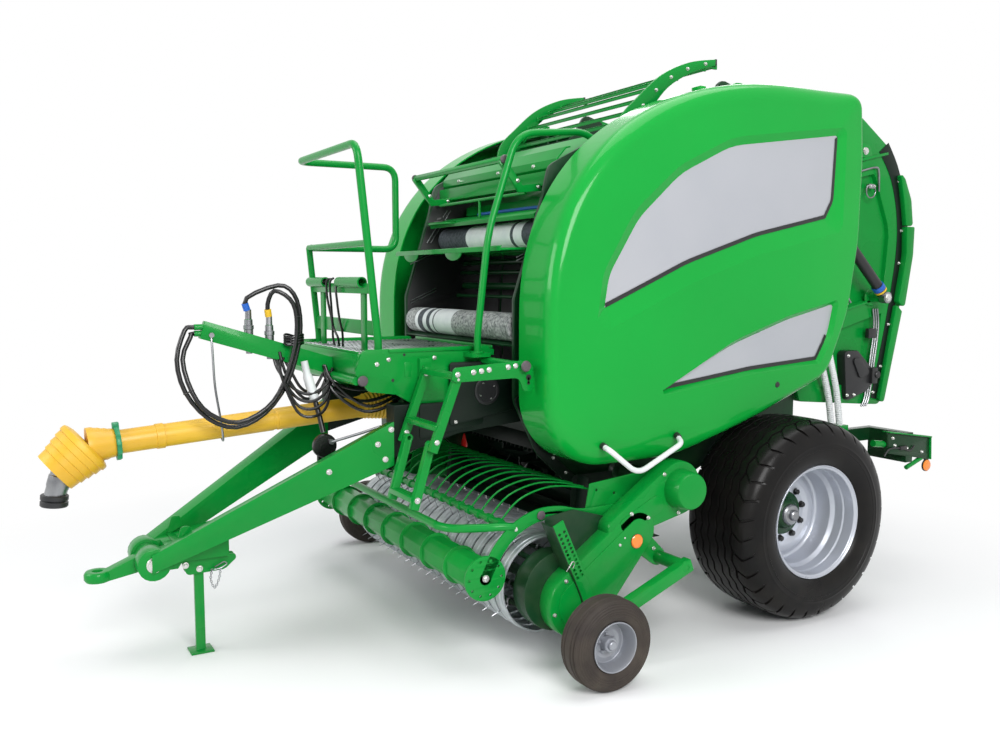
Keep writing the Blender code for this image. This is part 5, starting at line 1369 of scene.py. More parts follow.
def make_pto():
    line = (PTO_FRONT - PTO_BACK).normalized()
    down = (PTO_MOUTH - PTO_BELL).normalized()
    length = (PTO_FRONT - PTO_BACK).length
    tube = [(0.0, 0.0), (0.0, 0.084)]
    for k in range(7):
        tube += [(0.012 + 0.020 * k, 0.084 - 0.0030 * k), (0.020 + 0.020 * k, 0.078 - 0.0030 * k)]
    tube += [(0.155, 0.058), (0.17, 0.055), (0.60, 0.055), (0.602, 0.052), (0.62, 0.052), (0.622, 0.055),
             (length - 0.30, 0.055), (length - 0.298, 0.060), (length - 0.262, 0.060),
             (length - 0.26, 0.056), (length - 0.09, 0.056)]
    for k in range(4):
        tube += [(length - 0.085 + 0.028 * k, 0.062 + 0.006 * k),
                 (length - 0.068 + 0.028 * k, 0.068 + 0.006 * k)]
    tube += [(length + 0.04, 0.086), (length + 0.04, 0.0)]
    guard = spun(tube, PTO_BACK + Vector((0, -0.001, 0)), PTO_FRONT, 40)
    reach = (PTO_MOUTH - PTO_BELL).length + 0.03
    bell = [(0.0, 0.0), (0.0, 0.092), (0.006, 0.118), (0.012, 0.131)]
    for k in range(4):
        bell += [(0.020 + 0.034 * k, 0.134 - 0.007 * k), (0.036 + 0.034 * k, 0.134 - 0.007 * k),
                 (0.040 + 0.034 * k, 0.127 - 0.007 * k), (0.050 + 0.034 * k, 0.127 - 0.007 * k)]
    bell += [(reach, 0.103), (reach, 0.092), (reach - 0.03, 0.088), (reach - 0.06, 0.06), (reach - 0.06, 0.0)]
    hood = spun(bell, PTO_BELL - down * 0.03, PTO_MOUTH, 48)
    end = PTO_MOUTH + Vector((0, -0.005, -0.11))
    yoke = spun([(0.0, 0.0), (0.0, 0.046), (0.05, 0.046), (0.055, 0.05), (0.10, 0.05), (0.11, 0.047),
                 (0.16, 0.047), (0.16, 0.0)], PTO_MOUTH - down * 0.05, end, 32)
    ring_low, ring_high = PTO_MOUTH + Vector((0, -0.005, -0.10)), PTO_MOUTH + Vector((0, -0.01, -0.155))
    collar = spun([(0.0, 0.0), (0.0, 0.056), (0.004, 0.060), (0.022, 0.060), (0.026, 0.054), (0.032, 0.060),
                   (0.050, 0.060), (0.055, 0.055), (0.055, 0.030), (0.040, 0.028), (0.040, 0.0)], ring_low,
                  ring_high, 36)
    clip = []
    for k in range(36):
        angle = math.radians(10 * k)
        radius = 0.078 + 0.007 * (k % 3 == 0)
        clip.append((radius * math.cos(angle), radius * math.sin(angle)))
    hole_ring = circle((0, 0), 0.0585, 36)
    star = lay(plate(clip, 0.0, 0.022, 0.003, [hole_ring]), PTO_FRONT - line * 0.10, PTO_FRONT)
    tab = lay(block((-0.004, -0.014, 0.060), (0.026, 0.014, 0.094), 0.004), PTO_FRONT - line * 0.10,
              PTO_FRONT)
    piece("pto_guard", [guard, hood], "yellow_plastic", "chassis", ("pto_shaft",), 30, "yellow_plastic")
    piece("pto_clip", [star, tab], "clip_green", "chassis")
    piece("pto_yoke", [yoke], "bare_steel", "chassis")
    piece("pto_collar", [collar], "black_plastic", "chassis")


# Pick-up.

BANDS, BAND_PITCH, BAND_WIDTH, BAND_R, BAND_WALL = 20, 0.0925, 0.0745, 0.235, 0.002
PICKUP_HALF = 1.02
GATHER_BACK = -1.178
LOBE = (-1.42, 0.30), (-1.09, 0.60)        # middles of the side cover's two round ends
GAUGE_ARM = (-0.90, 0.43)                  # where the gauge wheel's arm leaves the pick-up
REFLECTOR = (-1.10, 0.555)
STRIP_HOLE_ROWS = (-0.014, 0.014)


def band_shape():
    """One curved strip with folded edges and a pressed ridge, about X = 0."""
    path = [(GATHER_BACK + 0.004, 0.495), (GATHER_BACK - 0.05, 0.520), *arc(REEL, BAND_R, 58, 262, 28),
            (GATHER_BACK + 0.004, 0.165)]
    half = BAND_WIDTH / 2
    across = ((-half, -0.009), (-half, -0.0015), (-half + 0.0022, 0.0), (-0.012, 0.0), (-0.008, 0.0028),
              (0.008, 0.0028), (0.012, 0.0), (half - 0.0022, 0.0), (half, -0.0015), (half, -0.009))
    verts = []
    for i, (y, z) in enumerate(path):
        before, after = Vector(path[max(i - 1, 0)]), Vector(path[min(i + 1, len(path) - 1)])
        along = (after - before).normalized()
        out = Vector((-along.y, along.x))
        if out.dot(Vector((y, z)) - Vector(REEL)) < 0:
            out = -out
        for x, lift in across:
            p = Vector((y, z)) + out * lift
            verts.append((x, p.x, p.y))
    skin = turned_out(mesh_of(verts, grid_faces(len(path), len(across))), (0, -1, 0))
    return thickened(skin, BAND_WALL)


def make_pickup():
    first = -BAND_PITCH * (BANDS - 1) / 2
    bands = copies(band_shape(), BANDS, (first, 0, 0), (BAND_PITCH, 0, 0), material="galvanised")
    back = block((-PICKUP_HALF + 0.001, GATHER_BACK, 0.16),
                 (PICKUP_HALF - 0.001, GATHER_BACK + 0.016, 0.50), 0.003)
    lip = block((-PICKUP_HALF + 0.001, GATHER_BACK - 0.002, 0.488),
                (PICKUP_HALF - 0.001, GATHER_BACK + 0.04, 0.502), 0.004)
    rivets = bolts([(first + BAND_PITCH * k, GATHER_BACK + 0.010, 0.503) for k in range(BANDS)], (0, 0, 1),
                   0.006)
    low_bolts = bolts([(first + BAND_PITCH * k, GATHER_BACK, 0.20) for k in range(BANDS)], (0, -1, 0), 0.006)
    piece("pickup_bands_pressed", [bands, back, lip], "galvanised", "pickup", ("pickup_bands",), 30,
          "bare_steel")
    piece("pickup_band_bolts", [rivets, low_bolts], "zinc_bolt", "pickup")
    make_pickup_ends()


def make_pickup_ends():
    """The covers, housings, quadrant and reflectors on the ends of the pick-up."""
    half = PICKUP_HALF
    low, high = LOBE
    cover_side = plate(hull(low, 0.165, high, 0.105, 24), half, half + 0.11, 0.014)
    cover_side_rib = plate(hull(low, 0.118, high, 0.062, 24), half + 0.106, half + 0.116, 0.004)
    cover = plate(hull((-1.20, 0.62), 0.06, tuple(ROTOR), 0.135, 24), half + 0.001, half + 0.105, 0.014)
    cover_rib = plate(hull((-1.16, 0.64), 0.034, (-0.98, 0.715), 0.045, 16), half + 0.101, half + 0.110,
                      0.003)
    cap = turned([(half + 0.09, 0.0), (half + 0.09, 0.098), (half + 0.100, 0.100), (half + 0.150, 0.094),
                  (half + 0.190, 0.091), (half + 0.199, 0.085), (half + 0.200, 0.076),
                  (half + 0.2005, 0.0)], ROTOR, 56, closed=False)
    drum = turned([(half - 0.075, 0.029), (half - 0.075, 0.184), (half - 0.071, 0.19), (half - 0.002, 0.19),
                   (half + 0.018, 0.188), (half + 0.02, 0.184), (half + 0.02, 0.029)], REEL, 56)
    arm_plate = plate(hull((-1.05, 0.56), 0.06, GAUGE_ARM, 0.045, 16), half + 0.002, half + 0.03, 0.004)
    knuckle = turned([(half + 0.01, 0.0), (half + 0.01, 0.0325), (1.262, 0.0325), (1.266, 0.029),
                      (1.266, 0.0)], GAUGE_ARM, 32, closed=False)
    strip_path = bow([(0, -1.555, 0.70), (0, -1.505, 0.59), (0, -1.452, 0.475), (0, -1.400, 0.36),
                      (0, -1.362, 0.255)], 6)
    strip_path = [(p.y, p.z) for p in strip_path]
    holes = []
    for k in range(3, 15):
        (y, z), (y_next, z_next) = strip_path[k], strip_path[k + 1]
        across = Vector((z_next - z, y - y_next)).normalized()
        for shift in STRIP_HOLE_ROWS:
            holes.append(circle((y + across.x * shift, z + across.y * shift), 0.0075, 12))
    quadrant = plate(ribbon(strip_path, 0.030), half + 0.118, half + 0.126, 0.001, holes)
    rim = [(y - 0.028, z - 0.012) for y, z in strip_path]
    quadrant_edge = plate(ribbon(rim, 0.003), half + 0.030, half + 0.126, 0.001)
    backing = pressed([(-1.565, 0.705, 0.02), (-1.40, 0.725, 0.02), (-1.18, 0.66, 0.02),
                       (-1.25, 0.35, 0.02), (-1.46, 0.40, 0.02)], half + 0.012, half + 0.020, 0.002)
    strap = block((half + 0.10, -1.42, 0.40), (half + 0.114, -1.38, 0.46), 0.003)
    bead = turned([(1.262, 0.012), (1.262, 0.026), (1.270, 0.026), (1.272, 0.022), (1.272, 0.012)],
                  GAUGE_ARM, 24)
    covers = [cover_side, cover_side_rib, cover, cover_rib, cap, arm_plate, knuckle, quadrant, bead, strap]
    screws = side_bolts(half + 0.110, ((-1.50, 0.42), (-1.56, 0.27), (-1.46, 0.165), (-1.33, 0.20),
                                       (-1.20, 0.55), (-1.03, 0.66), (-1.13, 0.69)), 0.008)
    more = side_bolts(half + 0.105, ((-0.84, 0.66), (-0.93, 0.86), (-0.72, 0.83), (-0.74, 0.70),
                                     (-1.17, 0.58)), 0.008)
    cap_bolts = side_bolts(half + 0.0305, ((-0.93, 0.475), (-0.885, 0.405)), 0.008)
    clip = sweep(bent([(half + 0.122, -1.505, 0.47), (half + 0.135, -1.50, 0.49), (half + 0.135, -1.48, 0.52),
                       (half + 0.125, -1.46, 0.505), (half + 0.122, -1.475, 0.475)], 0.012), 0.0028, 8)
    lens = spun([(0.0, 0.0), (0.0, 0.0335), (0.004, 0.0335), (0.0055, 0.031), (0.0075, 0.029),
                 (0.0085, 0.022), (0.009, 0.0)], (half + 0.1155, *REFLECTOR), (half + 0.3, *REFLECTOR), 40)
    lens_back = spun([(0.0, 0.0), (0.0, 0.036), (0.0035, 0.036), (0.0035, 0.0)], (half + 0.114, *REFLECTOR),
                     (half + 0.3, *REFLECTOR), 40)
    both_sides("pickup", ("pickup_{}_covers", covers, "green_paint", ("pickup_side_{}",), 30,
                          "green_paint"), ("pickup_{}_drum", [drum, backing, quadrant_edge],
                                           "dark_green_paint"),
               ("pickup_{}_screws", [screws, more, cap_bolts, clip], "zinc_bolt"),
               ("pickup_{}_reflector", [lens], "amber_lens"),
               ("pickup_{}_reflector_seat", [lens_back], "black_trim"))


def tine_shape(angle):
    """A tine of one bar with its coil, about X = 0 in the machine's place."""
    turn = math.radians(angle)
    out, across = Vector((0, math.cos(turn), math.sin(turn))), Vector((0, -math.sin(turn), math.cos(turn)))
    middle = Vector((0, *REEL))
    points = []
    for k in range(25):
        a = 2 * math.pi * 3 * k / 24
        shift = Vector((-0.012 + 0.0165 * k / 24, 0, 0))
        points.append(middle + out * (0.165 + 0.020 * math.cos(a)) + across * 0.020 * math.sin(a) + shift)
    points += [middle + out * 0.20 + across * 0.004 + Vector((0.004, 0, 0)),
               middle + out * 0.24 + Vector((0.002, 0, 0)), middle + out * 0.2825 - across * 0.006]
    return sweep(points, [0.003] * 25 + [0.003, 0.003, 0.0024], 5)


def make_reel():
    first = -BAND_PITCH * (BANDS - 2) / 2
    reach = PICKUP_HALF - 0.075 - 0.006
    bars, tines = [], []
    for k in range(4):
        angle = 360 * (k + 0.35) / 4
        y, z = arc(REEL, 0.165, angle, angle, 1)[0]
        bars.append(sweep([(-reach, y, z), (reach, y, z)], 0.013, 20))
        tines.append(copies(tine_shape(angle), BANDS - 1, (first, 0, 0), (BAND_PITCH, 0, 0),
                            material="bare_steel"))
    shaft = turned([(-1.0, 0.0), (-1.0, 0.0275), (1.0, 0.0275), (1.0, 0.0)], REEL, 32, closed=False)
    discs = [plate(circle(REEL, 0.185, 48), x - 0.004, x + 0.004, 0.001)
             for x in (-reach + 0.004, 0.0, reach - 0.004)]
    piece("reel_bars", [*bars, shaft, *discs], "dark_green_paint", "reel", ("pickup_reel",), 30, "bare_steel")
    piece("reel_tines", tines, "bare_steel", "reel")


# Wind guard.

GUARD_ROLL, GUARD_HOOP, GUARD_COMB = (-1.855, 0.455), (-1.985, 0.665), (-1.72, 0.67)
FINGERS, FINGER_PITCH = 19, 0.10


def make_wind_guard():
    low, high = PICKUP_HALF - 0.020, PICKUP_HALF - 0.008
    centre = GUARD_ROLL
    flats = arc(centre, 0.082, 22.5, 22.5 + 315, 7)
    roller = plate(rounded([(y, z, 0.012) for y, z in flats], 15), -low, low, 0.001)
    discs = [plate(circle(centre, 0.092, 48), x - 0.003, x + 0.003, 0.001)
             for x in (-0.76, -0.5, -0.25, 0.0, 0.25, 0.5, 0.76)]
    path = bow([(0, y, z) for y, z in ((GUARD_PIVOT[0] + 0.012, GUARD_PIVOT[1] - 0.004), (-1.33, 0.685),
                                       (-1.46, 0.712), (-1.58, 0.71), (-1.70, 0.66), (-1.79, 0.57),
                                       centre)], 4)
    arm = ribbon([(p.y, p.z) for p in path], 0.030)
    slot = ribbon([(p.y, p.z) for p in path[5:12]], 0.006)
    end_holes = [circle(arc(centre, 0.083, a, a, 1)[0], 0.006, 14) for a in range(0, 360, 36)]
    comb_y, comb_z = GUARD_COMB
    comb = sweep([(-low - 0.004, comb_y, comb_z), (low + 0.004, comb_y, comb_z)], 0.016, 24)
    hoop_y, hoop_z = GUARD_HOOP
    hoop = wire([(-low - 0.004, -1.70, 0.67), (-0.99, -1.76, hoop_z + 0.012),
                 (-0.955, -1.83, hoop_z + 0.008), (-0.88, -1.94, hoop_z + 0.002), (-0.80, -1.980, hoop_z),
                 (-0.72, hoop_y, hoop_z), (-0.3, hoop_y, hoop_z), (0.3, hoop_y, hoop_z),
                 (0.72, hoop_y, hoop_z), (0.80, -1.980, hoop_z), (0.88, -1.94, hoop_z + 0.002),
                 (0.955, -1.83, hoop_z + 0.008), (0.99, -1.76, hoop_z + 0.012), (low + 0.004, -1.70, 0.67)],
                0.0195, 20)
    finger = wire([(0, comb_y, comb_z), (0, -1.62, 0.765), (0, -1.47, 0.81), (0, -1.32, 0.80),
                   (0, -1.18, 0.765)], 0.0048, 8)
    collar = sweep([(-0.016, comb_y, comb_z), (0.016, comb_y, comb_z)], 0.0225, 20)
    first = -FINGER_PITCH * (FINGERS - 1) / 2
    rows = [copies(shape, FINGERS, (first, 0, 0), (FINGER_PITCH, 0, 0)) for shape in (finger, collar)]
    ends = [plate(arm, low, high, 0.002, [slot]),
            plate(circle(centre, 0.104, 56), low - 0.001, high, 0.002, end_holes),
            turned([(low - 0.03, 0.012), (low - 0.03, 0.03), (high, 0.03), (high, 0.012)], centre, 32),
            turned([(low - 0.022, 0.011), (low - 0.022, 0.026), (high, 0.026), (high, 0.011)], GUARD_PIVOT,
                   28)]
    heads = [side_bolts(high, [GUARD_PIVOT], 0.012), side_bolts(high, [centre], 0.014),
             side_bolts(high, ((-1.40, 0.700), (-1.70, 0.663)), 0.009)]
    knob = spun([(0.0, 0.0), (0.0, 0.012), (0.004, 0.020), (0.010, 0.022), (0.015, 0.018), (0.017, 0.0)],
                (high - 0.002, -1.565, 0.712), (high + 1, -1.565, 0.712))
    piece("wind_guard_frame", [roller, *discs, comb, hoop, *rows, *both(*ends)], "green_paint", "wind_guard",
          ("wind_guard",), 30, "green_paint")
    piece("wind_guard_screws", both(*heads), "zinc_bolt", "wind_guard")
    piece("wind_guard_knobs", both(knob), "knob_brown", "wind_guard")


# Hoses.

HOSE_ARM_TIP = (0.125, -2.88, 1.565)
HOSE_COUPLERS = ((-2.66, 1.52), (-2.56, 1.49))
HOSE_COUPLER_UP, HOSE_R, SEAT = 0.09, 0.011, 0.0003


def hose_route(index):
    """The points of a hose from its gland to its coupling, as in the part's source."""
    x, y_tip, z_tip = HOSE_ARM_TIP
    y_end, z_end = HOSE_COUPLERS[index]
    shift = 0.026 * index
    near = 0.17 + shift
    y, z = y_tip - 0.035, z_tip + 0.012 - 0.03 * index
    out, top = y - SEAT, z_end + HOSE_COUPLER_UP + SEAT
    route = [(x, out - 0.015, z), (x + 0.004, -2.958 + shift, z - 0.015), (0.145, -3.00 + shift, 1.43),
             (near - 0.01, -2.97 + shift, 1.28), (near, -2.87, 1.15 + shift), (near, -2.74, 1.10 + shift),
             (near, -2.60, 1.16 + shift), (near, -2.49 - shift, 1.30), (near, -2.43 - shift, 1.48),
             (near, -2.42 - shift, 1.62), (near, -2.45 - shift, 1.73 - shift),
             (near - 0.02, -2.52 - shift, 1.77 - shift), (0.135, y_end - 0.008, top + 0.10),
             (x, y_end, top + 0.03)]
    return [Vector((x, out, z)), *bow(route, 3), Vector((x, y_end, top))]


def make_hoses():
    for index in range(len(HOSE_COUPLERS)):
        points = hose_route(index)
        data = bpy.data.curves.new(f"hose_{index + 1}_line", "CURVE")
        data.dimensions, data.bevel_depth, data.bevel_resolution, data.use_fill_caps = "3D", HOSE_R, 4, True
        spline = data.splines.new("POLY")
        spline.points.add(len(points) - 1)
        for target, point in zip(spline.points, points):
            target.co = (point.x, point.y + AXLE_Y, point.z, 1.0)
        data.materials.append(FINISHES["hose_rubber"])
        hose = placed(f"hose_{index + 1}_line", data)
        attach(hose, "chassis")
        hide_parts(f"hose_{index + 1}")


# Net area and top guard.

GUARD_CHEEK = (  # Y, Z along the middle of the curved cheek, half width
    (-0.82, 2.50, 0.055), (-0.80, 2.60, 0.058), (-0.71, 2.70, 0.052), (-0.57, 2.835, 0.038),
    (-0.395, 2.925, 0.028), (-0.215, 2.972, 0.016))


def banana(rows, steps=6):
    """The outline of a curved bar whose half width changes along it."""
    points = bow([(y, z, half) for y, z, half in rows], steps)
    left, right = [], []
    for i, point in enumerate(points):
        along = (points[min(i + 1, len(points) - 1)] - points[max(i - 1, 0)]).xy.normalized()
        left.append((point.x - along.y * point.z, point.y + along.x * point.z))
        right.append((point.x + along.y * point.z, point.y - along.x * point.z))
    return left + right[::-1]


def folded(profile, half, wall=0.003):
    """A sheet across the machine, bent along a (Y, Z) profile."""
    return plate(ribbon(profile, wall), -half, half, 0.001)


def make_top_guard():
    inner = CHAMBER_HALF
    cheek = plate(banana(GUARD_CHEEK), inner - 0.016, inner, 0.003)
    slats, ends = [], []
    path = bow([(y, z, 0) for y, z, _ in GUARD_CHEEK[1:]], 8)
    for k in range(8):
        p = path[4 + 4 * k]
        slats.append(block((-inner + 0.014, p.x - 0.004, p.y - 0.016),
                           (inner - 0.014, p.x + 0.012, p.y - 0.008), 0.002))
        slats.append(block((-inner + 0.014, p.x - 0.004, p.y - 0.030),
                           (inner - 0.014, p.x - 0.001, p.y - 0.010), 0.001))
        for x in (-inner + 0.014, inner - 0.024):
            ends.append(block((x, p.x - 0.014, p.y - 0.034), (x + 0.010, p.x + 0.020, p.y - 0.004), 0.002))
    places = path[3::5]
    heads = bolts([(inner, p.x, p.y) for p in places], (1, 0, 0), 0.008)
    tip = block((inner - 0.018, -0.222, 2.955), (inner + 0.001, -0.209, 2.989), 0.003)
    piece("top_guard_cheeks", both(cheek), "green_paint", "chassis", ("top_guard",), 30, "green_paint")
    piece("top_guard_slats", slats + ends, "green_paint", "chassis")
    piece("top_guard_bolts", both(heads), "zinc_bolt", "chassis")
    piece("top_guard_tips", both(tip), "black_trim", "chassis")


def lug(y, z, x, length, drop, thick):
    """A rounded lug that hangs from a front edge, across the machine."""
    outline = [(x - length / 2, z)] + [(x + length / 2 * math.cos(math.radians(a)),
                                        z + drop * math.sin(math.radians(a)))
                                       for a in range(180, 361, 12)] + [(x + length / 2, z)]
    return plate(outline, y - thick, y, 0.001, across="y")


def make_net_gear():
    half = CHAMBER_HALF - 0.001
    hood = [folded([(-0.90, 2.555), (-0.915, 2.545), (-1.02, 2.475), (-1.13, 2.40), (-1.15, 2.375),
                    (-1.152, 2.335)], half, 0.004),
            folded([(-1.16, 2.46), (-1.185, 2.455), (-1.24, 2.395), (-1.242, 2.36), (-1.225, 2.345)], half,
                   0.004), folded([(-0.985, 2.30), (-1.08, 2.235), (-1.084, 2.19), (-1.06, 2.18)], half,
                                  0.004)]
    tongue = [(-0.43 + 0.17 * math.cos(math.radians(a)), -1.335 - 0.075 * math.sin(math.radians(a)))
              for a in range(0, 181, 12)]
    cover = [folded([(-1.345, 2.105), (-1.352, 2.122), (-1.335, 2.135), (-1.24, 2.158), (-1.10, 2.165),
                     (-1.085, 2.155)], 0.60, 0.003),
             plate([(-0.60, -1.345), (-0.26, -1.345), *tongue], 2.118, 2.132, 0.005, across="z")]
    rear = [sweep([(-half, y, z), (half, y, z)], r, 14) for y, z, r in
            ((-1.10, 1.90, 0.016), (-1.12, 1.84, 0.012), (-1.10, 1.76, 0.020), (-1.15, 1.70, 0.010))]
    cross = [folded([(-1.05, 2.02), (-1.10, 2.00), (-1.10, 1.955), (-1.06, 1.94)], half, 0.004)]
    trays = [*(lug(-1.556, 1.948, x, 0.20, 0.050, 0.006) for x in (-0.42, 0.12)),
             folded([(-1.563, 1.938), (-1.561, 1.960), (-1.556, 1.962)], half, 0.002)]
    rack = [sweep([(-0.49, -1.335, 2.235), (0.49, -1.335, 2.235)], 0.008, 12),
            sweep([(0.0, -1.335, 2.235), (0.0, -1.335, 2.14)], 0.008, 12)]
    tube_cap = turned([(0.520, 0.0), (0.520, 0.020), (0.530, 0.022), (0.536, 0.018), (0.537, 0.0)],
                      (-1.48, 2.39), 24, closed=False)
    piece("net_hood", hood + cross, "green_paint", "chassis")
    piece("net_cover", cover + trays + rack, "green_paint", "chassis")
    piece("net_rear_tubes", rear, "dark_green_paint", "chassis")
    piece("net_guard_caps", both(tube_cap), "knob_brown", "chassis")
    piece("net_rod", [sweep([(-0.30, -1.18, 2.178), (0.60, -1.18, 2.178)], 0.009, 14)], "core_blue",
          "chassis")
    latch = [block((-0.50, -1.372, 2.133), (-0.40, -1.352, 2.143), 0.003),
             sweep([(-0.47, -1.362, 2.150), (-0.41, -1.362, 2.154)], 0.008, 12)]
    piece("net_latch", latch, "black_trim", "chassis")
    heads = [bolts([(x, -1.1555, 2.355) for x in (-0.52, -0.30, 0.0, 0.30, 0.52)], (0, -1, 0), 0.008),
             bolts([(x, -1.2445, 2.378) for x in (-0.42, 0.05, 0.42)], (0, -1, 0), 0.008),
             side_bolts(0.521, [(-1.40, 2.29), (-1.28, 2.265)], 0.008),
             side_bolts(-0.499, [(-1.40, 2.29), (-1.28, 2.265)], 0.008)]
    piece("net_bolts", heads, "zinc_bolt", "chassis")


LINER = ((-1.49, 1.69), (-1.49, 1.22), (-1.36, 0.97), (-1.12, 0.96), (-1.12, 1.02), (-1.02, 1.24),
         (-1.00, 1.60), (-0.99, 1.98), (-0.86, 2.36), (-0.86, 2.54), (-1.27, 2.35), (-1.33, 2.20))
LINER_RIB = 0.018            # half width of its ribs


def make_liners():
    """The dark moulded panels on the inside of the chamber's front, with their ribs and thin rods."""
    half = CHAMBER_HALF
    panel = [plate(LINER, half - 0.0025, half - 0.0004, 0.0005)]
    for a, b in (((-1.45, 1.64), (-1.10, 1.72)), ((-1.45, 1.38), (-1.08, 1.48)),
                 ((-1.40, 1.12), (-1.12, 1.20)), ((-1.30, 2.24), (-0.92, 2.46))):
        panel.append(plate(ribbon((a, b), LINER_RIB), half - 0.0045, half - 0.002, 0.001))
    x = half - 0.006
    wires = [sweep([(x, -1.47, z), (x, -1.30, z + 0.075)], 0.003, 8) for z in (1.890, 1.906, 1.655, 1.671)]
    wires += [sweep([(x, y, 2.02), (x, y + 0.14, 2.22)], 0.003, 8) for y in (-1.36, -1.335)]
    piece("chamber_liners", both(*panel), "black_liner", "chassis")
    piece("chamber_liner_rods", both(*wires), "bare_steel", "chassis")


# Platform, rail and ladder.

def make_platform_gear():
    deck = FRONT_DECK
    near, hook = 0.505, 0.910    # X of the left cheek's face and of the hook plate's
    places = (-0.38, -0.30, -0.22, -0.14, -0.06, 0.02, 0.10, 0.18, 0.26, 0.34)
    strips = [block((x - 0.008, -2.225, deck), (x + 0.008, -1.545, deck + 0.004), 0.0015) for x in places]
    teeth = [copies(block((x - 0.0035, -0.006, 0.0), (x + 0.0035, 0.006, 0.003), 0.001, 1), 27,
                    (0, -2.21, deck + 0.004), (0, 0.025, 0), material="bare_steel") for x in places]
    piece("platform_strips", strips + teeth, "bare_steel", "chassis")
    rims = [block((-0.44, -2.248, deck), (0.48, -2.240, deck + 0.010), 0.003),
            block((-0.44, -1.53, deck), (0.48, -1.522, deck + 0.018), 0.003)]
    step_lip = [block((near, -2.10, 1.452), (0.512, -1.62, 1.470), 0.002)]
    slot = [block((0.498, -2.02, 1.33), (0.5075, -1.985, 1.405), 0.003)]
    tube = [sweep([(-0.42, -2.262, 1.325), (0.50, -2.262, 1.325)], 0.020, 20)]
    piece("platform_rims", rims + step_lip + slot + tube, "green_paint", "chassis")
    heads = [side_bolts(near, ((-2.16, 1.40), (-2.10, 1.42), (-1.86, 1.42), (-1.64, 1.30), (-1.62, 1.42),
                               (-1.78, 1.24)), 0.009),
             side_bolts(hook, ((-1.94, 1.375), (-1.86, 1.382), (-1.82, 1.386), (-1.78, 1.390),
                               (-1.68, 1.398), (-1.64, 1.402)), 0.0105)]
    piece("platform_bolts", heads, "zinc_bolt", "chassis")
    knob = [(0.0, 0.0), (0.0, 0.012), (0.004, 0.022), (0.012, 0.026), (0.019, 0.022), (0.022, 0.0)]
    knobs = [spun(knob, (0.503, -2.235, 1.325), (1.0, -2.235, 1.325)),
             spun(knob, (0.926, -1.60, 1.40), (1.5, -1.60, 1.40))]
    piece("platform_knobs", knobs, "knob_brown", "chassis")
    holes = [spun([(0.0, 0.0), (0.0, r), (0.0012, r), (0.0012, 0.0)], (x, y, z), (x + 1, y, z), 20)
             for x, y, z, r in ((hook - 0.0002, -1.570, 1.345, 0.014),
                                (hook - 0.0002, -1.570, 1.318, 0.008), (near - 0.0002, -2.02, 1.44, 0.007),
                                (near - 0.0002, -1.70, 1.34, 0.016), (near - 0.0002, -1.66, 1.36, 0.008),
                                (near - 0.0002, -2.08, 1.32, 0.008))]
    holes.append(block((hook - 0.0002, -1.575, 1.318), (hook + 0.001, -1.565, 1.345), 0.0))
    piece("platform_holes", holes, "black_trim", "chassis")


def make_drive_cover():
    """The housing under the platform, near-black green as painted shade, with its disc."""
    drive = 0.5335               # X of its outer face
    cover = [(-1.79, 1.078), (-1.37, 1.152), (-1.335, 1.20), (-1.345, 1.34), (-1.40, 1.385), (-1.54, 1.395),
             (-1.79, 1.395)]
    housing = [pressed([(y, z, 0.015) for y, z in cover], 0.5215, drive, 0.003),
               pressed([(-1.95, 1.02, 0.02), (-1.60, 1.08, 0.02), (-1.60, 1.20, 0.02), (-1.95, 1.20, 0.02)],
                       0.5205, 0.5255, 0.002)]
    piece("drive_cover", housing, "shadow_green", "chassis")
    centre = (-1.585, 1.245)
    disc = turned([(0.5332, 0.0), (0.5332, 0.070), (0.5390, 0.070), (0.5405, 0.066), (0.5405, 0.056),
                   (0.5390, 0.054), (0.5390, 0.0)], centre, 48, closed=False)
    piece("drive_cover_disc", [disc], "black_plastic", "chassis")
    screws = side_bolts(drive, ((-1.40, 1.20), (-1.39, 1.33), (-1.76, 1.10), (-1.76, 1.36), (-1.44, 1.37)),
                        0.007)
    nuts = side_bolts(drive, [(centre[0] + 0.045 * math.cos(a), centre[1] + 0.045 * math.sin(a))
                              for a in (0.5, 2.07, 3.64, 5.21)], 0.005)
    piece("drive_cover_screws", [screws, nuts], "zinc_bolt", "chassis")


RAIL_POSTS = (-0.41, 0.45)   # X of the front rail's two posts


def make_rail_gear():
    holders = [turned([(x0, 0.019), (x0, 0.026), (x1, 0.026), (x1, 0.019)], (-2.172, 1.785), 28)
               for x0, x1 in ((-0.41, -0.16), (0.04, 0.36))]
    pads = [block((x - 0.03, -2.156, FRONT_DECK), (x + 0.03, -2.096, FRONT_DECK + 0.006), 0.002)
            for x in RAIL_POSTS]
    stops = [sweep([(x, -2.178, 1.785), (x, -2.166, 1.785)], 0.012, 12) for x in (-0.28, 0.20)]
    piece("rail_holders", holders + pads + stops, "green_paint", "chassis")
    lines = [[(-0.05, -2.175, 1.80), (-0.06, -2.20, 1.79), (-0.07, -2.195, 1.70), (-0.06, -2.175, 1.58),
              (-0.08, -2.165, 1.50), (-0.07, -2.16, 1.456)],
             [(-0.03, -2.175, 1.805), (-0.015, -2.20, 1.78), (-0.03, -2.19, 1.68), (-0.06, -2.17, 1.56),
              (-0.02, -2.16, 1.50), (-0.03, -2.15, 1.456)],
             [(0.03, -2.150, 1.782), (0.035, -2.185, 1.765), (0.045, -2.185, 1.69), (0.035, -2.17, 1.60),
              (0.02, -2.15, 1.53), (0.00, -2.14, 1.456)]]
    piece("rail_lines", [wire(line, 0.006, 8) for line in lines], "hose_rubber", "chassis")


def tread_ribs(places, low, high):
    """Three raised ribs on each tread, from one X to another."""
    return [block((low, y - 0.018 + 0.014 * k, z + 0.0118), (high, y - 0.012 + 0.014 * k, z + 0.0145),
                  0.001, 1) for y, z in places for k in range(3)]


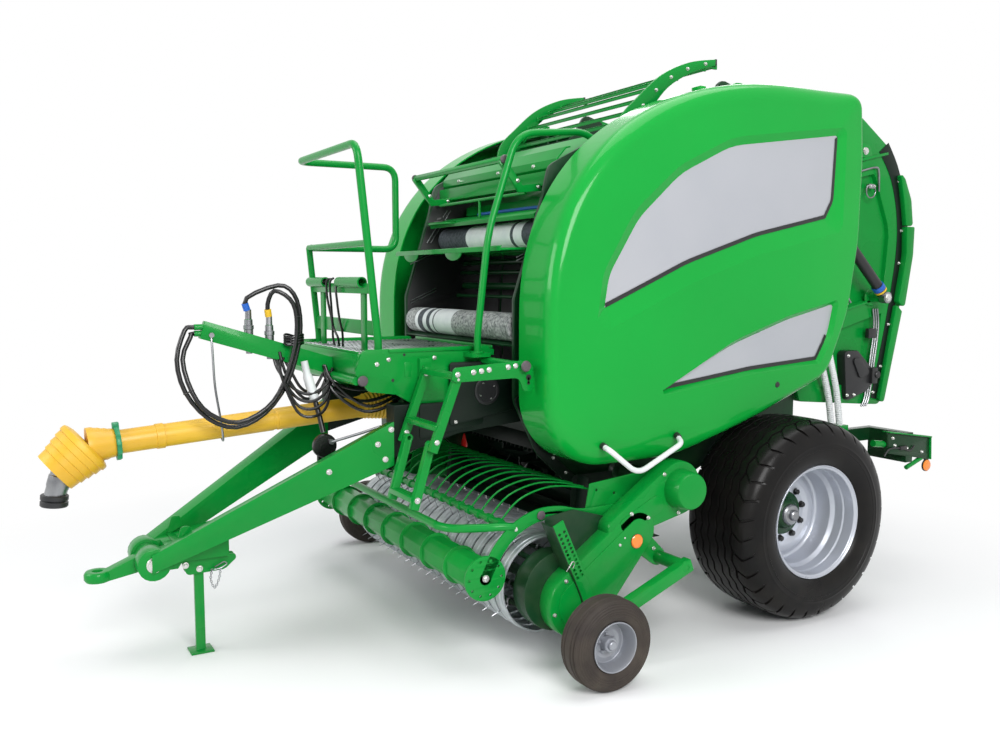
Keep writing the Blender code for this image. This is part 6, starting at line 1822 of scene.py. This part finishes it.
def make_ladder_gear():
    upper = [side_bolts(x, [(-1.935, 1.352), (-2.040, 1.075)], 0.010) for x in (0.900, 0.571)]
    piece("ladder_bolts", upper, "zinc_bolt", "chassis")
    piece("ladder_lower_bolts", [side_bolts(0.8585, [(-2.118, 0.812)], 0.012)], "zinc_bolt", "ladder")
    lowest = [a + (b - a) * 0.85 for a, b in zip(LADDER_HINGE, (-2.13, 0.77))]
    treads = tread_ribs([(-1.9268, 1.3625), (-2.0145, 1.135)], 0.575, 0.862)
    piece("ladder_treads", treads, "green_paint", "chassis")
    piece("ladder_lower_tread", tread_ribs([lowest], 0.62, 0.82), "green_paint", "ladder")


# Feed rotor.

def make_feed_gear():
    sector = arc(ROTOR, 0.262, 62, 168, 26) + arc(ROTOR, 0.285, 168, 62, 26)
    strip = plate(sector, -0.003, 0.003, 0.001)
    count = 27
    pitch = 2 * (CHAMBER_HALF - 0.02) / (count - 1)
    # painted shade: the strippers and their backing are near-black green
    strippers = copies(strip, count, (-CHAMBER_HALF + 0.02, 0, 0), (pitch, 0, 0), material="shadow_green")
    back = plate(arc(ROTOR, 0.285, 62, 165, 20) + arc(ROTOR, 0.289, 165, 62, 20), -CHAMBER_HALF + 0.002,
                 CHAMBER_HALF - 0.002, 0.001)
    piece("feed_strippers", [strippers, back], "shadow_green", "chassis")
    front = [(-1.51, 1.215), (-1.37, 0.925), (-1.13, 0.70), (-1.09, 0.745), (-1.32, 0.955), (-1.45, 1.235)]
    # painted shade: the guard along the chamber side's front edge is near-black green
    edge = pressed([(y, z, 0.02) for y, z in front], 0.6605, 0.672, 0.003)
    heads = side_bolts(0.672, [(-1.44, 1.13), (-1.40, 1.05), (-1.36, 0.985), (-1.28, 0.90), (-1.20, 0.815)],
                       0.007)
    both_sides("chassis", ("chamber_edge_{}", [edge], "shadow_green"),
               ("chamber_edge_bolts_{}", [heads], "zinc_bolt"))


# Drawbar, stand and rigging.

def make_drawbar_gear():
    start, end = Vector((0.125, -3.13, 0.487)), Vector((0.485, -2.03, 1.035))
    flat = Vector((end.x - start.x, end.y - start.y, 0)).normalized()
    out = Vector((flat.y, -flat.x, 0))
    places = [start.lerp(end, share) + out * 0.0425 + Vector((0, 0, lift))
              for share, lift in ((0.90, 0.035), (0.955, 0.075), (0.93, -0.055), (0.70, 0.02))]
    heads = bolts(places, out, 0.0115)
    nut = side_bolts(0.150, [(-3.13, 0.48)], 0.030)
    stand = side_bolts(0.0855, [(-2.98, 0.44), (-2.915, 0.415)], 0.013)
    piece("drawbar_bolts", [*both(heads), *both(nut), stand], "zinc_bolt", "chassis")
    clip = sweep(bent([(0.088, -2.845, 0.415), (0.100, -2.845, 0.418), (0.100, -2.80, 0.440),
                       (0.100, -2.785, 0.425), (0.100, -2.815, 0.408), (0.100, -2.85, 0.405)], 0.01), 0.003,
                 8)
    link = turned([(-0.0016, 0.0035), (-0.0016, 0.0065), (0.0016, 0.0065), (0.0016, 0.0035)], (0, 0), 12)
    links = []
    route = bow([(0.100, -2.86, 0.405), (0.104, -2.868, 0.36), (0.104, -2.850, 0.318),
                 (0.104, -2.828, 0.36), (0.100, -2.82, 0.405)], 5)
    for k, p in enumerate(route):
        copy = link.copy()
        copy.transform(Matrix.Rotation(math.radians(90 * (k % 2)), 4, "Z"))
        copy.transform(Matrix.Translation(p))
        links.append(copy)
    piece("stand_clip", [clip, *links], "bare_steel", "chassis")
    ear = pressed([(-3.03, 0.545, 0.01), (-2.95, 0.585, 0.01), (-2.96, 0.640, 0.015),
                   (-3.00, 0.640, 0.015)], 0.112, 0.120, 0.002)
    weld = block((-0.115, -3.03, 0.545), (0.115, -2.955, 0.560), 0.004)
    piece("drawbar_lug", [*both(ear), weld], "green_paint", "chassis")


def make_couplings():
    """The hoses' couplings, coloured caps and ties at the hose arm."""
    x = HOSE_ARM_TIP[0]
    steel, blue, yellow = [], [], []
    for index, (y, z) in enumerate(HOSE_COUPLERS):
        steel.append(spun([(0.0, 0.0), (0.0, 0.024), (0.012, 0.024), (0.014, 0.0215), (0.040, 0.0215),
                           (0.042, 0.0245), (0.060, 0.0245), (0.062, 0.020), (0.088, 0.0195),
                           (0.0895, 0.014), (0.0898, 0.0)], (x, y, z), (x, y, z + 1)))
        steel.append(spun([(0.0, 0.0), (0.0, 0.022), (0.016, 0.022), (0.020, 0.016), (0.045, 0.015),
                           (0.047, 0.0)], (x, y, z - 0.03), (x, y, z - 1), 24))
        points = hose_route(index)
        a, b = points[-4], points[-3]
        cap = spun([(0.0, HOSE_R), (0.0, 0.0165), (0.035, 0.0165), (0.037, HOSE_R)], a, b, 24, closed=True)
        (blue if index == 0 else yellow).append(cap)
        steel.append(spun([(0.0, HOSE_R), (0.0, 0.0155), (0.045, 0.0145), (0.047, HOSE_R)], points[-1],
                          points[-2], 24, closed=True))
    piece("hose_couplings", steel, "bare_steel", "chassis")
    piece("hose_cap_blue", blue, "cap_blue", "chassis")
    piece("hose_cap_yellow", yellow, "cap_yellow", "chassis")
    a, b = hose_route(0), hose_route(1)
    ties = []
    for i in (10, 19, 28):
        middle = (a[i] + b[i]) / 2
        along = (a[i + 1] - a[i - 1]).normalized()
        across = (b[i] - a[i]) - along * (b[i] - a[i]).dot(along)
        side, up = across.normalized(), along.cross(across.normalized())
        wide, high = across.length / 2 + HOSE_R + 0.002, HOSE_R + 0.002
        turns = [2 * math.pi * k / 24 for k in range(24)]
        ring = [middle + side * (wide * math.cos(t)) + up * (high * math.sin(t)) for t in turns]
        ties.append(sweep(ring, 0.0022, 6, closed=True))
    piece("hose_ties", ties, "black_trim", "chassis")


def make_rigging():
    """Short fixed lines at the hose arm and under the platform, with their sleeve and clamps."""
    white = wire([(0.155, -2.40, 1.40), (0.165, -2.385, 1.32), (0.180, -2.355, 1.20)],
                 [0.018] * 5 + [0.024] * 6, 18)
    piece("rigging_sleeve", [white], "white_plastic", "chassis")
    dark = [wire([(0.180, -2.356, 1.205), (0.20, -2.34, 1.12), (0.22, -2.33, 1.05)], 0.013, 14),
            spun([(0.0, 0.0), (0.0, 0.055), (0.006, 0.060), (0.026, 0.060), (0.032, 0.054), (0.032, 0.0)],
                 (0.215, -2.33, 0.985), (0.9, -2.33, 0.985), 36),
            block((0.20, -2.36, 0.90), (0.225, -2.30, 1.00), 0.004)]
    for k, (z, dip) in enumerate(((1.30, 0.05), (1.275, 0.08), (1.33, 0.03), (1.25, 0.10), (1.29, 0.11))):
        dark.append(wire([(0.125 + 0.012 * k, -2.30, 1.375), (0.14 + 0.02 * k, -2.27, z),
                          (0.20 + 0.03 * k, -2.14, z - dip), (0.24 + 0.02 * k, -1.98, z - dip * 0.6),
                          (0.18 + 0.02 * k, -1.86, 1.28)], 0.0085))
    for line in ([(0.10, -2.50, 1.44), (0.155, -2.47, 1.36), (0.16, -2.42, 1.27), (0.15, -2.36, 1.25),
                  (0.14, -2.30, 1.33)], [(0.15, -2.52, 1.45), (0.165, -2.49, 1.33), (0.17, -2.41, 1.22),
                                         (0.16, -2.33, 1.24), (0.15, -2.28, 1.33)]):
        dark.append(wire(line, 0.0075))
    for k in range(4):
        sag = 1.24 - 0.035 * k
        dark.append(wire([(0.13, -2.545 + 0.02 * k, 1.43), (0.16 + 0.01 * k, -2.53, 1.36),
                          (0.17 + 0.015 * k, -2.46, sag + 0.03), (0.19 + 0.015 * k, -2.38, sag),
                          (0.20, -2.30, sag + 0.05), (0.17, -2.26, 1.36)], 0.0075))
    knot = [Vector((0.165 + 0.030 * math.cos(2 * math.pi * k / 20),
                    -2.452 + 0.046 * math.sin(2 * math.pi * k / 20),
                    1.49 + 0.008 * math.sin(4 * math.pi * k / 20))) for k in range(20)]
    dark += [sweep([p + Vector((0, 0, 0.012 * n)) for p in knot], 0.0055, 8, closed=True) for n in range(4)]
    piece("rigging_lines", dark, "hose_rubber", "chassis")
    silver = [sweep(bow([(0.150, -2.842, 1.535), (0.158, -2.840, 1.46), (0.152, -2.832, 1.30),
                         (0.128, -2.805, 1.14), (0.112, -2.792, 1.055), (0.085, -2.786, 1.028),
                         (0.060, -2.785, 1.035)], 6), 0.0055, 10),
              spun([(0.0, 0.0), (0.0, 0.012), (0.014, 0.012), (0.014, 0.0)], (0.148, -2.842, 1.54),
                   (1, -2.842, 1.54), 20), spun([(0.0, 0.0), (0.0, 0.013), (0.014, 0.013), (0.014, 0.0)],
                                                (0.247, -2.30, 1.005), (1, -2.30, 1.005), 20),
              sweep([(0.255, -2.30, 1.005), (0.30, -2.16, 1.045), (0.33, -2.07, 1.075)], 0.007, 10)]
    piece("rigging_steel", silver, "bare_steel", "chassis")


# Tailgate and rear.

def make_gate_gear():
    face, pipe = 0.690, 0.705    # X of the side plate's face, and of the pipes on it
    covers = [pressed([(1.215, 2.455, 0.01), (1.262, 2.415, 0.02), (1.325, 2.29, 0.05), (1.350, 2.13, 0.02),
                       (1.285, 2.13, 0.01), (1.262, 2.26, 0.05)], face + 0.0005, face + 0.034, 0.004),
              pressed([(1.282, 2.125, 0.01), (1.356, 2.125, 0.01), (1.352, 1.95, 0.1), (1.292, 1.62, 0.02),
                       (1.232, 1.66, 0.02), (1.290, 1.95, 0.1)], face + 0.0005, face + 0.042, 0.004),
              pressed([(1.230, 1.645, 0.01), (1.285, 1.60, 0.01), (1.148, 1.035, 0.02),
                       (1.105, 1.045, 0.02)], face + 0.0005, face + 0.030, 0.004),
              pressed([(0.845, 2.53, 0.02), (0.86, 2.61, 0.05), (0.96, 2.61, 0.05), (0.985, 2.52, 0.02)],
                      face + 0.0005, face + 0.010, 0.002),
              plate(ribbon([(0.86, 2.505), (1.12, 2.563)], 0.008), face + 0.0005, face + 0.014, 0.002),
              plate(ribbon([(0.74, 1.605), (1.06, 1.680)], 0.008), face + 0.0005, face + 0.014, 0.002)]
    # painted shade: the inner flange band is near-black green because it lies in shadow
    dark = [plate(banana([(1.09, 2.60, 0.05), (1.20, 2.44, 0.045), (1.262, 2.22, 0.035),
                          (1.272, 1.98, 0.032), (1.222, 1.66, 0.030), (1.165, 1.40, 0.028),
                          (1.080, 1.06, 0.026)], 5), face + 0.0002, face + 0.0030, 0.001)]
    box_shape = [(0.77, 1.37, 0.03), (0.89, 1.37, 0.04), (1.06, 1.22, 0.05), (0.99, 1.12, 0.04),
                 (0.80, 1.06, 0.03)]
    plastic = [pressed(box_shape, 0.661, 0.725, 0.008),
               pressed([(0.83, 1.325, 0.02), (0.90, 1.325, 0.02), (1.00, 1.225, 0.02), (0.90, 1.20, 0.02)],
                       0.720, 0.738, 0.005), block((face, 1.00, 1.16), (0.745, 1.05, 1.26), 0.006),
               block((face, 0.985, 1.44), (0.72, 1.055, 1.50), 0.005),
               turned([(face, 0.0), (face, 0.022), (0.750, 0.022), (0.755, 0.016), (0.755, 0.0)],
                      (1.045, 1.215), 24, closed=False)]
    pipes = [bow([(pipe, y + 1.03, 1.62), (pipe, y + 1.045, 1.50), (pipe, y + 1.020, 1.30),
                  (pipe, y + 0.985, 1.08), (pipe, y + 0.955, 1.02)], 5) for y in (0.0, 0.020, 0.040)]
    pipes += [bow([(0.700, 0.75, 2.415), (pipe, 0.90, 2.450), (pipe, 1.00, 2.472), (pipe, 1.035, 2.455),
                   (pipe, 1.045, 2.33)], 5)]
    pipes += [[(pipe, 0.45, 2.12), (pipe, 0.83, 1.66)], [(pipe, 0.425, 2.11), (pipe, 0.805, 1.65)]]
    hook = [sweep(circle_points((0.706, 0.97, 2.33), 0.040, 24), 0.0045, 8, closed=True),
            block((face, 0.945, 2.345), (0.712, 1.00, 2.372), 0.003)]
    heads = [side_bolts(0.7005, [(0.92, 2.565)], 0.018),
             side_bolts(0.6935, ((1.235, 2.40), (1.275, 2.10), (1.265, 1.90), (1.19, 1.52), (1.13, 1.26),
                                 (1.07, 1.10)), 0.008),
             side_bolts(0.7265, [(0.80, 1.34), (0.80, 1.10), (0.86, 1.10)], 0.008),
             side_bolts(0.7125, [(0.955, 2.358), (0.99, 2.358)], 0.006)]
    eye = turned([(face, 0.0), (face, 0.055), (0.696, 0.057), (0.704, 0.050), (0.704, 0.0)], (1.02, 1.69),
                 32, closed=False)
    both_sides("tailgate", ("tailgate_{}_covers", [*covers, eye], "green_paint"),
               ("tailgate_{}_flange", dark, "shadow_green"), ("tailgate_{}_box", plastic, "black_plastic"),
               ("tailgate_{}_pipes", [sweep(p, 0.006, 10) for p in pipes] + hook, "bare_steel"),
               ("tailgate_{}_bolts", heads, "zinc_bolt"))
    strips = ((1.287, 1.99), (1.232, 1.54), (1.202, 2.46), (1.122, 1.14))
    rails = [block((-0.60, y, z - 0.030), (0.60, y + 0.006, z + 0.030), 0.003) for y, z in strips]
    rail_bolts = [bolts([(x, y + 0.006, z) for x in (-0.55, -0.30, 0.30, 0.55)], (0, 1, 0), 0.009)
                  for y, z in strips]
    piece("tailgate_rails", rails, "green_paint", "tailgate")
    piece("tailgate_rail_bolts", rail_bolts, "zinc_bolt", "tailgate")


def circle_points(centre, radius, count):
    """Points of a circle in the (Y, Z) plane at one X."""
    x, y, z = centre
    return [Vector((x, y + radius * math.cos(2 * math.pi * k / count),
                    z + radius * math.sin(2 * math.pi * k / count))) for k in range(count)]


def corrugated(points, radius, pitch=0.012):
    """A flexible conduit whose wall goes in and out along it."""
    run = [points[0]]
    for a, b in zip(points, points[1:]):
        steps = max(1, round((b - a).length / (pitch / 2)))
        run += [a.lerp(b, (k + 1) / steps) for k in range(steps)]
    return sweep(run, [radius * (1.0 if k % 2 else 0.82) for k in range(len(run))], 14)


def make_rear_gear():
    conduits = [corrugated(bow([(0.735, 0.50, 1.50), (0.735, 0.565, 1.30), (0.735, 0.63, 1.10),
                                (0.735, 0.665, 0.92)], 4), 0.021),
                corrugated(bow([(0.735, 0.56, 1.55), (0.735, 0.635, 1.33), (0.735, 0.70, 1.12),
                                (0.735, 0.735, 0.92)], 4), 0.021)]
    clamps = [block((0.665, 0.60, 0.885), (0.765, 0.78, 0.925), 0.004),
              block((0.660, 0.47, 1.49), (0.745, 0.60, 1.515), 0.004)]
    low, high = 0.930, 0.960     # X of the lamp plate's inner and outer face
    lamp = (1.262, 0.664)        # the side lamp's place in (Y, Z)
    face = [pressed([(0.885, 0.893, 0.01), (1.262, 0.835, 0.03), (1.270, 0.708, 0.03),
                     (0.905, 0.776, 0.01)], high, high + 0.0025, 0.001)]
    lips = [plate(ribbon([(0.882, 0.901), (1.272, 0.842)], 0.004), low - 0.004, high + 0.020, 0.0015),
            plate(ribbon([(1.274, 0.840), (1.282, 0.702)], 0.004), low - 0.004, high + 0.012, 0.0015)]
    brace = [sweep([(0.945, 1.085, 0.665), (0.945, 1.235, 0.718)], 0.014, 14),
             sweep([(0.93, 0.80, 0.835), (0.93, 1.07, 0.80)], 0.020, 16)]
    cable = [wire([(0.966, 0.86, 0.76), (0.972, 0.90, 0.80), (0.972, 1.00, 0.795), (0.972, 1.08, 0.775),
                   (0.970, 1.12, 0.80)], 0.005),
             block((0.9625, 0.985, 0.785), (0.980, 1.045, 0.808), 0.004)]
    lens = spun([(0.0, 0.0), (0.0, 0.034), (0.004, 0.034), (0.008, 0.029), (0.010, 0.020), (0.011, 0.0)],
                (0.956, *lamp), (2, *lamp), 40)
    seat = [spun([(0.0, 0.0), (0.0, 0.037), (0.008, 0.037), (0.008, 0.0)], (0.948, *lamp), (2, *lamp), 40),
            block((0.945, 1.245, 0.68), (0.955, 1.279, 0.73), 0.002)]
    heads = [side_bolts(high + 0.0025, ((0.95, 0.815), (1.06, 0.79), (1.20, 0.755), (0.93, 0.86)), 0.008)]
    lamp_seat = [block((0.70, 1.1205, 0.725), (0.925, 1.150, 0.855), 0.008)]
    red = [block((0.71, 1.146, 0.735), (0.835, 1.160, 0.845), 0.006)]
    amber = [block((0.840, 1.146, 0.735), (0.915, 1.160, 0.845), 0.006)]
    reflector = [rear_reflector(0.60)]
    both_sides("chassis", ("rear_{}_conduits", conduits, "white_plastic"),
               ("rear_{}_clamps", clamps + lips + brace, "green_paint"),
               ("rear_{}_plate", face, "dark_green_paint"),
               ("rear_{}_cable", cable + seat + lamp_seat, "black_plastic"),
               ("rear_{}_amber", [lens, *amber], "amber_lens"),
               ("rear_{}_red", red + reflector, "red_lens"), ("rear_{}_bolts", heads, "zinc_bolt"))


def rear_reflector(x):
    """A triangular rear reflector on the frame's end."""
    outline = rounded([(x - 0.055, 0.750, 0.012), (x + 0.055, 0.750, 0.012), (x, 0.845, 0.012)])
    return plate(outline, -1.127, -1.1205, 0.002, across="y")


def make_rams():
    base, eye = Vector((0.80, 0.16, 2.50)), Vector((0.80, 1.02, 1.69))
    line = (eye - base).normalized()
    length = (eye - base).length
    start, pin = base + line * 0.640, base + line * 1.040
    shroud = spun([(0.0, 0.0215), (0.0, 0.031), (0.010, 0.032), (0.450, 0.032), (0.455, 0.036),
                   (0.490, 0.036), (0.495, 0.031), (0.495, 0.0215)], start, eye, 32, closed=True)
    joint = [spun([(0.0, 0.0), (0.0, 0.013), (0.028, 0.013), (0.028, 0.0)], pin,
                  pin + Vector((1, 0.4, 0.5)), 20)]
    blue = [spun([(0.0, 0.0325), (0.0, 0.038), (0.030, 0.038), (0.030, 0.0325)],
                 base + line * (length - 0.105), eye, 32, closed=True)]
    yellow = [spun([(0.0, 0.0325), (0.0, 0.0375), (0.012, 0.0375), (0.012, 0.0325)],
                   base + line * (length - 0.070), eye, 32, closed=True)]
    nut = side_bolts(0.8205, [(1.02, 1.69)], 0.020)
    both_sides("ram_rod_{}", ("ram_{}_shroud", [shroud], "black_plastic"),
               ("ram_{}_joint", joint + [nut], "zinc_bolt"), ("ram_{}_blue", blue, "cap_blue"),
               ("ram_{}_yellow", yellow, "cap_yellow"))


# Rails, the shells' grab tubes and the throat.

def make_rails():
    (right, left), base = RAIL_POSTS, FRONT_DECK
    top, middle, rear = 2.43, 1.97, -1.66
    hoop = bent([(left, -2.13, base), (left, -2.13, base + 0.05), (left, -2.17, 1.90), (left, -2.225, top),
                 (right, -2.225, top), (right, rear, top), (right, rear, middle), (right, -2.165, middle)],
                0.075, 8)
    post = bent([(right, -2.175, middle), (right, -2.13, base + 0.05), (right, -2.13, base)], 0.05)
    tubes = [sweep(hoop, 0.019, 18), sweep(post, 0.017, 18),
             sweep([(left, -2.175, middle), (right, -2.175, middle)], 0.016, 18)]
    flats = [block((right - 0.005, -2.165, 1.73), (left, -2.135, 1.78), 0.004),
             block((right, -2.145, 1.53), (left, -2.125, 1.60), 0.003)]
    flats += [block((x - 0.03, -2.150, base), (x + 0.03, -2.138, 1.75), 0.002)
              for x in (right + 0.13, left - 0.14)]
    feet = [sweep([(x, -2.13, base), (x, -2.13, base + 0.008)], 0.030, 20) for x in (left, right)]
    piece("front_rail_tubes", tubes + flats + feet, "green_paint", "chassis", ("front_rail",), 35,
          "green_paint")
    grip = bent([(0.575, -1.66, 1.4405), (0.575, -1.66, 1.52), (0.575, -1.60, 2.02), (0.575, -1.435, 2.515),
                 (0.577, -1.02, 2.55), (0.60, -0.90, 2.43), (CHAMBER_HALF - 0.0005, -0.90, 2.43)], 0.11, 10)
    foot = sweep([(0.575, -1.66, 1.4405), (0.575, -1.66, 1.449)], 0.034, 24)
    piece("handrail_tube", [sweep(grip, 0.0175, 18), foot], "green_paint", "chassis", ("handrail",), 35,
          "green_paint")


def make_shell_gear():
    """The grab tube low on each shell, and its sockets."""
    grab = bent([(1.045, -1.235, 1.010), (1.105, -1.240, 1.000), (1.116, -1.085, 0.875),
                 (1.110, -0.81, 1.000), (1.055, -0.795, 1.025)], 0.06, 8)
    sockets = [sweep(run, 0.017, 18) for run in (((1.035, -1.234, 1.012), (1.060, -1.236, 1.008)),
                                                 ((1.045, -0.792, 1.029), (1.070, -0.798, 1.020)))]
    both_sides("side_shell_{}", ("side_shell_{}_grab", [sweep(grab, 0.0135, 18)], "white_plastic"),
               ("side_shell_{}_sockets", sockets, "black_plastic"))


def make_throat():
    """Sheets that close the throat between pick-up and feed rotor, near-black green as painted shade."""
    skirt = arc(ROTOR, 0.322, 212, 246, 12) + arc(ROTOR, 0.326, 246, 212, 12)
    wide = PICKUP_HALF - 0.085
    sheets = [plate(skirt, -wide, wide, 0.001), block((-wide, -1.160, 0.492), (wide, -0.80, 0.496), 0.001)]
    ends = both(plate([(-1.165, 0.50), (-1.135, 0.80), (-1.130, 0.80), (-1.160, 0.50)], 0.686, 0.780,
                      0.001), pressed([(-1.19, 0.46, 0.02), (-1.17, 0.80, 0.03), (-0.70, 0.80, 0.03),
                                       (-0.66, 0.46, 0.02)], 0.682, 0.685, 0.001))
    piece("pickup_throat", sheets + ends, "shadow_green", "pickup")
    bracket = rounded([(-1.33, 0.54, 0.02), (-1.275, 0.825, 0.01), (-1.02, 0.850, 0.02),
                       (-0.83, 0.865, 0.02), (-0.90, 0.60, 0.05)])
    holes = [circle((-1.235, 0.79), 0.006, 16), circle((-1.13, 0.765), 0.007, 16)]
    piece("pickup_brackets", both(plate(bracket, 0.984, 0.992, 0.002, holes)), "green_paint", "pickup")


def main():
    make_camera()
    make_light()
    make_floor()
    make_finishes()
    make_hoses()
    dress_nodes()
    make_shells()
    make_wheels()
    make_net()
    make_pto()
    make_pickup()
    make_reel()
    make_wind_guard()
    make_top_guard()
    make_net_gear()
    make_liners()
    make_platform_gear()
    make_drive_cover()
    make_rail_gear()
    make_ladder_gear()
    make_feed_gear()
    make_drawbar_gear()
    make_couplings()
    make_rigging()
    make_gate_gear()
    make_rear_gear()
    make_rams()
    make_rails()
    make_shell_gear()
    make_throat()


main()
